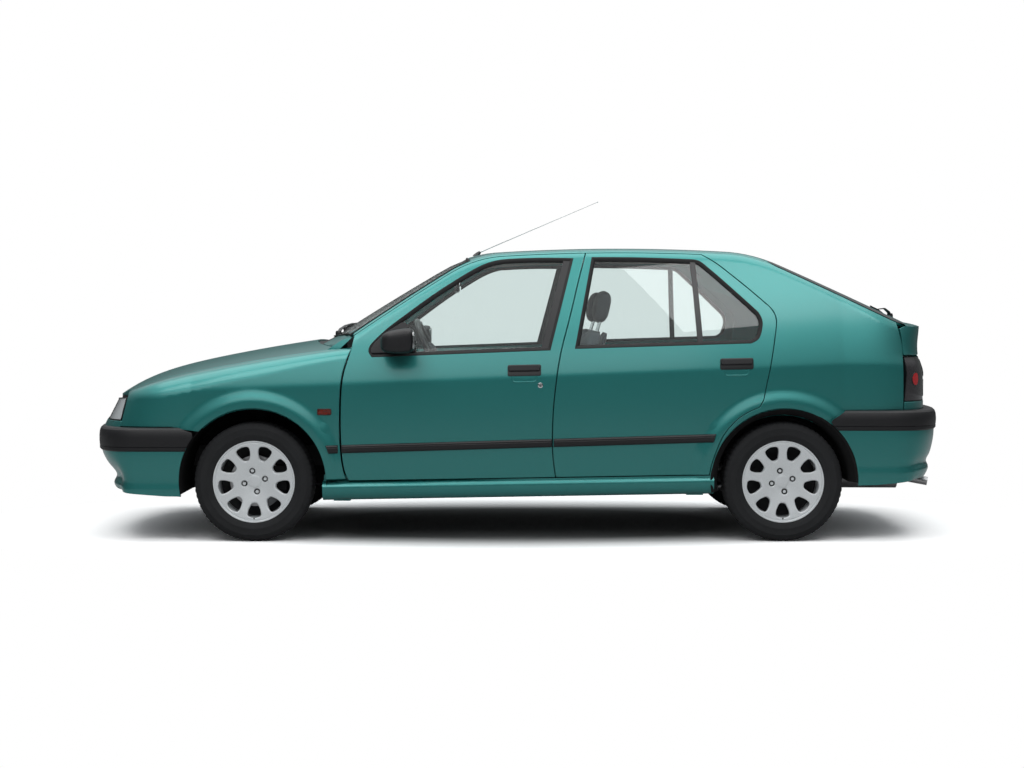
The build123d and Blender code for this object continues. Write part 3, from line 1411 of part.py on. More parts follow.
# ----------------------------------------------------------------------------------------------
# Build
# ----------------------------------------------------------------------------------------------
def build():
    """Every node of the car, by name."""
    nodes = {}
    nodes["floor_left"] = make_floor()
    nodes["tunnel"] = make_tunnel()
    nodes["heelboard"] = make_heelboard()
    nodes["boot_floor"] = make_boot_floor()
    nodes["boot_wall"] = make_boot_wall()
    nodes["rear_arch_left"] = make_rear_arch()
    nodes["body_side_left"] = make_body_side()
    nodes["roof_panel"] = make_roof()
    nodes["bulkhead"] = make_bulkhead()
    nodes["front_wing_left"] = make_front_wing()
    nodes["front_panel"] = make_front_panel()
    nodes["engine"] = make_engine()
    nodes["front_bumper"] = make_front_bumper()
    nodes["rear_bumper"] = make_rear_bumper()
    nodes["grille"] = make_grille()
    nodes["headlamps"] = make_headlamps()
    nodes["tail_lamps"] = make_tail_lamps()
    left, middle = make_rear_panel()
    nodes["rear_panel"] = one_solid(joined(middle, left, other_side(left)))
    nodes["windscreen"] = make_windscreen()
    nodes["bonnet"] = make_bonnet()
    nodes["tailgate"] = make_tailgate()
    nodes["rear_window"] = make_rear_window()
    nodes["front_left_door"] = make_door(FRONT_DOOR, FRONT_WINDOW, -350.0, 870.0)
    nodes["rear_left_door"] = make_door(REAR_DOOR, REAR_WINDOW, -1270.0, -140.0)
    nodes["front_left_window"] = make_window(FRONT_WINDOW, -300.0, 760.0)
    nodes["rear_left_window"] = make_window(REAR_WINDOW, -1200.0, -240.0)
    nodes["left_mirror"] = make_mirror()
    nodes["front_left_knuckle"] = make_knuckle()
    for name in list(nodes):
        if "left" in name:
            nodes[name.replace("left", "right")] = other_side(nodes[name])
    for end, x in (("front", FRONT_X), ("rear", REAR_X)):
        for side, s in (("left", 1), ("right", -1)):
            centre = (x, s * WHEEL_Y, WHEEL_Z)
            nodes[f"{end}_{side}_tyre"] = make_tyre(centre)
            nodes[f"{end}_{side}_wheel"] = make_wheel(centre, s)
    nodes["front_suspension"] = make_front_suspension()
    nodes["rear_axle"] = make_rear_axle()
    nodes["exhaust"] = make_exhaust()
    nodes["dashboard"] = make_dashboard()
    nodes["steering_wheel"] = make_steering_wheel()
    nodes["front_seats"] = group(make_front_seat(1), make_front_seat(-1))
    nodes["rear_seat"] = make_rear_seat()
    nodes["parcel_shelf"] = make_parcel_shelf()
    nodes["antenna"] = make_antenna()
    return nodes


def main():
    """Build every node and write its STEP file."""
    os.makedirs("parts", exist_ok=True)
    for name, shape in build().items():
        export_step(shape, f"parts/{name}.step")


if __name__ == "__main__":
    main()
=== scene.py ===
"""Compact five-door hatchback: the finished look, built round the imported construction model.

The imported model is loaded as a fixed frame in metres: +X forward, +Y to the car's left, +Z up,
with the ground at Z = 0. The skin of the body is the same set of functions that the construction
model uses, in millimetres; every painted panel, pane and moulding below is a patch of that skin
with folded edges, laid just outside the construction piece that carries it.
"""

from __future__ import annotations

import json
import logging
import math
from dataclasses import dataclass, field
from enum import Enum
from typing import Callable, Iterable, Sequence

import bpy
import numpy as np
from mathutils import Matrix, Vector
from mathutils.geometry import delaunay_2d_cdt

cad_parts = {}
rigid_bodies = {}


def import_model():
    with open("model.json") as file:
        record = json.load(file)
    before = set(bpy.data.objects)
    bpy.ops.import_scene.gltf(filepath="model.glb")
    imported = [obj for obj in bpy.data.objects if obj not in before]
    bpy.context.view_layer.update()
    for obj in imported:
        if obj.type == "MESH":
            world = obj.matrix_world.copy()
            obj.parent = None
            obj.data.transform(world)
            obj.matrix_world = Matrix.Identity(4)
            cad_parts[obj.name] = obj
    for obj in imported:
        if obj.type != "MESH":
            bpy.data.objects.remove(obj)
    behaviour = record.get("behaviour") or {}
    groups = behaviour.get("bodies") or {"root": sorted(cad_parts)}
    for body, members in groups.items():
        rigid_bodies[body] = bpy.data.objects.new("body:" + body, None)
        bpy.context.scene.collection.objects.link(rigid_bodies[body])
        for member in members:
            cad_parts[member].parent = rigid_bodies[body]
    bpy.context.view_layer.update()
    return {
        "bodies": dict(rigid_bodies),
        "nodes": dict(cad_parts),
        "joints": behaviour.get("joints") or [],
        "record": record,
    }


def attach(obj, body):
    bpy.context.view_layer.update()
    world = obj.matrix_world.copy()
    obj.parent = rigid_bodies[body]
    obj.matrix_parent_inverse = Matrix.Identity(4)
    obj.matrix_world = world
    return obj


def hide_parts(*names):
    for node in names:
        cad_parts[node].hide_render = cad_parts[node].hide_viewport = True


LOG = logging.getLogger("hatchback")
MM = 0.001
Point2 = tuple[float, float]
Point3 = tuple[float, float, float]


class Side(Enum):
    """The two sides of the car, with the sign of Y on each."""

    LEFT = 1
    RIGHT = -1

    @property
    def word(self) -> str:
        """The side's name as it stands in node names."""
        return self.name.lower()


# ----------------------------------------------------------------------------------------------
# The skin of the body, in millimetres
# ----------------------------------------------------------------------------------------------
def smooth_step(t: float) -> float:
    """Rise smoothly from 0 at t = 0 to 1 at t = 1."""
    t = min(1.0, max(0.0, t))
    return t * t * (3 - 2 * t)


def smooth_min(a: float, b: float, width: float) -> float:
    """Take the smaller of two heights, blended where they are closer than width."""
    near = max(width - abs(a - b), 0.0)
    return min(a, b) - near * near / (4 * width)


@dataclass(frozen=True)
class BodySkin:
    """The outer surface of the body as explicit functions of position."""

    half_width: float = 834.0
    nose_start_x: float = 1564.0
    roof_height: float = 1423.0
    front_axle_x: float = 1270.0
    rear_axle_x: float = -1270.0
    arch_z: float = 293.0
    flare_height: float = 16.0
    flare_inner: float = 378.0
    flare_outer: float = 446.0

    def body_half_width(self, x: float) -> float:
        """Return the greatest half-width at x, before the ends round off."""
        t = min(abs(x), self.nose_start_x) / 2000.0
        return self.half_width - (70.0 if x > 0 else 75.0) * t**4

    def crease_z(self, x: float) -> float:
        """Return the height of the shoulder line at x."""
        x = max(-self.nose_start_x, min(self.nose_start_x, x))
        return 790.0 - 0.04 * x

    def tumblehome(self, x: float, z: float) -> float:
        """Return how far the side leans in from its widest line at height z."""
        u = z - self.crease_z(x)
        h = math.hypot(u, 12.0)
        above, below = (h + u) / 2, (h - u) / 2
        return 0.2126 * above + 2.66e-4 * above**2 + 1.8e-7 * below**3

    def flare(self, x: float, z: float) -> float:
        """Return the stand-out of the wheel-arch lips."""
        total = 0.0
        for axle_x in (self.front_axle_x, self.rear_axle_x):
            r = math.hypot(x - axle_x, z - self.arch_z)
            reach = (self.flare_outer - r) / (self.flare_outer - self.flare_inner)
            total += self.flare_height * smooth_step(reach)
        return total

    def nose_centre_x(self, z: float) -> float:
        """Return the nose's X on the centre plane at height z."""
        return 2049.0 - 0.54 * (z - 571.0)

    def tail_centre_x(self, z: float) -> float:
        """Return how far the tail reaches behind the origin on the centre plane."""
        upper = smooth_step((z - 800.0) / 110.0) - smooth_step((z - 930.0) / 110.0)
        return 2016.0 - 30.0 * upper - 18.0 * smooth_step((z - 930.0) / 110.0)

    def end_reach(self, front: bool, z: float) -> float:
        """Return the distance from the start of the plan's rounding to the end face."""
        centre = self.nose_centre_x(z) if front else self.tail_centre_x(z)
        return centre - self.nose_start_x

    def side_y(self, x: float, z: float) -> float:
        """Return the half-width of the skin at (x, z)."""
        full = self.body_half_width(x) - self.tumblehome(x, z) + self.flare(x, z)
        beyond = abs(x) - self.nose_start_x
        if beyond <= 0:
            return full
        share = min(1.0, beyond / self.end_reach(x > 0, z))
        return full * max(0.0, 1 - share**4) ** 0.25

    def bonnet_z(self, x: float, y: float) -> float:
        """Return the height of the bonnet and wing tops."""
        s = (x - 1050.0) / 950.0
        middle = 955.0 - 140.0 * s - 52.0 * s * s - 74.0 * max(0.0, s) ** 8
        return middle - 1.04e-4 * y * y

    def screen_z(self, x: float, y: float) -> float:
        """Return the height of the windscreen's surface."""
        d = 850.0 - x - 2.0e-4 * y * y
        return 1037.0 + 0.635 * d - 6.0e-5 * d * d

    def roof_z(self, x: float, y: float) -> float:
        """Return the height of the roof's surface."""
        return self.roof_height - 5.2e-5 * (x + 500.0) ** 2 - 5.5e-5 * y * y

    def backlight_z(self, x: float, y: float) -> float:
        """Return the height of the rear window's surface."""
        d = -1336.0 - x + 2.2e-4 * y * y
        return 1332.0 - 0.44 * d - 3.0e-5 * d * max(0.0, d)

    def cabin_z(self, x: float, y: float) -> float:
        """Return the height of windscreen, roof and rear window as one blended surface."""
        top = smooth_min(self.roof_z(x, y), self.screen_z(x, y), 66.0)
        return smooth_min(top, self.backlight_z(x, y), 50.0)


SKIN = BodySkin()


@dataclass
class Corner:
    """The rounded edge between the side and a top surface, in the section at x."""

    x: float
    top: Callable[[float, float], float]
    side_run: float = 42.0
    top_run: float = 44.0
    zc: float = 0.0
    yc: float = 0.0
    z0: float = 0.0
    y0: float = 0.0
    y1: float = 0.0
    z1: float = 0.0

    def __post_init__(self) -> None:
        """Find where the side meets the top, and the two ends of the rounding."""
        z = 1000.0
        for _ in range(44):
            z = 0.5 * z + 0.5 * self.top(self.x, SKIN.side_y(self.x, z))
        self.zc, self.yc = z, SKIN.side_y(self.x, z)
        self.z0 = z - self.side_run
        self.y0 = SKIN.side_y(self.x, self.z0)
        self.y1 = self.yc - self.top_run
        self.z1 = self.top(self.x, self.y1)

    @property
    def length(self) -> float:
        """Length along the rounding, taken as two chords."""
        y, z = self.point(0.5)
        first = math.hypot(self.y0 - y, z - self.z0)
        return first + math.hypot(y - self.y1, self.z1 - z)

    def point(self, t: float) -> Point2:
        """Return (y, z) on the rounding, from the side at t = 0 to the top at t = 1."""
        a, b, c = (1 - t) ** 2, 2 * t * (1 - t), t * t
        return a * self.y0 + b * self.yc + c * self.y1, a * self.z0 + b * self.zc + c * self.z1

    def share_at(self, value: float, height: bool) -> float:
        """Return the share of the rounding at a height, or at a half-width."""
        low, mid, high = (self.z0, self.zc, self.z1) if height else (self.y0, self.yc, self.y1)
        a, b, c = low - 2 * mid + high, 2 * (mid - low), low - value
        if abs(a) < 1e-9:
            return min(1.0, max(0.0, -c / b))
        root = math.sqrt(max(0.0, b * b - 4 * a * c))
        for t in ((-b + root) / (2 * a), (-b - root) / (2 * a)):
            if -1e-6 <= t <= 1 + 1e-6:
                return min(1.0, max(0.0, t))
        return 1.0


class Surface:
    """A piece of skin with two coordinates u and v, both close to true length."""

    def point(self, u: float, v: float) -> Point3:
        """Return the skin's point at (u, v), in millimetres."""
        raise NotImplementedError

    def normal(self, u: float, v: float) -> np.ndarray:
        """Return the outward unit normal at (u, v)."""
        h = 1.5
        p = np.array(self.point(u, v))
        along = np.array(self.point(u + h, v)) - p
        across = np.array(self.point(u, v + h)) - p
        n = np.cross(along, across)
        n /= max(1e-9, float(np.linalg.norm(n)))
        return n if float(n @ self.outward(p)) > 0 else -n

    def outward(self, p: np.ndarray) -> np.ndarray:
        """Return a rough outward direction at p, which settles the normal's sign."""
        raise NotImplementedError


class SideSurface(Surface):
    """The left side and the edge above it: u is X, and v is the height, unrolled over the edge."""

    def __init__(
        self, top: Callable[[float, float], float], runs: Callable[[float], Point2]
    ) -> None:
        """Take the top surface and the size of the rounding at each X."""
        self.top = top
        self.runs = runs
        self.corners: dict[float, tuple[Corner, float]] = {}

    def corner(self, x: float) -> tuple[Corner, float]:
        """Return the rounding at x, with its length."""
        key = round(x, 2)
        if key not in self.corners:
            corner = Corner(key, self.top, *self.runs(key))
            self.corners[key] = (corner, corner.length)
        return self.corners[key]

    def point(self, u: float, v: float) -> Point3:
        """Return the skin's point at X = u and unrolled height v."""
        corner, length = self.corner(u)
        if v <= corner.z0:
            return u, SKIN.side_y(u, v), v
        if v <= corner.z0 + length:
            y, z = corner.point((v - corner.z0) / length)
            return u, y, z
        y = corner.y1 - (v - corner.z0 - length)
        return u, y, self.top(u, y)

    def outward(self, p: np.ndarray) -> np.ndarray:
        """Point away from a line inside the car."""
        return np.array((0.0, p[1] - 300.0, max(0.0, p[2] - 700.0)))

    def at_height(self, x: float, z: float) -> Point2:
        """Return the coordinates of the skin's point at (x, z)."""
        corner, length = self.corner(x)
        if z <= corner.z0:
            return x, z
        return x, corner.z0 + length * corner.share_at(z, True)

    def at_share(self, x: float, share: float) -> Point2:
        """Return the coordinates of a point at a share of the rounding."""
        corner, length = self.corner(x)
        return x, corner.z0 + length * share

    def at_width(self, x: float, y: float) -> Point2:
        """Return the coordinates of the skin's point at (x, y) on the top or the rounding."""
        corner, length = self.corner(x)
        if y <= corner.y1:
            return x, corner.z0 + length + corner.y1 - y
        return x, corner.z0 + length * corner.share_at(y, False)


class TopSurface(Surface):
    """A top surface with its rounded edges: u is X and v is Y."""

    def __init__(self, top: Callable[[float, float], float], rounded: bool) -> None:
        """Take the top surface, and whether its edges round off to the sides."""
        self.top = top
        self.rounded = rounded
        self.corners: dict[float, Corner] = {}

    def point(self, u: float, v: float) -> Point3:
        """Return the skin's point at (u, v)."""
        if not self.rounded:
            return u, v, self.top(u, v)
        key = round(u, 2)
        if key not in self.corners:
            self.corners[key] = Corner(key, self.top)
        corner = self.corners[key]
        if abs(v) <= corner.y1:
            return u, v, self.top(u, v)
        return u, v, corner.point(corner.share_at(abs(v), False))[1]

    def outward(self, p: np.ndarray) -> np.ndarray:
        """Point upwards."""
        return np.array((0.0, 0.0, 1.0))


class EndSurface(Surface):
    """The nose or the tail: u is the length round the plan from the centre, and v is Z."""

    def __init__(self, front: bool, recess: float = 0.0) -> None:
        """Tabulate length round the plan curve against its angle."""
        self.front = front
        self.recess = recess
        self.full = SKIN.body_half_width(SKIN.nose_start_x if front else -SKIN.nose_start_x)
        angles = np.linspace(math.pi / 2, 1e-4, 400)
        xs, ys = 480.0 * np.sin(angles) ** 0.5, self.full * np.cos(angles) ** 0.5
        steps = np.hypot(np.diff(xs), np.diff(ys))
        self.lengths = np.concatenate(([0.0], np.cumsum(steps)))
        self.angles = angles

    def point(self, u: float, v: float) -> Point3:
        """Return the skin's point at length u round the plan and height v."""
        sign = 1.0 if self.front else -1.0
        angle = float(np.interp(abs(u), self.lengths, self.angles))
        beyond = max(0.0, abs(u) - float(self.lengths[-1]))
        width = self.full - SKIN.tumblehome(sign * SKIN.nose_start_x, v)
        reach = SKIN.end_reach(self.front, v)
        sine, cosine = math.sin(angle), max(0.0, math.cos(angle))
        x = SKIN.nose_start_x + reach * sine**0.5 - beyond
        y = width * cosine**0.5
        nx, ny = sine**1.5 / reach, cosine**1.5 / width
        size = math.hypot(nx, ny)
        x -= self.recess * nx / size
        y -= self.recess * ny / size
        return sign * x, math.copysign(y, u), v

    def outward(self, p: np.ndarray) -> np.ndarray:
        """Point away from the middle of the car."""
        start = SKIN.nose_start_x - 300.0
        sign = 1.0 if self.front else -1.0
        return np.array((p[0] - sign * start, 0.6 * p[1], 0.0))

    def round_at_y(self, y: float, z: float) -> float:
        """Return the length round the plan at half-width y and height z."""
        low, high = 0.0, float(self.lengths[-1])
        for _ in range(40):
            mid = (low + high) / 2
            if abs(self.point(mid, z)[1]) < abs(y):
                low = mid
            else:
                high = mid
        return math.copysign(low, y)

    def round_at_x(self, x: float, z: float) -> float:
        """Return the length round the plan, on the left, where it passes X at height z."""
        low, high = 0.0, float(self.lengths[-1])
        for _ in range(40):
            mid = (low + high) / 2
            if abs(self.point(mid, z)[0]) > abs(x):
                low = mid
            else:
                high = mid
        return low


# ----------------------------------------------------------------------------------------------
# Outlines
# ----------------------------------------------------------------------------------------------
def spread(low: float, high: float, count: int) -> list[float]:
    """Return count evenly spaced values from low to high."""
    return [low + (high - low) * k / (count - 1) for k in range(count)]


def stations(low: float, high: float, step: float) -> list[float]:
    """Return evenly spaced values about step apart, ends included."""
    return spread(low, high, max(2, round(abs(high - low) / step) + 1))


def curve_through(points: Sequence[Point2], step: float) -> list[Point2]:
    """Sample a natural cubic spline through the points.

    Args:
        points: The points that the curve passes through.
        step: The distance between samples.

    Returns:
        The samples, with both end points among them.
    """
    data = np.array(points, float)
    if len(data) == 2:
        count = max(2, int(round(float(np.linalg.norm(data[1] - data[0])) / step)) + 1)
        return [tuple(p) for p in np.linspace(data[0], data[1], count)]
    along = np.concatenate(([0.0], np.cumsum(np.linalg.norm(np.diff(data, axis=0), axis=1))))
    n, h = len(data), np.diff(along)
    matrix, right = np.eye(n), np.zeros((n, 2))
    for k in range(1, n - 1):
        matrix[k, k - 1], matrix[k, k + 1] = h[k - 1], h[k]
        matrix[k, k] = 2 * (h[k - 1] + h[k])
        right[k] = 6 * ((data[k + 1] - data[k]) / h[k] - (data[k] - data[k - 1]) / h[k - 1])
    bend = np.linalg.solve(matrix, right)
    samples = []
    for s in np.linspace(0.0, along[-1], max(3, int(round(along[-1] / step)) + 1)):
        k = min(n - 2, int(np.searchsorted(along, s, side="right")) - 1)
        a, b = (along[k + 1] - s) / h[k], (s - along[k]) / h[k]
        value = a * data[k] + b * data[k + 1]
        value += ((a**3 - a) * bend[k] + (b**3 - b) * bend[k + 1]) * h[k] ** 2 / 6
        samples.append((float(value[0]), float(value[1])))
    return samples


class Loop:
    """A closed outline as a ring of points, run anticlockwise."""

    def __init__(self, points: Sequence[Point2]) -> None:
        """Keep the points without repeats, anticlockwise."""
        ring: list[Point2] = []
        for p in points:
            if not ring or math.dist(p, ring[-1]) > 0.6:
                ring.append((float(p[0]), float(p[1])))
        while len(ring) > 1 and math.dist(ring[0], ring[-1]) <= 0.6:
            ring.pop()
        data = np.array(ring)
        after = np.roll(data, -1, axis=0)
        area = float(np.sum(data[:, 0] * after[:, 1] - after[:, 0] * data[:, 1]))
        self.points = data if area > 0 else data[::-1].copy()

    @classmethod
    def of(cls, *stretches: Sequence[Point2], step: float = 14.0) -> Loop:
        """Build a loop from stretches: two points for a line, more for a curve."""
        points: list[Point2] = []
        for stretch in stretches:
            points += curve_through(stretch, step)
        return cls(points)

    @classmethod
    def polygon(cls, points: Sequence[Point2], radius: float = 0.0, step: float = 12.0) -> Loop:
        """Build a loop of straight lines, with its corners rounded.

        Args:
            points: The corners.
            radius: The radius of every corner.
            step: The distance between points along the lines.

        Returns:
            The loop.
        """
        ring: list[Point2] = []
        count = len(points)
        for k, p in enumerate(points):
            a = np.array(points[k - 1], float) - np.array(p)
            b = np.array(points[(k + 1) % count], float) - np.array(p)
            la, lb = np.linalg.norm(a), np.linalg.norm(b)
            cut = min(radius, 0.45 * la, 0.45 * lb)
            if cut <= 0.01:
                corner = [tuple(p)]
            else:
                start, end = np.array(p) + a / la * cut, np.array(p) + b / lb * cut
                corner = []
                for t in spread(0.0, 1.0, 6):
                    q = (1 - t) ** 2 * start + 2 * t * (1 - t) * np.array(p) + t * t * end
                    corner.append((float(q[0]), float(q[1])))
            if ring:
                ring += curve_through([ring[-1], corner[0]], step)[1:-1]
            ring += corner
        ring += curve_through([ring[-1], ring[0]], step)[1:-1]
        return cls(ring)

    @classmethod
    def ellipse(cls, u: float, v: float, ru: float, rv: float, count: int = 40) -> Loop:
        """Build an ellipse about (u, v)."""
        turns = [2 * math.pi * k / count for k in range(count)]
        return cls([(u + ru * math.cos(a), v + rv * math.sin(a)) for a in turns])

    def grown(self, distance: float) -> Loop:
        """Return the loop moved outwards by distance, point for point."""
        result = Loop.__new__(Loop)
        result.points = self.points + distance * self._miters()
        return result

    def _miters(self) -> np.ndarray:
        """Return the outward direction at each point, lengthened at corners."""
        p = self.points
        before, after = p - np.roll(p, 1, axis=0), np.roll(p, -1, axis=0) - p
        before /= np.maximum(1e-9, np.linalg.norm(before, axis=1))[:, None]
        after /= np.maximum(1e-9, np.linalg.norm(after, axis=1))[:, None]
        n1 = np.stack((before[:, 1], -before[:, 0]), axis=1)
        n2 = np.stack((after[:, 1], -after[:, 0]), axis=1)
        mean = n1 + n2
        size = np.maximum(0.35, np.sum(mean * mean, axis=1) / 2)
        return mean / size[:, None]

    def mapped(self, place: Callable[[float, float], Point2]) -> Loop:
        """Return the loop with every point moved by place, kept in order."""
        return Loop([place(float(u), float(v)) for u, v in self.points])

    def inside(self, points: np.ndarray, margin: float = 0.0) -> np.ndarray:
        """Say which points lie inside the loop, at least margin from its edge.

        Args:
            points: The points to test, one a row.
            margin: The least distance from the edge, where it is above 0.

        Returns:
            One truth value a point.
        """
        a, b = self.points, np.roll(self.points, -1, axis=0)
        result = np.zeros(len(points), bool)
        nearest = np.full(len(points), 1e18)
        for (u0, v0), (u1, v1) in zip(a, b):
            du, dv = u1 - u0, v1 - v0
            straddles = (v0 > points[:, 1]) != (v1 > points[:, 1])
            with np.errstate(divide="ignore", invalid="ignore"):
                cross = (points[:, 1] - v0) / dv * du + u0 if dv else np.full(len(points), -1e18)
            result ^= straddles & (points[:, 0] < cross)
            if margin > 0:
                size = max(1e-9, du * du + dv * dv)
                t = np.clip(((points[:, 0] - u0) * du + (points[:, 1] - v0) * dv) / size, 0, 1)
                gap = (points[:, 0] - u0 - t * du) ** 2 + (points[:, 1] - v0 - t * dv) ** 2
                nearest = np.minimum(nearest, gap)
        return result & (nearest > margin * margin) if margin > 0 else result


# ----------------------------------------------------------------------------------------------
# Meshes
# ----------------------------------------------------------------------------------------------
@dataclass
class MeshData:
    """Vertices, faces and normals gathered for one object, in millimetres."""

    verts: list[Sequence[float]] = field(default_factory=list)
    faces: list[tuple[int, ...]] = field(default_factory=list)
    normals: list[Sequence[float]] = field(default_factory=list)

    def add(self, verts: Iterable, faces: Iterable, normals: Iterable | None = None) -> int:
        """Append vertices with the faces that use them, and return their first index."""
        start = len(self.verts)
        self.verts += [tuple(v) for v in verts]
        self.faces += [tuple(start + k for k in face) for face in faces]
        if normals is not None:
            self.normals += [tuple(n) for n in normals]
        return start

    def merge(self, other: MeshData) -> None:
        """Append all of another mesh."""
        self.add(other.verts, other.faces, other.normals)

    def moved(self, place: Callable[[np.ndarray], np.ndarray]) -> MeshData:
        """Return a copy with its vertices moved by place, without normals."""
        data = np.array(self.verts, float).reshape(-1, 3)
        return MeshData([tuple(p) for p in place(data)], list(self.faces), [])

    def mirrored(self) -> MeshData:
        """Return the same mesh on the other side of the car."""
        return MeshData(
            [(x, -y, z) for x, y, z in self.verts],
            [face[::-1] for face in self.faces],
            [(x, -y, z) for x, y, z in self.normals],
        )


def grid_faces(rows: int, columns: int, closed: bool = False, cyclic: bool = False) -> list:
    """Return the faces of a grid of points.

    Args:
        rows: The number of rows.
        columns: The number of points in a row.
        closed: Whether each row closes on itself.
        cyclic: Whether the last row joins the first.

    Returns:
        Quads that run anticlockwise where rows go up and columns go right.
    """
    faces = []
    for r in range(rows if cyclic else rows - 1):
        s = (r + 1) % rows
        for c in range(columns if closed else columns - 1):
            d = (c + 1) % columns
            faces.append((r * columns + c, r * columns + d, s * columns + d, s * columns + c))
    return faces


@dataclass(frozen=True)
class Hem:
    """How a panel's edge is folded: gap to the outline, radius of the fold and its depth."""

    gap: float = 1.6
    radius: float = 2.6
    depth: float = 9.0
    proud: float = 1.8


class PanelMaker:
    """Builds a patch of skin inside an outline, with folded edges."""

    def __init__(self, surface: Surface, spacing: Point2 = (26.0, 16.0)) -> None:
        """Take the surface, and the spacing of the points inside a patch."""
        self.surface = surface
        self.spacing = spacing

    def lift(self, points: np.ndarray, out: float) -> tuple[np.ndarray, np.ndarray]:
        """Return the skin's points and normals at each (u, v), moved outwards by out."""
        places = np.array([self.surface.point(float(u), float(v)) for u, v in points])
        normals = np.array([self.surface.normal(float(u), float(v)) for u, v in points])
        return places + normals * out, normals

    def triangles(self, loops: list[Loop], lines: Sequence[Sequence[Point2]] = ()) -> tuple:
        """Fill an outline, less its holes, with triangles.

        Args:
            loops: The outline, and then its holes.
            lines: Lines that edges of the mesh follow, such as a crease.

        Returns:
            The points, and the triangles as index triples. The loops' points come first.
        """
        outer, holes = loops[0], loops[1:]
        low, high = outer.points.min(axis=0), outer.points.max(axis=0)
        us = np.arange(low[0] + self.spacing[0] / 2, high[0], self.spacing[0])
        vs = np.arange(low[1] + self.spacing[1] / 2, high[1], self.spacing[1])
        grid = np.array([(u, v) for u in us for v in vs]).reshape(-1, 2)
        margin = 0.55 * min(self.spacing)
        keep = outer.inside(grid, margin)
        for hole in holes:
            keep &= ~hole.inside(grid) & self._clear(hole, grid, margin)
        verts = [tuple(p) for loop in loops for p in loop.points]
        edges, start = [], 0
        for loop in loops:
            count = len(loop.points)
            edges += [(start + k, start + (k + 1) % count) for k in range(count)]
            start += count
        for line in lines:
            inner = [p for p in line if outer.inside(np.array([p]), margin)[0]]
            for hole in holes:
                inner = [p for p in inner if not hole.inside(np.array([p]))[0]]
            near = [np.hypot(grid[:, 0] - u, grid[:, 1] - v) > margin for u, v in inner]
            for clear in near:
                keep &= clear
            verts += inner
        verts += [tuple(p) for p in grid[keep]]
        result = delaunay_2d_cdt([Vector(v) for v in verts], edges, [], 0, 1e-4)
        points = np.array([tuple(v) for v in result[0]])
        faces = np.array([tuple(f) for f in result[2]])
        middles = points[faces].mean(axis=1)
        inside = outer.inside(middles)
        for hole in holes:
            inside &= ~hole.inside(middles)
        return points, [tuple(int(k) for k in f) for f in faces[inside]]

    @staticmethod
    def _clear(loop: Loop, points: np.ndarray, margin: float) -> np.ndarray:
        """Say which points lie at least margin outside a hole."""
        return ~loop.grown(margin).inside(points)

    def sheet(
        self,
        outline: Loop,
        holes: Sequence[Loop] = (),
        hem: Hem = Hem(),
        lines: Sequence[Sequence[Point2]] = (),
    ) -> MeshData:
        """Build a panel: its skin, the fold round every edge, and a flange behind the fold.

        Args:
            outline: The panel's outline, at the middle of its shut lines.
            holes: Openings in it, at their true size.
            hem: The fold.
            lines: Lines that edges of the mesh follow.

        Returns:
            The mesh, with its own normals.
        """
        inset = hem.gap + hem.radius
        true = [outline.grown(-hem.gap)] + list(holes)
        flat = [outline.grown(-inset)] + [h.grown(hem.radius) for h in holes]
        points, faces = self.triangles(flat, lines)
        places, normals = self.lift(points, hem.proud)
        data = MeshData()
        if float(np.cross(*self._edges(places, faces[0]))[:3] @ normals[faces[0][0]]) < 0:
            faces = [f[::-1] for f in faces]
        data.add(places, faces, normals)
        for true_loop, flat_loop in zip(true, flat):
            self._fold(data, true_loop, flat_loop, hem)
        return data

    @staticmethod
    def _edges(places: np.ndarray, face: tuple[int, ...]) -> tuple[np.ndarray, np.ndarray]:
        """Return two edges of a face."""
        a, b, c = (places[k] for k in face[:3])
        return b - a, c - a

    def _fold(self, data: MeshData, true: Loop, flat: Loop, hem: Hem) -> None:
        """Add the rounded fold and the flange along one loop."""
        places, normals = self.lift(flat.points, hem.proud)
        edge, _ = self.lift(true.points, hem.proud)
        out = edge - places
        out -= np.sum(out * normals, axis=1)[:, None] * normals
        rows, row_normals = [places], [normals]
        unit = out / np.maximum(1e-6, np.linalg.norm(out, axis=1))[:, None]
        for share in (1 / 3, 2 / 3, 1.0):
            a = share * math.pi / 2
            rows.append(places + out * math.sin(a) - normals * hem.radius * (1 - math.cos(a)))
            row_normals.append(normals * math.cos(a) + unit * math.sin(a))
        rows.append(rows[-1] - normals * hem.depth)
        row_normals.append(unit)
        count = len(places)
        faces = grid_faces(len(rows), count, closed=True)
        a, b = rows[0][1] - rows[0][0], rows[1][0] - rows[0][0]
        if float(np.cross(a, b) @ (normals[0] + unit[0])) < 0:
            faces = [f[::-1] for f in faces]
        data.add(np.concatenate(rows), faces, np.concatenate(row_normals))

    def slab(self, outline: Loop, recess: float, thickness: float) -> MeshData:
        """Build a closed pane of even thickness behind the skin."""
        points, faces = self.triangles([outline])
        outer, normals = self.lift(points, -recess)
        inner = outer - normals * thickness
        if float(np.cross(*self._edges(outer, faces[0])) @ normals[faces[0][0]]) < 0:
            faces = [f[::-1] for f in faces]
        data = MeshData()
        data.add(outer, faces, normals)
        data.add(inner, [f[::-1] for f in faces], -normals)
        ring = len(outline.points)
        a, b = outer[:ring], inner[:ring]
        side = [(k, (k + 1) % ring, ring + (k + 1) % ring, ring + k) for k in range(ring)]
        middle = outer.mean(axis=0)
        out = a - middle
        out -= np.sum(out * normals[:ring], axis=1)[:, None] * normals[:ring]
        out /= np.maximum(1e-6, np.linalg.norm(out, axis=1))[:, None]
        if float(np.cross(a[1] - a[0], b[0] - a[0]) @ out[0]) < 0:
            side = [f[::-1] for f in side]
        data.add(np.concatenate((a, b)), side, np.concatenate((out, out)))
        return data


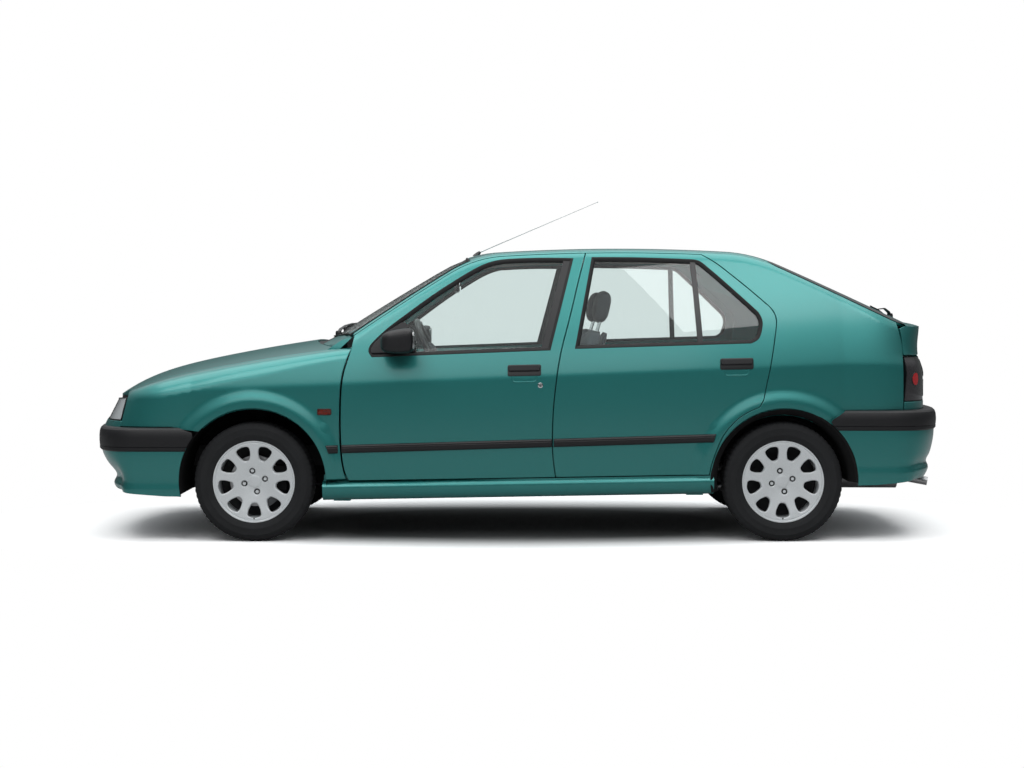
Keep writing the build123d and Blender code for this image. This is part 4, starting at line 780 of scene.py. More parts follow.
# ----------------------------------------------------------------------------------------------
# Shapes that aren't patches of the skin
# ----------------------------------------------------------------------------------------------
def lathe(profile: Sequence[Point2], count: int = 48, closed: bool = True) -> MeshData:
    """Turn a profile of (radius, y) points about the Y axis.

    Args:
        profile: The points, in order.
        count: The number of steps round.
        closed: Whether the profile's last point joins its first.

    Returns:
        The mesh, centred on the origin.
    """
    data = MeshData()
    verts = []
    for k in range(count):
        a = 2 * math.pi * k / count
        verts += [(r * math.sin(a), y, r * math.cos(a)) for r, y in profile]
    data.add(verts, grid_faces(count, len(profile), closed, cyclic=True))
    return data


def ring_section(radius_u: float, radius_v: float, count: int = 12) -> list[Point2]:
    """Return the points of an oval section."""
    turns = [2 * math.pi * k / count for k in range(count)]
    return [(radius_u * math.cos(a), radius_v * math.sin(a)) for a in turns]


def rounded_rectangle(width: float, height: float, radius: float, steps: int = 4) -> list[Point2]:
    """Return the points of a rectangle about the origin with rounded corners."""
    radius = min(radius, width / 2 - 0.01, height / 2 - 0.01)
    points = []
    for k, (su, sv) in enumerate(((1, 1), (-1, 1), (-1, -1), (1, -1))):
        for a in spread(k * math.pi / 2, (k + 1) * math.pi / 2, steps + 1):
            u = su * (width / 2 - radius) + radius * math.cos(a)
            points.append((u, sv * (height / 2 - radius) + radius * math.sin(a)))
    return points


def sweep(
    path: Sequence[Sequence[float]],
    section: Sequence[Point2],
    up: Sequence[float] = (0, 0, 1),
    scales: Sequence[float] | None = None,
    cyclic: bool = False,
) -> MeshData:
    """Carry a closed section along a path.

    Args:
        path: The points of the path.
        section: The section's points, across the path and along up.
        up: The direction that the section's second axis keeps to.
        scales: The section's size at each point of the path.
        cyclic: Whether the path closes on itself.

    Returns:
        The mesh, with flat caps at the ends of an open path.
    """
    points = np.array(path, float)
    count, rows = len(points), []
    for k, p in enumerate(points):
        before = points[(k - 1) % count] if cyclic or k else p
        after = points[(k + 1) % count] if cyclic or k < count - 1 else p
        along = after - before
        along /= max(1e-9, float(np.linalg.norm(along)))
        side = np.cross(along, np.array(up, float))
        side /= max(1e-9, float(np.linalg.norm(side)))
        lift = np.cross(side, along)
        size = scales[k] if scales else 1.0
        rows += [p + size * (u * side + v * lift) for u, v in section]
    data = MeshData()
    around = len(section)
    faces = grid_faces(count, around, closed=True, cyclic=cyclic)
    if not cyclic:
        faces.append(tuple(range(around))[::-1])
        faces.append(tuple((count - 1) * around + k for k in range(around)))
    data.add(rows, [f[::-1] for f in faces])
    return data


def slab_between(low: float, high: float, outline: Sequence[Point2], axis: str = "y") -> MeshData:
    """Extrude a closed outline between two positions on an axis.

    Args:
        low: The first position.
        high: The second position.
        outline: The outline: (x, z) for axis y, (y, z) for axis x, or (x, y) for axis z.
        axis: The axis to extrude along.

    Returns:
        The closed mesh.
    """
    place = {
        "x": lambda u, v, w: (w, u, v),
        "y": lambda u, v, w: (u, w, v),
        "z": lambda u, v, w: (u, v, w),
    }[axis]
    count = len(outline)
    verts = [place(u, v, low) for u, v in outline] + [place(u, v, high) for u, v in outline]
    faces = [(k, (k + 1) % count, count + (k + 1) % count, count + k) for k in range(count)]
    faces += [tuple(range(count))[::-1], tuple(range(count, 2 * count))]
    area = sum(
        outline[k][0] * outline[(k + 1) % count][1] - outline[(k + 1) % count][0] * outline[k][1]
        for k in range(count)
    )
    if (area > 0) == (axis == "y"):
        faces = [f[::-1] for f in faces]
    data = MeshData()
    data.add(verts, faces)
    return data


def cushion_block(
    size: Point3, steps: tuple[int, int, int], power: float = 5.0, crown: float = 0.0
) -> MeshData:
    """Build a box with well-rounded edges, as a stretched superellipsoid grid.

    Args:
        size: The full sizes along X, Y and Z.
        steps: The number of faces along each edge.
        power: How square the shape is.
        crown: How far the middle of the top stands above its edges.

    Returns:
        The mesh, centred on the origin.
    """
    data = MeshData()
    nx, ny, nz = steps
    half = [s / 2 for s in size]
    seen: dict[tuple[int, int, int], int] = {}

    def vertex(i: int, j: int, k: int) -> int:
        """Return the index of one grid corner, made when it's first asked for."""
        if (i, j, k) not in seen:
            p = [2 * i / nx - 1, 2 * j / ny - 1, 2 * k / nz - 1]
            p = [math.sin(0.5 * math.pi * t) * 0.35 + 0.65 * t for t in p]
            norm = sum(abs(t) ** power for t in p) ** (1 / power)
            top = max(abs(t) for t in p)
            x, y, z = (t / max(1e-9, norm) * top * h for t, h in zip(p, half))
            if z > 0:
                z += crown * (1 - p[0] ** 2) * (1 - p[1] ** 2)
            seen[(i, j, k)] = data.add([(x, y, z)], [])
        return seen[(i, j, k)]

    for i in range(nx):
        for j in range(ny):
            for k, flip in ((0, True), (nz, False)):
                f = (vertex(i, j, k), vertex(i + 1, j, k), vertex(i + 1, j + 1, k))
                f += (vertex(i, j + 1, k),)
                data.faces.append(f[::-1] if flip else f)
    for i in range(nx):
        for k in range(nz):
            for j, flip in ((0, False), (ny, True)):
                f = (vertex(i, j, k), vertex(i + 1, j, k), vertex(i + 1, j, k + 1))
                f += (vertex(i, j, k + 1),)
                data.faces.append(f[::-1] if flip else f)
    for j in range(ny):
        for k in range(nz):
            for i, flip in ((0, True), (nx, False)):
                f = (vertex(i, j, k), vertex(i, j + 1, k), vertex(i, j + 1, k + 1))
                f += (vertex(i, j, k + 1),)
                data.faces.append(f[::-1] if flip else f)
    return data


def about(axis: str, degrees: float) -> Matrix:
    """Return the rotation about one axis by an angle in degrees."""
    return Matrix.Rotation(math.radians(degrees), 4, axis)


def lookup(points: Iterable[Point2]) -> Callable[[float], float]:
    """Return the function that reads a curve, given as points, between them."""
    places, values = zip(*sorted(points))
    return lambda at: float(np.interp(at, places, values))


def turned(data: MeshData, matrix: Matrix, centre: Sequence[float] = (0, 0, 0)) -> MeshData:
    """Return a mesh turned by a matrix and then moved to a centre."""
    turn = np.array(matrix.to_3x3())
    return data.moved(lambda p: p @ turn.T + np.array(centre))


# ----------------------------------------------------------------------------------------------
# Finishes
# ----------------------------------------------------------------------------------------------
def linear(value: float) -> float:
    """Turn one channel of a screen colour, of 0 to 255, into linear light."""
    v = value / 255
    return v / 12.92 if v <= 0.04045 else ((v + 0.055) / 1.055) ** 2.4


def srgb(red: float, green: float, blue: float) -> Point3:
    """Turn a screen colour of 0 to 255 into linear light."""
    return linear(red), linear(green), linear(blue)


class Graph:
    """A material's node tree, built a node at a time."""

    def __init__(self, name: str) -> None:
        """Start an empty material with its output."""
        self.material = bpy.data.materials.new(name)
        self.material.use_nodes = True
        self.tree = self.material.node_tree
        self.tree.nodes.clear()
        self.output = self.tree.nodes.new("ShaderNodeOutputMaterial")

    def node(self, kind: str, settings: dict | None = None, **inputs) -> bpy.types.Node:
        """Add a node.

        Args:
            kind: The node's type, without its leading ShaderNode.
            settings: Its properties.
            **inputs: Its inputs by name, with an underscore for a space: a value, or a socket.

        Returns:
            The node.
        """
        node = self.tree.nodes.new("ShaderNode" + kind)
        for key, value in (settings or {}).items():
            setattr(node, key, value)
        for key, value in inputs.items():
            name = key.replace("_", " ")
            if name.isdigit():
                socket = node.inputs[int(name)]
            else:
                socket = node.inputs[name]
            if isinstance(value, bpy.types.NodeSocket):
                self.tree.links.new(value, socket)
            elif socket.type == "RGBA" and len(value) == 3:
                socket.default_value = (*value, 1.0)
            else:
                socket.default_value = value
        return node

    def place(self) -> bpy.types.NodeSocket:
        """Return the object's own coordinates, in metres."""
        return self.node("TexCoord").outputs["Object"]

    def noise(self, scale: float, detail: float = 2.0, rough: float = 0.5) -> bpy.types.NodeSocket:
        """Return noise over the object's own coordinates."""
        node = self.node("TexNoise", Vector=self.place(), Scale=scale, Detail=detail, Roughness=rough)
        return node.outputs["Fac"]

    def ramp(
        self, value: bpy.types.NodeSocket, low: float, high: float, a: Point3, b: Point3
    ) -> bpy.types.NodeSocket:
        """Return a colour that goes from a to b as value goes from low to high."""
        node = self.node("ValToRGB", Fac=value)
        first, last = node.color_ramp.elements
        first.position, last.position = low, high
        first.color, last.color = (*a, 1.0), (*b, 1.0)
        return node.outputs["Color"]

    def between(
        self, value: bpy.types.NodeSocket, low: float, high: float
    ) -> bpy.types.NodeSocket:
        """Return value stretched from 0 to 1 onto low to high."""
        return self.node("MapRange", Value=value, To_Min=low, To_Max=high).outputs["Result"]

    def finish(self, shader: bpy.types.Node) -> bpy.types.Material:
        """Connect the shader to the output and return the material."""
        self.tree.links.new(shader.outputs[0], self.output.inputs["Surface"])
        return self.material


@dataclass(frozen=True)
class Finish:
    """An opaque finish with mottled colour and fine relief."""

    name: str
    colour: Point3
    roughness: float = 0.5
    metallic: float = 0.0
    specular: float = 0.5
    coat: float = 0.0
    coat_roughness: float = 0.03
    sheen: float = 0.0
    mottle: float = 0.1
    mottle_scale: float = 9.0
    uneven: float = 0.04
    grain_scale: float = 900.0
    grain_height: float = 0.0002
    grain_strength: float = 0.35

    def build(self) -> bpy.types.Material:
        """Build the finish as a material."""
        g = Graph(self.name)
        return g.finish(self.shader(g, self.relief(g)))

    def relief(self, g: Graph) -> bpy.types.NodeSocket:
        """Return the normal of the fine relief."""
        noise = g.noise(self.grain_scale, 3.0, 0.6)
        bump = g.node("Bump", Strength=self.grain_strength, Distance=self.grain_height, Height=noise)
        return bump.outputs["Normal"]

    def tone(self, g: Graph) -> bpy.types.NodeSocket:
        """Return the mottled colour."""
        dark = tuple(max(0.0, c * (1 - self.mottle)) for c in self.colour)
        pale = tuple(min(1.0, c * (1 + self.mottle)) for c in self.colour)
        return g.ramp(g.noise(self.mottle_scale, 4.0, 0.55), 0.3, 0.7, dark, pale)

    def shader(self, g: Graph, normal: bpy.types.NodeSocket) -> bpy.types.Node:
        """Return the shader, with this relief and colour."""
        rough = g.between(
            g.noise(self.mottle_scale * 3, 3.0),
            max(0.0, self.roughness - self.uneven),
            min(1.0, self.roughness + self.uneven),
        )
        node = g.node("BsdfPrincipled", Base_Color=self.tone(g), Roughness=rough, Normal=normal)
        for key, value in (
            ("Metallic", self.metallic),
            ("Specular IOR Level", self.specular),
            ("Coat Weight", self.coat),
            ("Coat Roughness", self.coat_roughness),
            ("Sheen Weight", self.sheen),
        ):
            node.inputs[key].default_value = value
        return node


@dataclass(frozen=True)
class MetallicPaint(Finish):
    """Body colour with metal flake under a clear coat."""

    flake_scale: float = 1900.0
    flake_spread: float = 0.12
    peel_scale: float = 85.0
    peel_height: float = 0.00002

    def relief(self, g: Graph) -> bpy.types.NodeSocket:
        """Return the clear coat's very slight orange peel."""
        noise = g.noise(self.peel_scale, 1.0, 0.4)
        bump = g.node("Bump", Strength=0.25, Distance=self.peel_height, Height=noise)
        return bump.outputs["Normal"]

    def tone(self, g: Graph) -> bpy.types.NodeSocket:
        """Return the colour, with flakes a little lighter and darker."""
        dark = tuple(c * (1 - self.flake_spread) for c in self.colour)
        pale = tuple(min(1.0, c * (1 + self.flake_spread)) for c in self.colour)
        node = g.node("TexVoronoi", Vector=g.place(), Scale=self.flake_scale)
        grey = g.node("SeparateColor", Color=node.outputs["Color"]).outputs["Red"]
        return g.ramp(grey, 0.1, 0.9, dark, pale)


@dataclass(frozen=True)
class Weave(Finish):
    """Woven cloth: two crossing sets of threads."""

    thread: float = 0.0011
    fleck: float = 0.35

    def relief(self, g: Graph) -> bpy.types.NodeSocket:
        """Return the relief of the crossing threads."""
        bands = []
        for direction in ("X", "Z", "Y"):
            wave = g.node(
                "TexWave",
                {"wave_type": "BANDS", "bands_direction": direction},
                Vector=g.place(),
                Scale=0.32 / self.thread,
                Distortion=0.6,
                Detail=1.0,
            )
            bands.append(wave.outputs["Fac"])
        first = g.node("Math", {"operation": "MAXIMUM"}, **{"0": bands[0], "1": bands[1]})
        both = g.node("Math", {"operation": "MAXIMUM"}, **{"0": first.outputs[0], "1": bands[2]})
        bump = g.node("Bump", Strength=0.6, Distance=self.thread / 3, Height=both.outputs[0])
        return bump.outputs["Normal"]

    def tone(self, g: Graph) -> bpy.types.NodeSocket:
        """Return the colour, flecked thread by thread."""
        dark = tuple(c * (1 - self.fleck) for c in self.colour)
        pale = tuple(min(1.0, c * (1 + self.fleck)) for c in self.colour)
        return g.ramp(g.noise(0.5 / self.thread, 3.0, 0.7), 0.35, 0.65, dark, pale)


@dataclass(frozen=True)
class ClearGlass:
    """Glass or clear plastic, which lets light through to what's behind it."""

    name: str
    tint: Point3
    shade: Point3
    roughness: float = 0.0
    flute: float = 0.0
    flute_axis: str = "Y"
    ior: float = 1.45

    def build(self) -> bpy.types.Material:
        """Build the glass as a material."""
        g = Graph(self.name)
        node = g.node("BsdfPrincipled", Base_Color=self.tint, Roughness=self.roughness)
        node.inputs["Transmission Weight"].default_value = 1.0
        node.inputs["IOR"].default_value = self.ior
        if self.flute:
            wave = g.node(
                "TexWave",
                {"wave_type": "BANDS", "bands_direction": self.flute_axis, "wave_profile": "SIN"},
                Vector=g.place(),
                Scale=0.32 / self.flute,
            )
            bump = g.node("Bump", Strength=0.5, Distance=self.flute / 6, Height=wave.outputs["Fac"])
            g.tree.links.new(bump.outputs["Normal"], node.inputs["Normal"])
        clear = g.node("BsdfTransparent", Color=self.shade)
        ray = g.node("LightPath").outputs["Is Shadow Ray"]
        mix = g.node("MixShader", **{"0": ray, "1": node.outputs[0], "2": clear.outputs[0]})
        return g.finish(mix)


TEAL = srgb(40, 129, 126)


class Look(Enum):
    """Every finish on the car."""

    PAINT = MetallicPaint(
        "teal_metallic_paint", TEAL, 0.40, 0.70, coat=0.8, coat_roughness=0.16, uneven=0.01
    )
    CHASSIS = Finish("underbody_coating", srgb(34, 35, 37), 0.7, mottle=0.3, grain_height=0.0008)
    LINER = Finish("arch_liner", srgb(20, 20, 21), 0.85, specular=0.2, mottle=0.15)
    ENGINE = Finish("cast_alloy", srgb(96, 98, 100), 0.55, 0.6, mottle=0.25, grain_scale=260.0)
    PLASTIC = Finish("grained_black_plastic", srgb(24, 24, 27), 0.46, specular=0.4, mottle=0.06)
    TRIM = Finish("smooth_black_trim", srgb(30, 31, 33), 0.3, mottle=0.05, grain_height=0.0001)
    RUBBER = Finish("seal_rubber", srgb(24, 25, 26), 0.62, specular=0.35, grain_scale=600.0)
    FRIT = Finish("black_glass_band", srgb(14, 15, 16), 0.12, coat=0.6, mottle=0.04)
    GLASS = ClearGlass("green_tinted_glass", (0.80, 0.87, 0.86), (0.84, 0.9, 0.88))
    LENS = ClearGlass("clear_lens", (0.97, 0.98, 0.98), (0.96, 0.97, 0.98), 0.1)
    INDICATOR = Finish(
        "pale_indicator_lens", srgb(206, 211, 213), 0.12, coat=1.0, mottle=0.03, grain_height=0.00005
    )
    SMOKED = Finish("smoked_lens", srgb(56, 54, 57), 0.14, coat=1.0, mottle=0.04, grain_height=0.00005)
    RED = Finish("red_lens", srgb(196, 34, 40), 0.2, coat=1.0, mottle=0.05, grain_height=0.0001)
    AMBER = ClearGlass("amber_lens", srgb(245, 92, 28), (0.9, 0.3, 0.05), 0.04, 0.006, "Z")
    BOWL = Finish("satin_reflector", (0.82, 0.84, 0.85), 0.3, 0.25, coat=0.5, mottle=0.03)
    LAMP_BODY = Finish("grey_lamp_housing", srgb(120, 122, 124), 0.35, mottle=0.08)
    CHROME = Finish("bright_metal", (0.74, 0.75, 0.76), 0.16, 1.0, grain_height=0.00005)
    STEEL = Finish("brushed_steel", (0.42, 0.42, 0.43), 0.36, 1.0, mottle=0.2, grain_scale=300.0)
    TYRE = Finish("tyre_rubber", srgb(31, 32, 34), 0.72, specular=0.3, mottle=0.12)
    ALLOY = MetallicPaint(
        "silver_wheel_paint", srgb(222, 226, 228), 0.4, 0.2, coat=0.6, coat_roughness=0.08
    )
    CLOTH = Weave("seat_cloth", srgb(98, 102, 108), 0.9, sheen=0.25, specular=0.2)
    CLOTH_SIDE = Weave("plain_seat_cloth", srgb(66, 69, 74), 0.92, sheen=0.2, specular=0.2)
    CARPET = Weave("floor_carpet", srgb(52, 54, 57), 0.95, specular=0.1, thread=0.0024)
    DASH = Finish("soft_dash_plastic", srgb(62, 64, 68), 0.6, mottle=0.06, grain_scale=700.0)
    HEADLINING = Weave("pale_headlining", srgb(188, 190, 186), 0.95, specular=0.1, fleck=0.08)
    MIRROR = Finish("mirror_face", (0.8, 0.82, 0.83), 0.03, 1.0, mottle=0.01, grain_height=0.00002)
    PLATE = Finish("blank_plate", srgb(226, 226, 220), 0.35, mottle=0.02, grain_height=0.0001)
    DIAL = Finish("dial_face", srgb(20, 21, 23), 0.4, mottle=0.04)
    NEEDLE = Finish("dial_needle", srgb(230, 92, 40), 0.4, mottle=0.04)


# ----------------------------------------------------------------------------------------------
# The workshop: where meshes become pieces of the car
# ----------------------------------------------------------------------------------------------
class Workshop:
    """Makes objects from meshes, gives them a finish and puts them on a body of the car."""

    def __init__(self, frame: dict) -> None:
        """Take the loaded frame."""
        self.frame = frame
        self.built: dict[Look, bpy.types.Material] = {}
        self.count = 0

    def material(self, look: Look) -> bpy.types.Material:
        """Return a finish's material, built when it's first used."""
        if look not in self.built:
            self.built[look] = look.value.build()
        return self.built[look]

    def piece(
        self,
        name: str,
        data: MeshData,
        look: Look,
        body: str,
        crease: float = 32.0,
        slot: str | None = None,
        replaces: Sequence[str] = (),
        bevel: float = 0.0,
    ) -> bpy.types.Object:
        """Make one piece of the car.

        Args:
            name: The piece's name.
            data: Its mesh, in millimetres.
            look: Its finish.
            body: The body that it rides on.
            crease: The angle in degrees above which an edge stays sharp.
            slot: Not used.
            replaces: The construction nodes that it stands for.
            bevel: The width of the bevel on its sharp edges, in millimetres.

        Returns:
            The new object.
        """
        mesh = bpy.data.meshes.new(name)
        places = np.array(data.verts, float) * MM
        mesh.from_pydata(places.tolist(), [], data.faces)
        mesh.polygons.foreach_set("use_smooth", [True] * len(mesh.polygons))
        if data.normals and len(data.normals) == len(data.verts):
            mesh.normals_split_custom_set_from_vertices(data.normals)
        else:
            mesh.set_sharp_from_angle(angle=math.radians(crease))
        mesh.materials.append(self.material(look))
        thing = bpy.data.objects.new(name, mesh)
        bpy.context.scene.collection.objects.link(thing)
        if bevel > 0:
            cut = thing.modifiers.new("edges", "BEVEL")
            cut.width, cut.segments = bevel * MM, 3
            cut.limit_method, cut.angle_limit = "ANGLE", math.radians(crease)
            cut.harden_normals = True
        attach(thing, body)
        if replaces:
            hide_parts(*replaces)
        self.count += 1
        return thing

    def pair(self, name: str, data: MeshData, look: Look, bodies: Sequence[str], **more) -> list:
        """Make a left-hand piece and its mirror image.

        Args:
            name: The name, in which SIDE stands for left or right.
            data: The left-hand mesh.
            look: Its finish.
            bodies: The bodies of the left and the right piece.
            **more: What else piece takes. SIDE in node names is filled in, and a node name
                without it goes to the left-hand piece.

        Returns:
            The two objects.
        """
        made = []
        for side, body, mesh in zip(Side, bodies, (data, data.mirrored())):
            extra = dict(more)
            if "replaces" in extra:
                names = [n for n in extra["replaces"] if "SIDE" in n or side is Side.LEFT]
                extra["replaces"] = [n.replace("SIDE", side.word) for n in names]
            made.append(self.piece(name.replace("SIDE", side.word), mesh, look, body, **extra))
        return made

    def dress(self, look: Look, *nodes: str) -> None:
        """Give construction nodes a finish."""
        for name in nodes:
            node = self.frame["nodes"][name]
            node.data.materials.clear()
            node.data.materials.append(self.material(look))


BODY = ("body", "body")
FRONT_DOORS = ("front_left_door_leaf", "front_right_door_leaf")
REAR_DOORS = ("rear_left_door_leaf", "rear_right_door_leaf")


# ----------------------------------------------------------------------------------------------
# Body panels
# ----------------------------------------------------------------------------------------------
@dataclass
class Lines:
    """The outlines that the body's panels share, in side view unless they say otherwise."""

    door_edge: float = 0.42
    door_front_x: float = 789.0
    door_split_x: float = -327.0
    door_rear_x: float = -889.0
    wing_inset: float = 94.0
    front_shut: list[Point2] = field(
        default_factory=lambda: [
            (812, 890), (834, 815), (846, 727), (850, 630), (850, 524), (844, 409), (834, 347),
            (813, 294),
        ]
    )
    door_line: list[Point2] = field(
        default_factory=lambda: [
            (-178, 310), (-164, 420), (-162, 525), (-165, 613), (-177, 744), (-204, 911),
            (-241, 1052), (-288, 1241),
        ]
    )

    def __post_init__(self) -> None:
        """Make the surfaces that the outlines are drawn on."""
        self.side = SideSurface(SKIN.cabin_z, lambda x: (42.0, 44.0))
        self.wing = SideSurface(SKIN.bonnet_z, lambda x: (self.wing_run(x), self.wing_run(x)))
        self.top = TopSurface(SKIN.cabin_z, True)
        self.bonnet = TopSurface(SKIN.bonnet_z, False)

    @staticmethod
    def wing_run(x: float) -> float:
        """Return the size of the wing crown's rounding."""
        rise = 24.0 * smooth_step((x - 850.0) / 450.0) + 8.0 * smooth_step((x - 1300.0) / 300.0)
        return 46.0 + rise - 40.0 * smooth_step((x - 1640.0) / 260.0)

    def wing_edge_y(self, x: float) -> float:
        """Return the half-width of the bonnet's side shut line."""
        s = (x - 900.0) / 1000.0
        return SKIN.half_width - self.wing_inset - 24.0 * s - 76.0 * max(0.0, s) ** 3

    @staticmethod
    def edge_share(x: float) -> float:
        """Return the share of the rounding where the side meets the windscreen or roof."""
        front = 0.70 + 0.16 * smooth_step((260.0 - x) / 110.0)
        return front - 0.34 * smooth_step((-1170.0 - x) / 90.0)

    def seam_y(self, x: float) -> float:
        """Return the half-width of the body side's upper edge."""
        return self.side.corner(x)[0].point(self.edge_share(x))[0]

    def along_edge(self, start: float, end: float, share: float | None, step: float = 14.0) -> list:
        """Return unrolled side points along the rounding; a share of None is the top seam."""
        return [
            self.side.at_share(x, self.edge_share(x) if share is None else share)
            for x in stations(start, end, step)
        ]

    def unrolled(self, points: Sequence[Point2], step: float = 14.0) -> list[Point2]:
        """Return a side-view curve as unrolled side points."""
        return [self.side.at_height(x, z) for x, z in curve_through(points, step)]

    def arch(self, axle_x: float, start: float, end: float, radius: float = 350.0) -> list[Point2]:
        """Return points round a wheel arch between two angles in degrees."""
        angles = [math.radians(a) for a in stations(start, end, 2.5)]
        return [(axle_x + radius * math.cos(a), SKIN.arch_z + radius * math.sin(a)) for a in angles]

    def front_door(self) -> Loop:
        """Return the front door's outline, unrolled."""
        x0, x1 = self.door_front_x, self.door_split_x
        top = self.side.corner(x0)[0].point(self.door_edge)[1]
        end = self.side.corner(x1)[0].point(self.door_edge)[1]
        points = self.unrolled([(x0, top)] + self.front_shut)
        points += self.unrolled([(813, 294), (-178, 310)], 22.0)
        points += self.unrolled(self.door_line + [(x1, end)])
        points += self.along_edge(x1, x0, self.door_edge)
        return Loop(points)

    def rear_door_rear(self) -> list[list[Point2]]:
        """Return the stretches of the rear door's rear edge, from the sill up."""
        top = self.side.corner(self.door_rear_x)[0].point(self.door_edge)[1]
        return [
            [(-913, 322), (-924, 377), (-944, 435), (-976, 509), (-1013, 558), (-1063, 604),
             (-1150, 648)],
            [(-1150, 648), (-1166, 676), (-1182, 739), (-1201, 828), (-1221, 935), (-1236, 1025)],
            [(-1236, 1025), (-1238, 1064), (-1225, 1104), (-1187, 1145)],
            [(-1187, 1145), (-1107, 1216), (-1026, 1284), (-945, 1347), (self.door_rear_x, top)],
        ]

    def rear_door(self) -> Loop:
        """Return the rear door's outline, unrolled."""
        end = self.side.corner(self.door_split_x)[0].point(self.door_edge)[1]
        points = self.unrolled(self.door_line + [(self.door_split_x, end)])[::-1]
        points += self.unrolled([(-178, 310), (-913, 322)], 22.0)
        for stretch in self.rear_door_rear():
            points += self.unrolled(stretch)
        points += self.along_edge(self.door_rear_x, self.door_split_x, self.door_edge)
        return Loop(points)

    def front_window(self) -> Loop:
        """Return the front door's window opening."""
        loop = Loop.of(
            [(700, 887), (-151, 920)],
            [(-151, 920), (-265, 1360)],
            [(-265, 1360), (-120, 1362), (20, 1358), (120, 1346), (197, 1316), (286, 1264),
             (375, 1207), (552, 1079), (640, 1010), (702, 950)],
            [(702, 950), (716, 915), (700, 887)],
        )
        return loop.mapped(self.side.at_height)

    def rear_window(self) -> Loop:
        """Return the rear door's window opening."""
        loop = Loop.of(
            [(-272, 927), (-1112, 953)],
            [(-1112, 953), (-1146, 972), (-1164, 1015), (-1168, 1060), (-1150, 1100)],
            [(-1150, 1100), (-1065, 1180), (-952, 1284), (-900, 1330)],
            [(-900, 1330), (-876, 1347), (-845, 1354)],
            [(-845, 1354), (-600, 1363), (-358, 1365)],
            [(-358, 1365), (-272, 927)],
        )
        return loop.mapped(self.side.at_height)

    def body_side(self) -> Loop:
        """Return the outline of the fixed side: roof rail, rear pillar and quarter panel."""
        door_top = self.along_edge(self.door_front_x, self.door_rear_x, self.door_edge)
        rear_edge: list[Point2] = []
        for stretch in reversed(self.rear_door_rear()):
            rear_edge += self.unrolled(stretch[::-1])
        arch = [self.side.at_height(x, z) for x, z in self.arch(SKIN.rear_axle_x, 5.2, 123.6)]
        base = self.unrolled([(-1486, 584), (-1562, 631)], 14.0)
        base += self.unrolled([(-1562, 631), (-1848, 634)], 18.0)
        tail = self.unrolled([(-1848, 634), (-1845, 895), (-1838, 972), (-1826, 1020)], 16.0)
        seam = self.along_edge(-1820, 792, None)
        return Loop(door_top + rear_edge + arch + base + tail + seam)

    def front_wing(self) -> Loop:
        """Return the front wing's outline, unrolled over its crown."""
        place = self.wing.at_height
        points = [place(x, z) for x, z in self.arch(SKIN.front_axle_x, 178.6, 42.6)]
        foot = [(1534, 530), (1598, 537), (1662, 551), (1918, 551), (1908, 584), (1884, 690)]
        for a, b in zip(foot, foot[1:]):
            points += [place(x, z) for x, z in curve_through([a, b], 14.0)]
        points += [self.wing.at_width(x, self.wing_edge_y(x)) for x in stations(1884, 862, 14.0)]
        points += [self.wing.at_width(862, y) for y in stations(self.wing_edge_y(862), 752, 7.0)]
        rear = [(795, 936), (818, 885), (840, 815), (852, 727), (856, 630), (856, 524), (850, 409),
                (840, 347), (828, 302)]
        points += [place(x, z) for x, z in curve_through(rear, 12.0)]
        points += [place(x, z) for x, z in curve_through([(828, 302), (920, 302)], 14.0)]
        return Loop(points)

    def roof(self) -> Loop:
        """Return the roof's outline in plan."""
        left = [(x, self.seam_y(x)) for x in stations(-1195, 236, 20.0)]
        front = curve_through([left[-1], (251, 300), (257, 0), (251, -300), (236, -left[-1][1])], 20.0)
        right = [(x, -y) for x, y in left[::-1]]
        rear = curve_through([right[-1], left[0]], 24.0)
        return Loop(left + front + right + rear)

    def bonnet_edge(self) -> Loop:
        """Return the bonnet's outline in plan."""
        left = [(x, self.wing_edge_y(x) - 5.0) for x in stations(868, 1886, 18.0)]
        edge, end = left[0][1], left[-1][1]
        rear = curve_through([(868, -edge), (970, -480), (1026, 0), (970, 480), (868, edge)], 20.0)
        ys = [end, 0.86 * end, 0.62 * end, 0.32 * end, 0.0]
        xs = [1886.0] + [self.nose_x(y) - 8.0 for y in ys[1:]]
        half = list(zip(xs, ys))
        front = curve_through(half + [(x, -y) for x, y in half[-2::-1]], 18.0)
        return Loop(rear + left + front + [(x, -y) for x, y in left[::-1]])

    @staticmethod
    def nose_x(y: float) -> float:
        """Return the nose's X at y, at the height of the bonnet's front edge."""
        z = 706.0
        full = SKIN.body_half_width(SKIN.nose_start_x) - SKIN.tumblehome(SKIN.nose_start_x, z)
        share = min(0.9999, abs(y) / full)
        return SKIN.nose_start_x + SKIN.end_reach(True, z) * (1 - share**4) ** 0.25

    def windscreen(self) -> Loop:
        """Return the windscreen's outline in plan."""
        left = [(x, self.seam_y(x) - 1.0) for x in stations(240, 806, 18.0)]
        edge, foot = left[0][1], left[-1][1]
        rear = curve_through([(240, -edge), (256, -300), (262, 0), (256, 300), (240, edge)], 20.0)
        front = curve_through([(806, foot), (905, 400), (945, 0), (905, -400), (806, -foot)], 20.0)
        return Loop(rear + left + front + [(x, -y) for x, y in left[::-1]])

    def tailgate_top(self) -> Loop:
        """Return the outline of the tailgate's sloping part in plan."""
        left = [(x, self.seam_y(x) - 3.5) for x in stations(-1934, -1200, 18.0)]
        front = curve_through([left[-1], (-1200, -left[-1][1])], 24.0)
        rear = curve_through([(-1934, -left[0][1]), left[0]], 24.0)
        return Loop(left + front + [(x, -y) for x, y in left[::-1]] + rear)

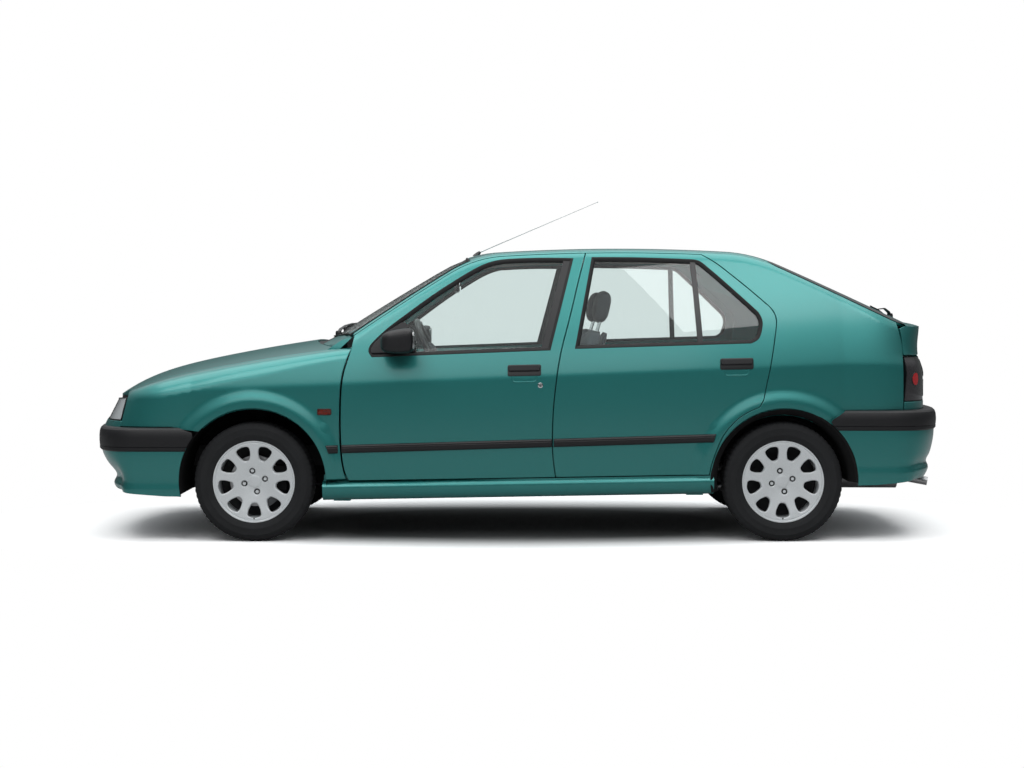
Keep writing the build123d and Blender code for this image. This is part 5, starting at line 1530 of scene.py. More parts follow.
    @staticmethod
    def tailgate_glass() -> Loop:
        """Return the rear window's outline in plan."""
        return Loop.of(
            [(-1262, -500), (-1262, 500)],
            [(-1262, 500), (-1820, 560)],
            [(-1820, 560), (-1868, 300), (-1878, 0), (-1868, -300), (-1820, -560)],
            [(-1820, -560), (-1262, -500)],
            step=20.0,
        )

    def crease_lines(self, low_x: float, high_x: float) -> list[list[Point2]]:
        """Return lines of points beside the shoulder line, where the side bends most."""
        rows = []
        for offset in (-34, -20, -10, -3, 4, 11, 21, 35):
            rows.append(
                [self.side.at_height(x, SKIN.crease_z(x) + offset) for x in stations(low_x, high_x, 22.0)]
            )
        return rows


@dataclass
class BodyShell:
    """The painted panels of the body."""

    shop: Workshop
    lines: Lines
    door_hem: Hem = Hem(1.9, 2.6, 9.0)
    body_hem: Hem = Hem(1.1, 1.6, 9.0)
    sill_out: float = 829.0
    sill_top: float = 297.0
    sill_front: float = 938.0
    sill_rear: float = -935.0
    sill_drop: float = 10.5
    rake: float = 0.0165

    def build(self) -> None:
        """Build every painted panel."""
        side = PanelMaker(self.lines.side, (18.0, 13.0))
        self.shop.pair(
            "body_side_SIDE_skin",
            side.sheet(
                self.lines.body_side(), hem=self.body_hem, lines=self.lines.crease_lines(-1840, -1180)
            ),
            Look.PAINT,
            BODY,
            slot="paint",
        )
        window_hole = self.lines.front_window()
        self.shop.pair(
            "front_SIDE_door_skin",
            side.sheet(
                self.lines.front_door(), [window_hole], self.door_hem, self.lines.crease_lines(-170, 840)
            ),
            Look.PAINT,
            FRONT_DOORS,
            slot="paint",
        )
        window_hole = self.lines.rear_window()
        self.shop.pair(
            "rear_SIDE_door_skin",
            side.sheet(
                self.lines.rear_door(), [window_hole], self.door_hem, self.lines.crease_lines(-1190, -170)
            ),
            Look.PAINT,
            REAR_DOORS,
            slot="paint",
        )
        wing = PanelMaker(self.lines.wing, (16.0, 12.0))
        self.shop.pair(
            "front_wing_SIDE_skin",
            wing.sheet(self.lines.front_wing(), hem=self.body_hem, lines=self.wing_lines()),
            Look.PAINT,
            BODY,
            slot="paint",
        )
        self.shop.pair("sill_SIDE_skin", self.sill(), Look.PAINT, BODY, slot="paint")
        self.tops()
        LOG.info("body shell: painted panels built")

    def wing_lines(self) -> list[list[Point2]]:
        """Return lines beside the shoulder line on the wing."""
        rows = []
        for offset in (-34, -20, -10, -3, 4, 11):
            row = []
            for x in stations(870, 1840, 22.0):
                z = SKIN.crease_z(x) + offset
                if z < self.lines.wing.corner(x)[0].z0 - 6.0:
                    row.append(self.lines.wing.at_height(x, z))
            rows.append(row)
        return rows

    def tops(self) -> None:
        """Build the roof, the bonnet and the tailgate."""
        top = PanelMaker(self.lines.top, (38.0, 34.0))
        roof = top.sheet(self.lines.roof(), hem=Hem(0.8, 1.8, 7.0))
        self.shop.piece("roof_skin", roof, Look.PAINT, "body", slot="paint")
        bonnet = PanelMaker(self.lines.bonnet, (30.0, 34.0))
        ribs = [[(x, y) for x in stations(880, 1960, 24.0)] for y in (-600, -560, 560, 600)]
        data = bonnet.sheet(self.lines.bonnet_edge(), hem=Hem(0.4, 3.0, 18.0), lines=ribs)
        self.shop.piece("bonnet_skin", data, Look.PAINT, "bonnet_lid", slot="paint")
        gate = PanelMaker(self.lines.top, (30.0, 30.0))
        glass = self.lines.tailgate_glass()
        data = gate.sheet(self.lines.tailgate_top(), [glass], Hem(0.6, 2.2, 9.0))
        self.shop.piece("tailgate_upper_skin", data, Look.PAINT, "tailgate_lid", slot="paint")

    def sill(self) -> MeshData:
        """Build the sill's outer face, stepped out under the doors."""
        out, top = self.sill_out, self.sill_top
        section = [(out - 59, top + 3.2), (out - 38, top + 2.2), (out - 23, top + 0.2), (out - 12, 291.5)]
        section += [(out - 4.6, 284.4), (out - 0.6, 277), (out + 0.5, 270), (out - 0.8, 261)]
        section += [(out - 2.7, 252), (out - 8, 238), (out - 17, 226), (out - 43, 210.2)]
        section += [(out - 80, 209.6), (out - 139, 209.6)]
        rows = []
        places = stations(self.sill_front, self.sill_rear, 60.0)
        for x in places:
            shift = (self.sill_front - x) * self.rake - self.sill_drop
            rows += [(x, y, z + shift) for y, z in section]
        data = MeshData()
        count = len(places)
        faces = grid_faces(count, len(section))
        faces.append(tuple(range(len(section))))
        faces.append(tuple((count - 1) * len(section) + k for k in range(len(section)))[::-1])
        data.add(rows, faces)
        return data


@dataclass
class Glazing:
    """The panes, their rubber seals and the black band round the windscreen."""

    shop: Workshop
    lines: Lines
    seal_width: float = 17.0
    seal_height: float = 3.0
    screen_seal_height: float = 6.0
    cowl_sag: float = 6.0
    cowl_half: float = 470.0

    def build(self) -> None:
        """Build every pane with its seals."""
        side = PanelMaker(self.lines.side, (60.0, 40.0))
        for name, loop, bodies in (
            ("front_SIDE", self.lines.front_window(), FRONT_DOORS),
            ("rear_SIDE", self.lines.rear_window(), REAR_DOORS),
        ):
            pane = side.slab(loop.grown(-0.6), 7.2, 4.6)
            node = name + "_window"
            self.shop.pair(
                name + "_glass", pane, Look.GLASS, bodies, slot="glass", replaces=[node], crease=60
            )
            self.shop.pair(name + "_window_seal", self.seal(self.lines.side, loop), Look.RUBBER, bodies)
        for name, points, bodies in (
            ("front_SIDE_window_filler", [(-151, 918), (-265, 1362), (-221, 1362), (-106, 918)], FRONT_DOORS),
            ("rear_SIDE_window_divider", [(-831, 1356), (-857, 1355), (-884, 944), (-857, 944)], REAR_DOORS),
        ):
            bar = Loop.polygon(points, 2.0).mapped(self.lines.side.at_height)
            self.shop.pair(name, side.slab(bar, 0.8, 6.0), Look.TRIM, bodies, slot="black_plastic")
        top = PanelMaker(self.lines.top, (70.0, 60.0))
        screen = self.lines.windscreen()
        pane = top.slab(screen.grown(-1.0), 3.2, 6.4)
        self.shop.piece("windscreen_glass", pane, Look.GLASS, "body", slot="glass", replaces=["windscreen"])
        band = PanelMaker(self.lines.top, (30.0, 18.0)).sheet(
            screen.grown(-6.0), [screen.grown(-20.0)], Hem(0.0, 0.4, 0.3, -2.6)
        )
        self.shop.piece("windscreen_black_band", band, Look.FRIT, "body")
        seal = self.seal(self.lines.top, screen, 13.0, self.screen_seal_height)
        self.shop.piece("windscreen_moulding", seal, Look.RUBBER, "body")
        rear = self.lines.tailgate_glass()
        pane = top.slab(rear.grown(-0.6), 4.2, 4.6)
        self.shop.piece(
            "rear_window_glass", pane, Look.GLASS, "tailgate_lid", slot="glass", replaces=["rear_window"]
        )
        band = PanelMaker(self.lines.top, (30.0, 18.0)).sheet(
            rear.grown(-8.0), [rear.grown(-46.0)], Hem(0.0, 0.4, 0.3, -3.7)
        )
        self.shop.piece("rear_window_black_band", band, Look.FRIT, "tailgate_lid")
        seal = self.seal(self.lines.top, rear, 15.0, 1.8)
        self.shop.piece("rear_window_seal", seal, Look.RUBBER, "tailgate_lid")
        self.cowl(screen)
        self.backlight_edges()
        LOG.info("glazing: panes and seals built")

    def cowl(self, screen: Loop) -> None:
        """Build the black panel between the windscreen's foot and the bonnet."""
        foot = [(y, x) for x, y in screen.points if x > 780.0]
        edge = [(y, x) for x, y in self.lines.bonnet_edge().points if x < 1040.0]
        foot_x, edge_x = lookup(foot), lookup(edge)
        rows = []
        for y in spread(-self.cowl_half, self.cowl_half, 33):
            back, front = foot_x(y) - 4.0, edge_x(y) - 5.0
            z0, z1 = SKIN.cabin_z(back, y) - 3.0, SKIN.bonnet_z(front, y) - 9.0
            row = [(back, y, z0 - 30.0), (back, y, z0)]
            for t in (0.2, 0.4, 0.6, 0.8, 1.0):
                sag = self.cowl_sag * 4 * t * (1 - t)
                row.append((back + t * (front - back), y, z0 + t * (z1 - z0) - sag))
            row.append((front, y, z1 - 60.0))
            rows.append(row)
        self.shop.piece("cowl_panel", shell(np.array(rows), 2.0), Look.PLASTIC, "body", crease=50)
        rows = []
        for y in spread(self.cowl_half + 2.0, 742.0, 15):
            under = 45.0 * float(np.clip((y - 630.0) / 60.0, 0.0, 1.0))
            back, front = foot_x(y) - 2.0 - under, edge_x(y) - 8.0
            z0, z1 = SKIN.cabin_z(back, y) - 0.05 * under, SKIN.bonnet_z(front, y)
            row = [(back, y, z0 - 24.0)]
            for t in (0.0, 0.2, 0.4, 0.6, 0.8, 1.0):
                row.append((back + t * (front - back), y, z0 + t * (z1 - z0)))
            row.append((front, y, z1 - 40.0))
            rows.append(row)
        corner = shell(np.array(rows), 2.0)
        self.shop.pair("SIDE_cowl_corner", corner, Look.PAINT, BODY, crease=50, slot="paint")

    def backlight_edges(self) -> None:
        """Build the black mouldings along the sides of the rear window's frame."""
        outer = [(x, self.lines.seam_y(x) - 4.0) for x in stations(-1866.0, -1212.0, 18.0)]
        inner = [(x, y - 44.0) for x, y in outer[::-1]]
        maker = PanelMaker(self.lines.top, (20.0, 10.0))
        data = maker.sheet(Loop(outer + inner), [], Hem(0.2, 1.2, 0.4, 3.2))
        self.shop.pair("SIDE_backlight_moulding", data, Look.TRIM, ("tailgate_lid", "tailgate_lid"))

    def seal(
        self, surface: Surface, loop: Loop, width: float | None = None, height: float | None = None
    ) -> MeshData:
        """Build a rubber ring that lies just inside an opening and laps over its edge.

        Args:
            surface: The skin that the opening is in.
            loop: The opening.
            width: How far the ring reaches inwards.
            height: How far it stands above the skin.

        Returns:
            The mesh.
        """
        width = self.seal_width if width is None else width
        height = self.seal_height if height is None else height
        maker = PanelMaker(surface)
        section = [(3.0, 0.2), (2.4, height * 0.6), (0.4, height), (-width * 0.3, height * 0.75)]
        section += [(-width * 0.55, height * 0.1), (-width * 0.8, -2.0), (-width, -6.0), (-width, -9.5)]
        rows = []
        for out, lift in section:
            places, _ = maker.lift(loop.grown(out).points, lift)
            rows.append(places)
        data = MeshData()
        faces = grid_faces(len(rows), len(rows[0]), closed=True)
        normal = surface.normal(*map(float, loop.points[0]))
        a, b = rows[1][1] - rows[1][0], rows[2][0] - rows[1][0]
        if float(np.cross(a, b) @ normal) < 0:
            faces = [f[::-1] for f in faces]
        data.add(np.concatenate(rows), faces)
        return data


# ----------------------------------------------------------------------------------------------
# Bumpers
# ----------------------------------------------------------------------------------------------
def shell(grid: np.ndarray, thickness: float) -> MeshData:
    """Give a grid of points a thickness, and close its edges.

    Args:
        grid: Points by row and column, with XYZ last, seen from the front.
        thickness: How far the back lies behind the front.

    Returns:
        The closed mesh.
    """
    rows, columns = grid.shape[:2]
    normals = np.cross(np.gradient(grid, axis=1), np.gradient(grid, axis=0))
    normals /= np.maximum(1e-9, np.linalg.norm(normals, axis=2))[:, :, None]
    faces = grid_faces(rows, columns)
    back = rows * columns
    ring = list(range(columns)) + [r * columns + columns - 1 for r in range(1, rows)]
    ring += [(rows - 1) * columns + c for c in range(columns - 2, -1, -1)]
    ring += [r * columns for r in range(rows - 2, 0, -1)]
    data = MeshData()
    data.add(grid.reshape(-1, 3), faces)
    data.add((grid - normals * thickness).reshape(-1, 3), [f[::-1] for f in faces])
    for a, b in zip(ring, ring[1:] + ring[:1]):
        data.faces.append((b, a, back + a, back + b))
    return data


@dataclass
class BumperShape(Surface):
    """The plan and profile of one bumper: u is the length round the plan, and v is Z."""

    front: bool
    start: float
    reach: float
    run: float
    profile: list[Point2]
    tuck: float
    drop: float
    half: float = 838.0
    arch: float = 352.0
    slant_z: float = 900.0
    slant: float = 0.0
    power: float = 0.6

    def __post_init__(self) -> None:
        """Tabulate the plan's length and the profile."""
        self.angles = np.linspace(math.pi / 2, 1e-4, 400)
        xs = self.reach * np.sin(self.angles) ** self.power
        ys = self.half * np.cos(self.angles) ** self.power
        self.lengths = np.concatenate(([0.0], np.cumsum(np.hypot(np.diff(xs), np.diff(ys)))))
        self.curve = np.array(curve_through(self.profile, 4.0))

    def spot(self, u: float) -> tuple[float, float, float, float, float]:
        """Return the plan's point and normal at length u, and its share of the full profile."""
        angle = float(np.interp(abs(u), self.lengths, self.angles))
        beyond = max(0.0, abs(u) - float(self.lengths[-1]))
        sine, cosine = math.sin(angle), max(0.0, math.cos(angle))
        nx, ny = sine ** (2 - self.power) / self.reach, cosine ** (2 - self.power) / self.half
        size = math.hypot(nx, ny)
        x, y = self.start + self.reach * sine**self.power - beyond, self.half * cosine**self.power
        return x, math.copysign(y, u), nx / size, math.copysign(ny / size, u), nx / size

    def place(self, u: float, out: float, z: float) -> Point3:
        """Return the point at length u that stands out from the plan by out."""
        x, y, nx, ny, _ = self.spot(u)
        x += nx * out
        return (x if self.front else -x), y + ny * out, z

    def point(self, u: float, v: float) -> Point3:
        """Return the painted part's point at (u, v)."""
        share = smooth_step(1.15 * self.spot(u)[4])
        z = v + self.drop * (1 - share)
        out = float(np.interp(z, self.curve[:, 1], self.curve[:, 0]))
        return self.place(u, out * (self.tuck + (1 - self.tuck) * share) - 2.0, v)

    def outward(self, p: np.ndarray) -> np.ndarray:
        """Point away from a line inside the bumper."""
        x = p[0] - (1500.0 if self.front else -1500.0)
        return np.array((x, 0.6 * p[1], 0.0))

    def end_u(self, z: float) -> float:
        """Return the length round the plan at which the wheel arch cuts it."""
        fall = min(self.arch, abs(z - SKIN.arch_z))
        x = max(self.start - self.run, SKIN.front_axle_x + math.sqrt(self.arch**2 - fall**2))
        x += max(0.0, z - self.slant_z) * self.slant
        return float(self.lengths[-1]) + self.start - x

    def outline(self, bottom: Sequence[Point2], top: float) -> Loop:
        """Return the painted part's outline, with its bottom as (x, z) points."""
        xs, zs = [p[0] for p in bottom], [p[1] for p in bottom]
        ends = [(self.end_u(z), z) for z in stations(float(zs[0]), top, 12.0)]
        low = []
        for u in stations(ends[0][0], 0.0, 22.0):
            low.append((u, float(np.interp(self.spot(u)[0], xs, zs))))
        half = [(0.0, top)] + [(u, top) for u in stations(0.0, ends[-1][0], 22.0)[1:]]
        left = half + ends[::-1][1:] + low[1:]
        right = [(-u, z) for u, z in left[::-1]][1:-1]
        return Loop(left + right)


@dataclass
class Bumper:
    """One bumper: the painted part and the black rubbing strip over it."""

    shop: Workshop
    word: str
    shape: BumperShape
    bottom: list[Point2]
    strip: tuple[float, float]
    intake: Loop | None = None
    plate_z: float | None = None

    def build(self) -> None:
        """Build the bumper's pieces."""
        low, high = self.strip
        maker = PanelMaker(self.shape, (30.0, 9.0))
        holes = [self.intake] if self.intake else []
        data = maker.sheet(self.shape.outline(self.bottom, low + 14.0), holes, Hem(0.3, 3.0, 14.0, 0.0))
        node = self.word + "_bumper"
        self.shop.piece(node + "_painted_part", data, Look.PAINT, "body", slot="paint", replaces=[node])
        section = [(-44, low), (-12, low + 0.3), (-4.5, low + 1.5), (-1.6, low + 4.5), (-1.4, low + 13)]
        section += [(-5.5, low + 15.5), (-5.5, low + 18.0), (-1.2, low + 20.5), (0.0, low + 38)]
        section += [(0.0, high - 42), (-2.2, high - 20), (-6.5, high - 9), (-13, high - 3), (-22, high - 0.9)]
        section += [(-56, high - 0.5)]
        data = self.band(section, 5.0)
        self.shop.piece(node + "_rubbing_strip", data, Look.PLASTIC, "body", crease=24, slot="black_plastic")
        if self.intake:
            self.grating()
        if self.plate_z:
            self.plate()
        LOG.info("%s bumper built", self.word)

    def band(self, section: Sequence[Point2], thickness: float) -> MeshData:
        """Carry a section of (out, z) round the whole bumper."""
        grid = []
        for out, z in section:
            end = self.shape.end_u(z) - 1.0
            us = [end * math.sin(a) for a in spread(-math.pi / 2, math.pi / 2, 121)]
            grid.append([self.shape.place(u, out, z) for u in us])
        data = np.array(grid)
        return shell(data[:, ::-1] if self.shape.front else data, thickness)

    def grating(self) -> None:
        """Build the bars and the dark panel in the air intake."""
        low, high = self.intake.points.min(axis=0), self.intake.points.max(axis=0)
        data = MeshData()
        for z in spread(float(low[1]) + 10, float(high[1]) - 10, 3):
            us = stations(float(low[0]) + 6, float(high[0]) - 6, 30)
            path = [self.shape.place(u, -64.0, z) for u in us]
            data.merge(sweep(path, rounded_rectangle(14, 5, 2)))
        for u in stations(float(low[0]) + 20, float(high[0]) - 20, 62):
            x, y, _ = self.shape.place(u, -70.0, 300.0)
            bar = [(x - 9, y - 2), (x + 5, y - 2), (x + 5, y + 2), (x - 9, y + 2)]
            data.merge(slab_between(low[1] + 1, high[1] - 1, bar, "z"))
        self.shop.piece(
            self.word + "_intake_bars", data, Look.PLASTIC, "body", slot="black_plastic", bevel=0.6
        )
        us = stations(float(high[0]) + 16, float(low[0]) - 16, 40)
        rows = [[self.shape.place(u, -92.0, z) for u in us] for z in (low[1] - 14, high[1] + 14)]
        self.shop.piece(self.word + "_intake_backing", shell(np.array(rows), 3.0), Look.CHASSIS, "body")

    def plate(self) -> None:
        """Build the blank number plate on its black holder."""
        sign = 1 if self.shape.front else -1
        for name, look, size, out in (
            ("_plate_holder", Look.PLASTIC, (524, 114, 5), -8.0),
            ("_plate", Look.PLATE, (516, 106, 2), -3.4),
        ):
            outline = rounded_rectangle(size[0], size[1], 8)
            at = self.shape.place(0.0, out, self.plate_z)[0]
            outline = [(u, v + self.plate_z) for u, v in outline]
            data = slab_between(at - sign * size[2], at, outline, "x")
            self.shop.piece(self.word + name, data, look, "body", bevel=0.8)


# ----------------------------------------------------------------------------------------------
# Lamps
# ----------------------------------------------------------------------------------------------
@dataclass
class Lamps:
    """Headlamps, tail lamps and the small indicators."""

    shop: Workshop
    nose: EndSurface = field(default_factory=lambda: EndSurface(True))
    tail: EndSurface = field(default_factory=lambda: EndSurface(False))

    def build(self) -> None:
        """Build every lamp."""
        self.headlamps()
        self.tail_lamps()
        LOG.info("lamps built")

    def lamp_loop(self, surface: EndSurface, inner: Sequence[Point2], outer: Sequence[Point2]) -> Loop:
        """Return a lamp's outline from (y, z) points inside and (x, z) points on the car's side."""
        points = [(surface.round_at_y(y, z), z) for y, z in inner]
        points += [(surface.round_at_x(x, z), z) for x, z in outer]
        return Loop.polygon(points, 9.0, 9.0)

    def bowl(self, surface: EndSurface, loop: Loop, depth: float, rings: int = 7) -> MeshData:
        """Build a rounded bowl behind a lamp's outline."""
        middle = (loop.points.min(axis=0) + loop.points.max(axis=0)) / 2
        rows = []
        for k in range(rings):
            a = 0.5 * math.pi * k / (rings - 1)
            size = max(0.02, math.cos(a) ** 0.7)
            points = middle + (loop.points - middle) * size
            back = 5.0 + depth * math.sin(a)
            maker = PanelMaker(surface)
            rows.append(maker.lift(points, -back)[0])
        data = MeshData()
        faces = grid_faces(len(rows), len(rows[0]), closed=True)
        data.add(np.concatenate(rows), faces if surface.front else [f[::-1] for f in faces])
        return data

    def headlamps(self) -> None:
        """Build the headlamps with their reflectors, bulbs and corner indicators."""
        maker = PanelMaker(self.nose, (30.0, 22.0))
        whole = self.lamp_loop(
            self.nose, [(352, 672), (352, 580)], [(1916, 580), (1911, 600), (1895, 676), (1891, 691)]
        )
        split = self.nose.round_at_y(585.0, 630.0)
        main = Loop([(min(u, split), v) for u, v in whole.points if u < split + 1])
        corner = Loop([(max(u, split + 7), v) for u, v in whole.points if u > split + 6])
        lens = maker.slab(main.grown(-3.0), 3.0, 4.0)
        self.shop.pair(
            "SIDE_headlamp_lens", lens, Look.LENS, BODY, slot="lamp_clear", replaces=["headlamps"]
        )
        lens = maker.slab(corner.grown(-3.0), 3.0, 4.0)
        self.shop.pair("SIDE_indicator_lens", lens, Look.INDICATOR, BODY, slot="lamp_clear")
        for name, loop, depth in (("main", main, 44.0), ("corner", corner, 26.0)):
            data = self.bowl(self.nose, loop.grown(-4.0), depth)
            self.shop.pair("SIDE_headlamp_%s_reflector" % name, data, Look.BOWL, BODY)
        rim = maker.sheet(whole, [whole.grown(-5.0)], Hem(0.2, 0.8, 34.0, -0.8))
        self.shop.pair("SIDE_headlamp_rim", rim, Look.TRIM, BODY, slot="black_plastic")
        bulb = lathe([(0.5, 26), (8, 25), (10, 18), (10, 0), (14, -2), (14, -14), (0.5, -15)], 20, False)
        u, z = self.nose.round_at_y(520.0, 625.0), 625.0
        data = turned(bulb, about("Z", -90), self.deep(self.nose, u, z, 36))
        self.shop.pair("SIDE_headlamp_bulb", data, Look.LAMP_BODY, BODY)
        amber = lathe([(0.5, 14), (7, 11), (10, 2), (9, -8), (0.5, -9)], 18, False)
        seat = self.deep(self.nose, self.nose.round_at_y(778.0, 630.0), 630.0, 22)
        amber = turned(amber, about("Z", -60), seat)
        self.shop.pair("SIDE_indicator_bulb", amber, Look.AMBER, BODY)
        inner, outer = self.nose.round_at_y(352.0, 560.0), self.nose.round_at_x(1915.0, 560.0)
        band = Loop.polygon([(inner, 546), (outer, 546), (outer, 577), (inner, 577)], 4.0)
        data = maker.sheet(band, [], Hem(0.3, 2.0, 12.0, 1.2))
        self.shop.pair("SIDE_lamp_sill_skin", data, Look.PAINT, BODY, slot="paint")
        high = self.nose.round_at_x(1893.0, 690.0)
        filler = Loop.polygon([(inner, 650), (outer - 6, 650), (high, 702), (inner, 708)], 4.0)
        self.shop.pair("SIDE_headlamp_filler", maker.slab(filler, 15.0, 30.0), Look.LINER, BODY)

    def deep(self, surface: EndSurface, u: float, z: float, depth: float) -> Point3:
        """Return a point behind the skin."""
        place = np.array(surface.point(u, z)) - surface.normal(u, z) * depth
        return tuple(float(c) for c in place)

    def tail_lamps(self) -> None:
        """Build the smoked tail lamps with round red lamps standing on the lens."""
        maker = PanelMaker(self.tail, (30.0, 22.0))
        loop = self.lamp_loop(self.tail, [(469, 885), (469, 673)], [(1853, 673), (1853, 885)])
        lens = maker.slab(loop.grown(-2.0), 1.0, 4.0)
        self.shop.pair(
            "SIDE_tail_lamp_lens", lens, Look.SMOKED, BODY, slot="lamp_red", replaces=["tail_lamps"]
        )
        back = maker.slab(loop.grown(-1.0), 26.0, 3.0)
        self.shop.pair("SIDE_tail_lamp_body", back, Look.TRIM, BODY)
        rim = maker.sheet(loop, [loop.grown(-4.0)], Hem(0.2, 0.6, 24.0, -0.6))
        self.shop.pair("SIDE_tail_lamp_rim", rim, Look.TRIM, BODY, slot="black_plastic")
        spots = [(536.0, 828.0, 40.0, Look.RED), (536.0, 730.0, 40.0, Look.RED)]
        for k, (y, z, radius, look) in enumerate(spots):
            u = self.tail.round_at_y(y, z)
            self.lamp_disc("SIDE_tail_lamp_disc_%d" % k, Loop.ellipse(u, z, radius, radius), look, -0.8)
        u = self.tail.round_at_x(1917.0, 779.0)
        self.lamp_disc("SIDE_tail_lamp_side_disc", Loop.ellipse(u, 779.0, 32, 32), Look.RED, -0.8)

    def lamp_disc(self, name: str, loop: Loop, look: Look, recess: float) -> None:
        """Build one round lamp: a stepped disc with a dark ring."""
        maker = PanelMaker(self.tail, (16.0, 16.0))
        self.shop.pair(name, maker.slab(loop.grown(-2.0), recess, 3.0), look, BODY)
        ring = maker.sheet(loop.grown(1.5), [loop.grown(-2.5)], Hem(0.2, 0.8, 6.0, -recess + 0.6))
        self.shop.pair(name + "_ring", ring, Look.TRIM, BODY)


# ----------------------------------------------------------------------------------------------
# Outside trim
# ----------------------------------------------------------------------------------------------
@dataclass
class Trim:
    """Side mouldings, handles, mirrors, repeaters, wipers and the aerial."""

    shop: Workshop
    lines: Lines
    moulding_height: float = 40.0
    moulding_out: float = 13.0
    handle_size: Point2 = (160.0, 54.0)

    def build(self) -> None:
        """Build every piece of trim."""
        for name, low, high, slants, bodies in (
            ("front_wing_SIDE", 862.0, 908.0, (0.0, 15.0), BODY),
            ("front_SIDE_door", -160.0, 847.0, (0.0, 0.0), FRONT_DOORS),
            ("rear_SIDE_door", -933.0, -167.0, (-12.0, 0.0), REAR_DOORS),
        ):
            data = self.moulding(low, high, slants)
            self.shop.pair(name + "_moulding", data, Look.PLASTIC, bodies, crease=40, slot="black_plastic")
        self.handles()
        self.repeaters()
        self.mirrors()
        self.wipers()
        self.aerial()
        LOG.info("trim: mouldings, handles, mirrors, wipers and aerial built")

    def moulding_z(self, x: float) -> float:
        """Return the height of the moulding's middle at x."""
        return 447.0 + (850.0 - x) * 53.0 / 1800.0

    def moulding(self, low: float, high: float, slants: Point2) -> MeshData:
        """Build one length of side moulding, closed all round."""
        half, out = self.moulding_height / 2, self.moulding_out
        section = [(-half, -3.0), (-half, 3.5), (-half + 2.2, 8.2), (-half + 6.5, 11.6), (-half + 13, out)]
        section += [(half - 15, out), (half - 12.5, out - 2.4)]
        section += [(half - 10.0, out - 2.4), (half - 8, out - 0.8)]
        section += [(half - 4.5, 10.4), (half - 1.6, 7.0), (half, 2.5), (half, -3.0)]
        count = max(3, round((high - low) / 40))
        rows = []
        shares = [0.0] + [k / count for k in range(count + 1)] + [1.0]
        for index, share in enumerate(shares):
            end = index in (0, len(shares) - 1)
            row = []
            for dz, stand in section:
                near = (1 - share) * (low + slants[0] * (dz / self.moulding_height + 0.5))
                x = near + share * (high + slants[1] * (dz / self.moulding_height + 0.5))
                if not end:
                    x += 3.0 * max(0.0, 1 - share * count) - 3.0 * max(0.0, 1 - (1 - share) * count)
                z = self.moulding_z(x) + dz
                normal = self.lines.side.normal(x, z)
                lift = -3.0 if end else stand
                row.append(np.array(self.lines.side.point(x, z)) + normal * lift)
            rows.append(row)
        data = MeshData()
        grid = np.array(rows)
        faces = grid_faces(len(rows), len(section))
        data.add(grid.reshape(-1, 3), [f[::-1] for f in faces])
        return data

    def handles(self) -> None:
        """Build the door handles with their cups and the front doors' locks."""
        side = self.lines.side
        wide, tall = self.handle_size
        for name, x, z, bodies in (
            ("front_SIDE", -28.0, 821.0, FRONT_DOORS),
            ("rear_SIDE", -1041.0, 852.0, REAR_DOORS),
        ):
            maker = PanelMaker(side, (18.0, 9.0))
            tilt = 0.02
            cup = Loop([(x + u, z - 26 + v - tilt * u) for u, v in rounded_rectangle(124, 64, 20)])
            data = maker.sheet(cup, [cup.grown(-9.0)], Hem(0.2, 3.0, 3.0, 3.6))
            self.shop.pair(name + "_handle_cup", data, Look.PAINT, bodies, slot="paint")
            base = Loop([(x + u, z + 2 + v - tilt * u) for u, v in rounded_rectangle(wide, tall, 9)])
            data = maker.sheet(base, [], Hem(0.2, 2.0, 5.0, 5.0))
            self.shop.pair(name + "_handle_base", data, Look.TRIM, bodies, slot="black_plastic")
            grip = Loop([(x + u, z + 11 + v - tilt * u) for u, v in rounded_rectangle(wide - 8, 29, 8)])
            data = maker.sheet(grip, [], Hem(0.2, 4.5, 7.0, 15.0))
            self.shop.pair(name + "_handle_grip", data, Look.PLASTIC, bodies, slot="black_plastic")
        x, z = -104.0, 752.0
        y = side.point(x, z)[1]
        dish = [(0.4, 4.6), (3.5, 4.6), (3.8, 3.6), (10, 4.2), (12.4, 3.4), (13.2, 1.2), (13.2, -2)]
        face = lathe(dish, 32, False)
        data = face.moved(lambda p: p + np.array((x, y, z)))
        self.shop.pair("front_SIDE_door_lock", data, Look.CHROME, FRONT_DOORS)
        outline = [(x - 1, z - 5), (x + 1, z - 5), (x + 1, z + 5), (x - 1, z + 5)]
        slot = slab_between(y + 4.4, y + 5.4, outline)
        self.shop.pair("front_SIDE_key_slot", slot, Look.DIAL, FRONT_DOORS)

    def repeaters(self) -> None:
        """Build the small amber lamps on the front wings."""
        maker = PanelMaker(self.lines.wing, (14.0, 9.0))
        rim = Loop([(926.5 + u, 625 + v) for u, v in rounded_rectangle(70, 33, 8)])
        data = maker.sheet(rim, [], Hem(0.2, 2.0, 4.0, 3.4))
        self.shop.pair("SIDE_repeater_rim", data, Look.TRIM, BODY, slot="black_plastic")
        lens = Loop([(926.5 + u, 625 + v) for u, v in rounded_rectangle(61, 24, 6)])
        data = maker.slab(lens, -8.6, 5.0)
        self.shop.pair("SIDE_repeater_lens", data, Look.AMBER, BODY)

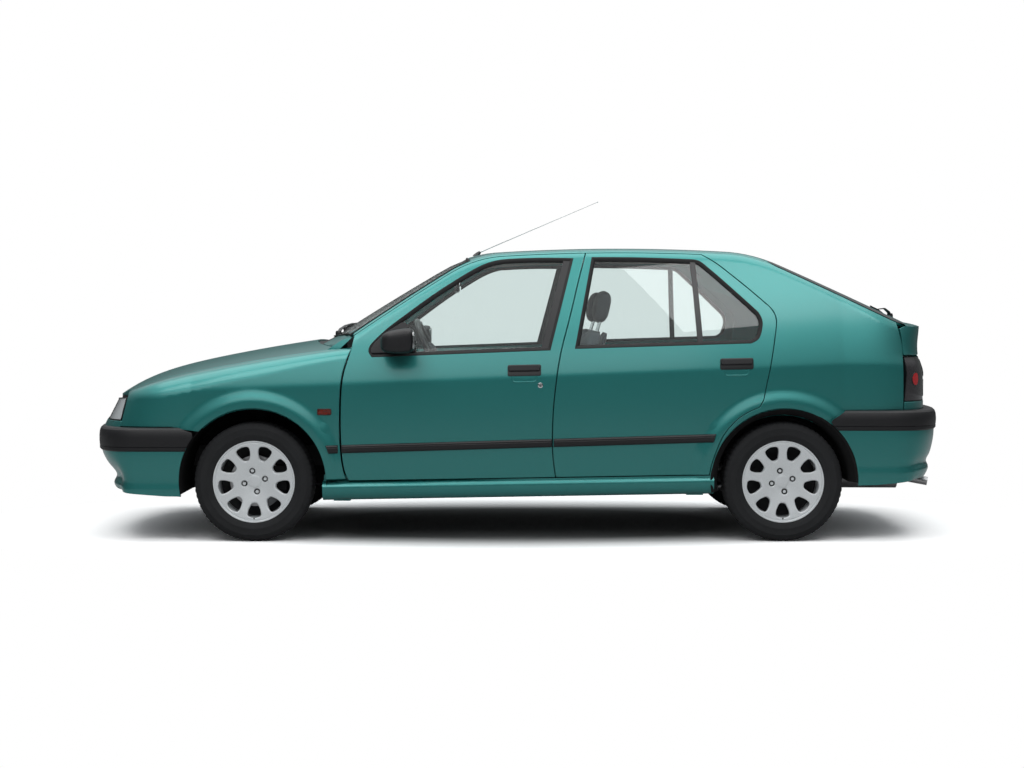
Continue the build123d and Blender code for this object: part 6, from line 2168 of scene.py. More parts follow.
    def mirrors(self) -> None:
        """Build the door mirrors."""
        side = self.lines.side
        corners = [(704, 902), (489, 911), (536, 1050), (560, 1052), (640, 1002), (696, 948), (711, 918)]
        sail = Loop.polygon(corners, 9.0)
        maker = PanelMaker(side, (16.0, 16.0))
        data = maker.sheet(sail.mapped(side.at_height), [], Hem(0.2, 3.0, 6.0, 4.0))
        self.shop.pair(
            "SIDE_mirror_base",
            data,
            Look.PLASTIC,
            FRONT_DOORS,
            slot="black_plastic",
            replaces=["SIDE_mirror"],
        )
        body = cushion_block((176, 204, 124), (13, 16, 10), 4.2)
        places = np.array(body.verts)
        share = (places[:, 1] + 102) / 204
        places[:, 0] = places[:, 0] * (1 - 0.12 * share) - 8.0 * share
        places[:, 2] = places[:, 2] * (0.94 + 0.06 * share) + 3.0 * share
        fore = np.clip((places[:, 0] + 88) / 176, 0, 1)
        places[:, 2] = places[:, 2] * (1 - 0.30 * fore**2) - 14.0 * fore
        places[:, 0] = np.where(places[:, 0] < -74, -74 + 0.25 * (places[:, 0] + 74), places[:, 0])
        body.verts = [tuple(p) for p in places + np.array((573.0, 914.4, 968.0))]
        self.shop.pair(
            "SIDE_mirror_housing", body, Look.PLASTIC, FRONT_DOORS, crease=60, slot="black_plastic"
        )
        y0 = side.point(592.0, 940.0)[1] - 4.0
        arm = sweep(
            [(592, y0, 938), (586, (y0 + 826) / 2, 940), (580, 846, 944)],
            rounded_rectangle(74, 46, 18, 5),
            scales=[1.15, 1.0, 0.95],
        )
        self.shop.pair("SIDE_mirror_arm", arm, Look.PLASTIC, FRONT_DOORS, crease=50, slot="black_plastic")
        outline = [(915 + u, 967 + v) for u, v in rounded_rectangle(172, 84, 20, 6)]
        glass = slab_between(492.0, 495.0, outline, "x")
        self.shop.pair("SIDE_mirror_glass", glass, Look.MIRROR, FRONT_DOORS, bevel=0.8)

    def wipers(self) -> None:
        """Build the windscreen wipers and the rear wiper with its pivot."""
        for k, (pivot, tip) in enumerate((((905, 300), (838, -250)), ((905, -160), (838, -620)))):
            self.wiper("windscreen_wiper_%d" % k, pivot, tip, "body")
        self.wiper("rear_window_wiper", (-1934, 0), (-1770, 330), "tailgate_lid", 26.0)

    @staticmethod
    def above_glass(p: np.ndarray, lift: float) -> Point3:
        """Return the point at a height above the glass, over a place in plan."""
        x, y = float(p[0]), float(p[1])
        return x, y, SKIN.cabin_z(x, y) + lift

    def wiper(self, name: str, pivot: Point2, tip: Point2, body: str, rise: float = 6.0) -> None:
        """Build one wiper lying on the glass from its pivot in plan."""
        on = self.above_glass
        a, b = np.array(pivot, float), np.array(tip, float)
        middle = a + (b - a) * 0.62
        path = [on(a, rise), on(a + (b - a) * 0.08, rise + 11)]
        path += [on(a + (b - a) * 0.3, 13 + rise), on(middle, 14)]
        arm = sweep(path, rounded_rectangle(15, 7, 2.5), scales=[1.25, 1.2, 0.9, 0.6])
        cap = lathe([(0.5, 12), (13, 10), (16, 2), (16, -6 - rise), (0.5, -7 - rise)], 24, False)
        foot = np.array(on(a, rise))
        arm.merge(cap.moved(lambda p: p[:, [0, 2, 1]] * np.array((1, -1, 1)) + foot))
        start, end = a + (b - a) * 0.22, b
        line = [start + (end - start) * t for t in spread(0, 1, 14)]
        blade = sweep([on(p, 7.5) for p in line], rounded_rectangle(7, 5, 1.5))
        blade.merge(sweep([on(p, 3.4) for p in line], rounded_rectangle(2.4, 6, 1)))
        ribs = [start + (end - start) * t for t in spread(0.12, 0.88, 9)]
        spine = [on(p, 12 - 4 * abs(k - 4) / 4) for k, p in enumerate(ribs)]
        blade.merge(sweep(spine, rounded_rectangle(6, 4, 1)))
        self.shop.piece(name + "_arm", arm, Look.TRIM, body, slot="black_plastic")
        self.shop.piece(name + "_blade", blade, Look.RUBBER, body)

    def aerial(self) -> None:
        """Build the aerial's base, joint and whip."""
        path = [(219, 0, 1384), (212, 0, 1396), (205, 0, 1405), (196, 0, 1414)]
        data = sweep(path, ring_section(15, 13, 20), (1, 0, 0), scales=[1.5, 1.15, 0.8, 0.5])
        self.shop.piece("aerial_base", data, Look.TRIM, "body", slot="black_plastic", replaces=["antenna"])
        points = [(206, 0, 1407), (140, 0, 1435.5), (-60, 0, 1520.7), (-413, 0, 1671.0)]
        whip = sweep(points, ring_section(2.4, 2.4, 10), (0, 1, 0), scales=[1.5, 1.0, 0.75, 0.5])
        whip.merge(sweep([(-409, 0, 1669.3), (-415, 0, 1671.9)], ring_section(2.4, 2.4, 10), (0, 1, 0)))
        self.shop.piece("aerial_whip", whip, Look.STEEL, "body")


# ----------------------------------------------------------------------------------------------
# Wheels
# ----------------------------------------------------------------------------------------------
class WheelFace(Surface):
    """The outer face of a wheel about its own centre: u is X and v is Z."""

    profile = ((0, 40), (40, 41), (60, 45), (90, 51), (120, 57), (150, 64), (178, 69), (187, 70), (200, 66))

    def point(self, u: float, v: float) -> Point3:
        """Return the face's point."""
        radius = math.hypot(u, v)
        return u, float(np.interp(radius, *zip(*self.profile))), v

    def outward(self, p: np.ndarray) -> np.ndarray:
        """Point away from the car."""
        return np.array((0.0, 1.0, 0.0))


@dataclass
class Wheels:
    """Tyres, wheels, bolts and the brakes behind them."""

    shop: Workshop
    track: float = 715.0
    axle_z: float = 287.0
    windows: int = 9
    blocks: int = 64
    bolt_circle: float = 51.0
    bolt_turn: float = 12.5
    rear_liner: tuple[Point2, ...] = (
        (353, 827), (343.5, 824), (329, 799), (318, 775), (318, 620), (314, 606), (296, 598)
    )
    front_liner: tuple[Point2, ...] = (
        (353, 826), (353, 760), (353, 700), (353, 620), (353, 480), (345, 455), (250, 452)
    )
    window: tuple[Point2, ...] = (
        (104, -0.12), (140, -0.215), (168, -0.2), (176, 0.0), (168, 0.2), (140, 0.215), (104, 0.12)
    )

    def build(self) -> None:
        """Build all four wheels."""
        tyre, face, rim = self.tyre(), self.face(), self.rim()
        bolts, rings, cap = self.bolts()
        valve = sweep([(0, 60, -182), (0, 74, -176)], ring_section(3.4, 3.4, 10), (1, 0, 0))
        for end, x in (("front", SKIN.front_axle_x), ("rear", SKIN.rear_axle_x)):
            bodies = ("%s_left_roll" % end, "%s_right_roll" % end)
            at = np.array((x, self.track, self.axle_z))
            for name, data, look, more in (
                ("tyre", tyre, Look.TYRE, {"replaces": [end + "_SIDE_tyre"], "slot": "tyre"}),
                ("wheel_face", face, Look.ALLOY, {"replaces": [end + "_SIDE_wheel"], "slot": "alloy"}),
                ("wheel_rim", rim, Look.ALLOY, {"slot": "alloy"}),
                ("wheel_bolts", bolts, Look.ALLOY, {}),
                ("wheel_bolt_wells", rings, Look.TRIM, {}),
                ("wheel_centre", cap, Look.ALLOY, {"slot": "alloy"}),
                ("wheel_valve", valve, Look.RUBBER, {}),
            ):
                mesh = data.moved(lambda p, at=at: p + at)
                if data.normals:
                    mesh.normals = data.normals
                self.shop.pair(end + "_SIDE_" + name, mesh, look, bodies, **more)
        self.brakes()
        self.liners()
        self.shop.dress(Look.LINER, "front_left_knuckle", "front_right_knuckle")
        LOG.info("wheels built")

    def brakes(self) -> None:
        """Build the brakes and the dark plates behind the wheels' windows."""
        disc = lathe([(52, 34), (66, 33), (68, 14), (122, 14), (123, 12), (123, -6), (60, -6), (52, 0)], 64)
        drum = lathe([(52, 34), (92, 33), (104, 24), (106, 20), (106, -30), (60, -32), (52, 0)], 64)
        plate = lathe([(64, -54), (160, -54), (172, -50), (177, -55), (177, -58), (64, -60)], 64)
        turns = [math.radians(a) for a in spread(196.0, 236.0, 7)]
        outer = [(140 * math.sin(a), 140 * math.cos(a)) for a in turns]
        inner = [(84 * math.sin(a), 84 * math.cos(a)) for a in turns[::-1]]
        caliper = slab_between(-40, 26, outer + inner)
        for end, x, hub, core in (
            ("front", SKIN.front_axle_x, ("front_left_steer", "front_right_steer"), disc),
            ("rear", SKIN.rear_axle_x, BODY, drum),
        ):
            rolls = ("%s_left_roll" % end, "%s_right_roll" % end)
            at = np.array((x, self.track, self.axle_z))
            pieces = [("brake_core", core, Look.STEEL if end == "front" else Look.CHASSIS, rolls, 0.0)]
            pieces += [("brake_plate", plate, Look.CHASSIS, hub, 0.0)]
            if end == "front":
                pieces += [("caliper", caliper, Look.ENGINE, hub, 3.0)]
            for name, data, look, bodies, bevel in pieces:
                mesh = data.moved(lambda p, at=at: p + at)
                self.shop.pair(end + "_SIDE_" + name, mesh, look, bodies, bevel=bevel)

    def liners(self) -> None:
        """Build the black linings of the wheel arches and their inner walls."""
        for end, x, low, high, liner in (
            ("front", SKIN.front_axle_x, -10.5, 189.0, self.front_liner),
            ("rear", SKIN.rear_axle_x, -9.0, 181.0, self.rear_liner),
        ):
            turns = [math.radians(a) for a in stations(low, high, 5.0)]
            rows = [
                [(x + r * math.cos(a), y, SKIN.arch_z + r * math.sin(a)) for a in turns]
                for r, y in liner
            ]
            data = shell(np.array(rows), 1.5)
            self.shop.pair(end + "_SIDE_arch_liner", data, Look.LINER, BODY)

    def tyre(self) -> MeshData:
        """Build the tyre with ribs on its wall and a grooved tread."""
        wall = [(196, -60), (192, -66), (197, -74), (205, -78.5), (222, -84.5), (226, -86.2), (228, -85.6)]
        wall += [
            (240, -87.2), (252, -86.8), (256, -87.4), (258, -86.2), (266, -83.6), (272, -81.0), (276, -78.6)
        ]
        tread = [(280.5, -75.5), (283.5, -71), (285.6, -65), (286.2, -58), (286.5, -50), (286.6, -42.5)]
        tread += [(279.5, -41.5), (279.5, -35.5), (286.8, -34.5), (286.9, -24), (287, -14.5), (279.5, -13.5)]
        tread += [(279.5, -7.5), (287, -6.5), (287, 0)]
        half = wall + tread
        profile = half + [(r, -y) for r, y in half[::-1][1:]]
        steps = 5
        data = MeshData()
        verts = []
        for k in range(self.blocks * steps):
            a = 2 * math.pi * k / (self.blocks * steps)
            phase = k % steps
            for r, y in profile:
                depth = 0.0
                if r > 270 and phase in (0, 1):
                    depth = 2.0 if abs(y) > 43 else (3.0 if phase == 0 else 0.0)
                verts.append(((r - depth) * math.sin(a), y, (r - depth) * math.cos(a)))
        data.add(verts, grid_faces(self.blocks * steps, len(profile), False, cyclic=True))
        return data

    def face(self) -> MeshData:
        """Build the face with its rounded windows."""
        maker = PanelMaker(WheelFace(), (9.0, 9.0))
        holes = []
        for k in range(self.windows):
            middle = 2 * math.pi * (k + 0.5) / self.windows
            corners = []
            for radius, turn in self.window:
                a = middle + turn
                corners.append((radius * math.sin(a), radius * math.cos(a)))
            holes.append(Loop.polygon(corners, 13.0, 6.0))
        for x, z in self.bolt_places():
            holes.append(Loop.ellipse(x, z, 13, 13, 24))
        return maker.sheet(Loop.ellipse(0, 0, 189, 189, 120), holes, Hem(0.0, 6.0, 13.0, 0.0))

    def bolt_places(self) -> list[Point2]:
        """Return the bolts' places about the wheel's centre, as (x, z)."""
        turns = [math.radians(self.bolt_turn + 90.0 * k) for k in range(4)]
        return [(self.bolt_circle * math.sin(a), self.bolt_circle * math.cos(a)) for a in turns]

    def rim(self) -> MeshData:
        """Build the rolled lip and the barrel behind the face."""
        profile = [(184, 62), (186.5, 68), (191, 72.5), (196, 73.5), (199.5, 71.5), (200, 67), (197, 62)]
        profile += [
            (190, 58), (186, 50), (182, 30), (176, -20), (184, -60), (197, -66), (199, -72), (194, -73)
        ]
        profile += [(180, -60), (170, -20), (174, 30), (179, 52)]
        return lathe(profile, 96)

    def bolts(self) -> tuple[MeshData, MeshData, MeshData]:
        """Build the bolt heads, the wells they stand in, and the centre cap."""
        heads, wells = MeshData(), MeshData()
        head = [(8.2 * math.cos(k * math.pi / 3), 8.2 * math.sin(k * math.pi / 3)) for k in range(6)]
        for x, z in self.bolt_places():
            heads.merge(slab_between(20, 40.5, [(x + u, z + v) for u, v in head]))
            well = lathe([(13.4, 41.5), (12.2, 42.2), (12.0, 26), (0.5, 25), (0.5, 22), (14, 22)], 24)
            wells.merge(well.moved(lambda p, x=x, z=z: p + np.array((x, 0, z))))
        cap = lathe([(0.4, 45), (16, 44.6), (26, 43.6), (29.5, 42.4), (30.4, 39)], 48, False)
        return heads, wells, cap


# ----------------------------------------------------------------------------------------------
# Tail
# ----------------------------------------------------------------------------------------------
@dataclass
class Tail:
    """The tailgate's upright part, the lip over it, and the panels round the lamps."""

    shop: Workshop
    lines: Lines
    top_z: float = 1036.0
    sill_z: float = 631.0
    lamp_z: float = 892.0
    lamp_y: float = 462.0
    lip_y: float = 708.0
    lip_start: float = -1932.0

    def build(self) -> None:
        """Build the tail."""
        tail = EndSurface(False)
        maker = PanelMaker(tail, (32.0, 24.0))
        sides = [(1851.5, 894.0), (1848.0, 930.0), (1843.5, 972.0), (1838.0, 1005.0), (1834.0, 1022.0)]
        half = [(0.0, self.sill_z + 1), (tail.round_at_y(self.lamp_y, 640.0), self.sill_z + 1)]
        half += [(tail.round_at_y(self.lamp_y, self.lamp_z), self.lamp_z)]
        half += [(tail.round_at_x(x, z), z) for x, z in sides]
        half += [(tail.round_at_x(1834.0, 1022.0) - 30, self.top_z - 3), (0.0, self.top_z - 3)]
        ring = half + [(-u, z) for u, z in half[::-1]]
        apart = [p for k, p in enumerate(ring) if k == 0 or math.dist(p, ring[k - 1]) > 1]
        outline = Loop.polygon(apart, 7.0)
        data = maker.sheet(outline, [], Hem(0.6, 2.4, 26.0, 1.2))
        self.shop.piece(
            "tailgate_lower_skin", data, Look.PAINT, "tailgate_lid", slot="paint", replaces=["tailgate"]
        )
        lining = maker.slab(outline.grown(-9.0), 27.0, 4.0)
        self.shop.piece("tailgate_lining", lining, Look.DASH, "tailgate_lid")
        glass = self.lines.tailgate_glass()
        frame = PanelMaker(self.lines.top, (30.0, 30.0)).sheet(
            self.lines.tailgate_top().grown(-6.0), [glass.grown(2.0)], Hem(0.0, 2.0, 4.0, -16.0)
        )
        self.shop.piece("tailgate_frame_lining", frame, Look.DASH, "tailgate_lid")
        self.shop.piece("tailgate_lip", self.lip(tail), Look.PAINT, "tailgate_lid", crease=60, slot="paint")
        corners = [(tail.round_at_y(469.0, 632.0), 631), (tail.round_at_x(1853.0, 632.0), 631)]
        corners += [(tail.round_at_x(1853.0, 668.0), 668), (tail.round_at_y(469.0, 668.0), 668)]
        corner = Loop.polygon(corners, 6.0)
        data = maker.sheet(corner, [], Hem(0.5, 2.0, 10.0, 1.2))
        self.shop.pair("rear_corner_SIDE_skin", data, Look.PAINT, BODY, slot="paint")
        self.plate()
        LOG.info("tail built")

    def lip(self, tail: EndSurface) -> MeshData:
        """Build the rounded lip that joins the sloping part to the upright part."""
        rows = []
        for y in spread(-self.lip_y, self.lip_y, 61):
            u = tail.round_at_y(y, self.top_z)
            foot = np.array(tail.point(u, self.top_z - 6.0)) + tail.normal(u, self.top_z - 6.0) * 1.2
            start = max(self.lip_start, float(foot[0]) + 12.0)
            head = np.array((start, y, SKIN.cabin_z(start, y) + 1.8))
            before = np.array((start + 30.0, y, SKIN.cabin_z(start + 30.0, y) + 1.8))
            slope = (head - before) / 30.0
            gap = float(head[0] - foot[0])
            near = head + slope * 0.55 * gap + np.array((0, 0, 3.0))
            far = foot + np.array((0, 0, 0.8 * max(6.0, head[2] - foot[2])))
            row = [before - (0, 0, 4.0)]
            for t in spread(0.0, 1.0, 9):
                first = (1 - t) ** 3 * head + 3 * t * (1 - t) ** 2 * near
                row.append(first + 3 * t * t * (1 - t) * far + t**3 * foot)
            row.append(foot - (0, 0, 12.0))
            rows.append(row)
        grid = np.array(rows)
        data = MeshData()
        data.add(grid.reshape(-1, 3), [f[::-1] for f in grid_faces(*grid.shape[:2])])
        return data

    def plate(self) -> None:
        """Build the blank rear plate with the lamp bar over it."""
        for name, look, size, x in (
            ("rear_plate_holder", Look.PLASTIC, (526, 116), (-2021.5, -2016.5)),
            ("rear_plate", Look.PLATE, (516, 106), (-2023.5, -2021.4)),
        ):
            outline = [(u, v + 722) for u, v in rounded_rectangle(size[0], size[1], 8)]
            self.shop.piece(name, slab_between(*x, outline, "x"), look, "tailgate_lid", bevel=0.8)
        bar = [(u, v + 800) for u, v in rounded_rectangle(560, 26, 9)]
        data = slab_between(-2031.0, -2014.0, bar, "x")
        self.shop.piece("plate_lamp_bar", data, Look.TRIM, "tailgate_lid", slot="black_plastic", bevel=4.0)


# ----------------------------------------------------------------------------------------------
# Cabin
# ----------------------------------------------------------------------------------------------
@dataclass(frozen=True)
class Pad:
    """One stuffed cushion: its size when slack, how it swells, and its sewn seams."""

    size: Point3
    voxel: float = 9.0
    pressure: float = 4.0
    cap: float = 16.0
    power: float = 5.0
    crown: float = 10.0
    seams_y: tuple[float, ...] = ()
    seams_x: tuple[float, ...] = ()
    seam_depth: float = 8.0

    def build(self) -> MeshData:
        """Build the cushion about its own centre, with its top face up."""
        steps = tuple(max(6, round(s / 26)) for s in self.size)
        return self.sewn(self.swollen(cushion_block(self.size, steps, self.power, self.crown)))

    def swollen(self, data: MeshData) -> MeshData:
        """Blow the shape up by a cloth simulation."""
        scene = bpy.context.scene
        mesh = bpy.data.meshes.new("slack")
        mesh.from_pydata((np.array(data.verts) * MM).tolist(), [], data.faces)
        thing = bpy.data.objects.new("slack", mesh)
        scene.collection.objects.link(thing)
        remesh = thing.modifiers.new("even", "REMESH")
        remesh.mode, remesh.voxel_size = "VOXEL", self.voxel * MM * 1.0
        thing.data = self.evaluated(thing)
        thing.modifiers.clear()
        start = np.array([v.co for v in thing.data.vertices])
        cloth = thing.modifiers.new("stuffing", "CLOTH")
        cloth.settings.use_pressure = True
        cloth.settings.uniform_pressure_force = self.pressure
        cloth.settings.effector_weights.gravity = 0.0
        cloth.settings.quality = 4
        cloth.point_cache.frame_start, cloth.point_cache.frame_end = 1, 20
        for frame in range(1, 21):
            scene.frame_set(frame)
        thing.data = self.evaluated(thing)
        thing.modifiers.clear()
        scene.frame_set(1)
        end = np.array([v.co for v in thing.data.vertices])
        moved = end - start
        size = np.linalg.norm(moved, axis=1)[:, None]
        end = start + moved * np.minimum(1.0, self.cap * MM / np.maximum(size, 1e-9))
        result = MeshData(
            [tuple(p) for p in end / MM], [tuple(p.vertices) for p in thing.data.polygons], []
        )
        bpy.data.objects.remove(thing)
        return result

    @staticmethod
    def evaluated(thing: bpy.types.Object) -> bpy.types.Mesh:
        """Return a copy of the object's mesh with its modifiers applied."""
        graph = bpy.context.evaluated_depsgraph_get()
        graph.update()
        return bpy.data.meshes.new_from_object(thing.evaluated_get(graph))

    def sewn(self, data: MeshData) -> MeshData:
        """Draw the seams into the upper face."""
        p = np.array(data.verts)
        upper = np.clip(p[:, 2] / (0.3 * self.size[2]), 0.0, 1.0)
        for axis, seams in ((1, self.seams_y), (0, self.seams_x)):
            for at in seams:
                inside = np.ones(len(p))
                if axis == 0 and self.seams_y:
                    inside = np.clip((max(self.seams_y) + 6 - np.abs(p[:, 1])) / 12, 0.0, 1.0)
                fold = np.exp(-(((p[:, axis] - at) / 7.0) ** 2))
                p[:, 2] -= self.seam_depth * fold * upper * inside
        data.verts = [tuple(q) for q in p]
        return data


@dataclass
class Cabin:
    """Seats, dashboard, wheel, linings and mirror."""

    shop: Workshop
    lines: Lines
    seat_y: float = 365.0
    wheel_centre: Point3 = (432.0, 365.0, 890.0)
    wheel_radius: float = 180.0
    tilt: float = 24.0

    def build(self) -> None:
        """Build the cabin."""
        self.front_seats()
        self.rear_seat()
        self.steering_wheel()
        self.dashboard()
        self.linings()
        self.rear_view_mirror()
        LOG.info("cabin built")

    def soft(self, name: str, data: MeshData, look: Look, replaces: Sequence[str] = ()) -> None:
        """Make one cushion of the cabin."""
        thing = self.shop.piece(name, data, look, "body", 70, "cloth", replaces)

    def front_seats(self) -> None:
        """Build both front seats with head restraints, shells and runners."""
        cushion = Pad((470, 458, 124), seams_y=(-142, 142), seams_x=(-120, -20, 80)).build()
        back = Pad((560, 440, 84), seams_y=(-138, 138), seams_x=(-150, -50, 50, 150)).build()
        head = Pad((158, 226, 72), voxel=7.0, cap=9.0, seams_x=(0,), seam_depth=3.0, power=3.6).build()
        for side in Side:
            y = side.value * self.seat_y
            word = side.word
            flat = turned(cushion, about("Y", -3), (70, y, 466))
            instead = ["front_seats"] if side is Side.LEFT else []
            self.soft("front_%s_seat_cushion" % word, flat, Look.CLOTH, instead)
            upright = turned(back, about("Y", 69), (-290, y, 760))
            self.soft("front_%s_seat_back" % word, upright, Look.CLOTH)
            upright = turned(head, about("Y", 78), (-418, y, 1126))
            self.soft("front_%s_head_restraint" % word, upright, Look.CLOTH_SIDE)
            hard = MeshData()
            for d in (-60, 60):
                path = [(-392, y + d, 1000), (-424, y + d, 1105)]
                hard.merge(sweep(path, ring_section(6, 6, 14), (0, 1, 0)))
            self.shop.piece("front_%s_seat_posts" % word, hard, Look.CHROME, "body")
            base = MeshData()
            rail = [(-150, 263), (300, 263), (300, 283), (-150, 283)]
            web = [(-120, 283), (260, 283), (230, 400), (-150, 400)]
            for d in (-190, 190):
                base.merge(slab_between(y + d - 17, y + d + 17, rail))
                base.merge(slab_between(y + d - 4, y + d + 4, web))
            self.shop.piece("front_%s_seat_runners" % word, base, Look.STEEL, "body", bevel=1.5)
            tray = cushion_block((440, 430, 50), (14, 14, 4), 8.0)
            tray = turned(tray, Matrix.Identity(4), (62, y, 408))
            self.shop.piece("front_%s_seat_tray" % word, tray, Look.DASH, "body", 60)
            shell_back = cushion_block((548, 420, 26), (18, 14, 3), 7.0)
            shell_back = turned(shell_back, about("Y", 69), (-336, y, 742))
            self.shop.piece("front_%s_seat_shell" % word, shell_back, Look.CLOTH_SIDE, "body", 60)

    def rear_seat(self) -> None:
        """Build the rear bench and backrest."""
        cushion = Pad((390, 1120, 120), voxel=11.0, seams_y=(-330, 0, 330), seams_x=(-60, 60)).build()
        bench = cushion.moved(lambda p: p + np.array((-842, 0, 500)))
        self.soft("rear_bench_cushion", bench, Look.CLOTH, ["rear_seat"])
        back = Pad((480, 1100, 84), voxel=11.0, seams_y=(-330, 0, 330), seams_x=(-120, 0, 120)).build()
        upright = turned(back, about("Y", 68), (-1148, 0, 718))
        p = np.array(upright.verts)
        reach = np.hypot(p[:, 0] - SKIN.rear_axle_x, p[:, 2] - SKIN.arch_z)
        near = np.clip((372 - reach) / 60, 0, 1) * np.clip((np.abs(p[:, 1]) - 400) / 30, 0, 1)
        p[:, 1] = np.sign(p[:, 1]) * (np.abs(p[:, 1]) - near * np.maximum(0, np.abs(p[:, 1]) - 412))
        upright.verts = [tuple(q) for q in p]
        self.soft("rear_bench_back", upright, Look.CLOTH)

    def wheel_frame(self) -> Matrix:
        """Return the steering wheel's frame: Z along its axis, X to the left."""
        a = math.radians(self.tilt)
        axis = Vector((-math.cos(a), 0, math.sin(a)))
        across = Vector((0, 1, 0))
        return Matrix((across, axis.cross(across), axis)).transposed()

    def steering_wheel(self) -> None:
        """Build the rim, spokes and padded boss."""
        frame = self.wheel_frame()
        turns = [2 * math.pi * k / 72 for k in range(72)]
        r = self.wheel_radius
        path = [(r * math.cos(a), r * math.sin(a), 0) for a in turns]
        rim = sweep(path, ring_section(13.6, 13.6, 14), (0, 0, 1), cyclic=True)
        for angle in (-14.0, 194.0, 270.0):
            a = math.radians(angle)
            line = [(s * math.cos(a), s * math.sin(a), -8 + 6 * s / r) for s in spread(46, r - 6, 6)]
            across = (math.sin(a), -math.cos(a), 0.0)
            taper = [1.25, 1.1, 0.9, 0.78, 0.72, 0.7]
            rim.merge(sweep(line, rounded_rectangle(15, 44, 6, 4), across, taper))
        rim = turned(rim, frame, self.wheel_centre)
        self.shop.piece(
            "steering_wheel_rim", rim, Look.TRIM, "hand_wheel", 50, "black_plastic", ["steering_wheel"]
        )
        boss = cushion_block((150, 118, 52), (14, 12, 6), 4.5, 6.0)
        boss = turned(boss, frame, self.wheel_centre)
        self.shop.piece("steering_wheel_boss", boss, Look.DASH, "hand_wheel", 60)
        a = math.radians(self.tilt)
        path = [(self.wheel_centre[0] + s * math.cos(a), 365, 890 - s * math.sin(a)) for s in (6, 34)]
        hub = sweep(path, ring_section(30, 30, 24), (0, 1, 0))
        self.shop.piece("steering_hub", hub, Look.TRIM, "hand_wheel")

    def dashboard(self) -> None:
        """Build the instruments, vents, controls and console over the dashboard."""
        face = MeshData()
        for y in (self.seat_y - 62, self.seat_y + 62):
            ring = lathe([(50, -4), (54, 4), (57, 3), (57, -6)], 40)
            face.merge(turned(ring, about("Z", 90), (518, y, 893)))
        self.shop.piece("dial_rings", face, Look.TRIM, "body")
        for k, y in enumerate((self.seat_y - 62, self.seat_y + 62)):
            disc = lathe([(0.5, 1.5), (50, 1.5), (50, -2), (0.5, -2)], 40)
            disc = turned(disc, about("Z", 90), (518, y, 893))
            self.shop.piece("dial_%d" % k, disc, Look.DIAL, "body")
            marks = MeshData()
            for step in range(17):
                a = math.radians(-125 + 250 * step / 16)
                long = 9 if step % 2 == 0 else 5
                u, v = math.sin(a), math.cos(a)
                inner, outer = (46 - long), 46
                path = [(515.6, y + inner * u, 893 + inner * v), (515.6, y + outer * u, 893 + outer * v)]
                marks.merge(sweep(path, rounded_rectangle(1.6, 1.0, 0.3, 2), (1, 0, 0)))
            self.shop.piece("dial_marks_%d" % k, marks, Look.PLATE, "body")
            a = math.radians(-95 + 30 * k)
            u, v = math.sin(a), math.cos(a)
            path = [(514.8, y + s * u, 893 + s * v) for s in (-8, 40)]
            needle = sweep(path, rounded_rectangle(2.2, 1.4, 0.5, 2), (1, 0, 0), [1.6, 0.6])
            self.shop.piece("dial_needle_%d" % k, needle, Look.NEEDLE, "body")
        vents, slats = MeshData(), MeshData()
        for y in (-600, -60, 60, 600):
            outline = [(y + u, 846 + v) for u, v in rounded_rectangle(106, 56, 10)]
            vents.merge(slab_between(548, 562, outline, "x"))
            for v in (-18, -6, 6, 18):
                outline = [(y + u, 846 + v + w) for u, w in rounded_rectangle(94, 3.4, 1)]
                slats.merge(slab_between(543, 550, outline, "x"))
        self.shop.piece("air_vents", vents, Look.TRIM, "body", bevel=2)
        self.shop.piece("air_vent_slats", slats, Look.PLASTIC, "body", bevel=0.6)
        panel = MeshData()
        for z, tall in ((664, 46), (612, 40)):
            outline = [(u, z + v) for u, v in rounded_rectangle(176, tall, 5)]
            panel.merge(slab_between(414, 424, outline, "x"))
        for y in (-56, 0, 56):
            knob = lathe([(0.5, 12), (13, 11), (15, 0), (15, -6), (0.5, -6)], 28, False)
            panel.merge(turned(knob, about("Z", 90), (412, y, 664)))
        self.shop.piece("console_controls", panel, Look.TRIM, "body", bevel=1.2)
        lever = sweep([(330, 0, 366), (322, 0, 460), (300, 0, 560)], ring_section(8, 8, 14), (0, 1, 0))
        self.shop.piece("gear_lever", lever, Look.STEEL, "body")
        gaiter = lathe([(60, -28), (56, -8), (44, 14), (34, 26), (24, 44), (16, 58), (9, 74)], 32, False)
        turn = about("X", 90)
        self.shop.piece("gear_gaiter", turned(gaiter, turn, (328, 0, 388)), Look.CLOTH_SIDE, "body")
        knob = cushion_block((44, 44, 62), (8, 8, 10), 2.6)
        self.shop.piece("gear_knob", knob.moved(lambda p: p + np.array((298, 0, 580))), Look.TRIM, "body", 60)
        path = [(-60, 0, 380), (60, 0, 420), (190, 0, 470)]
        brake = sweep(path, rounded_rectangle(26, 22, 8), scales=[1.2, 1, 1.15])
        self.shop.piece("hand_brake", brake, Look.TRIM, "body", 50)

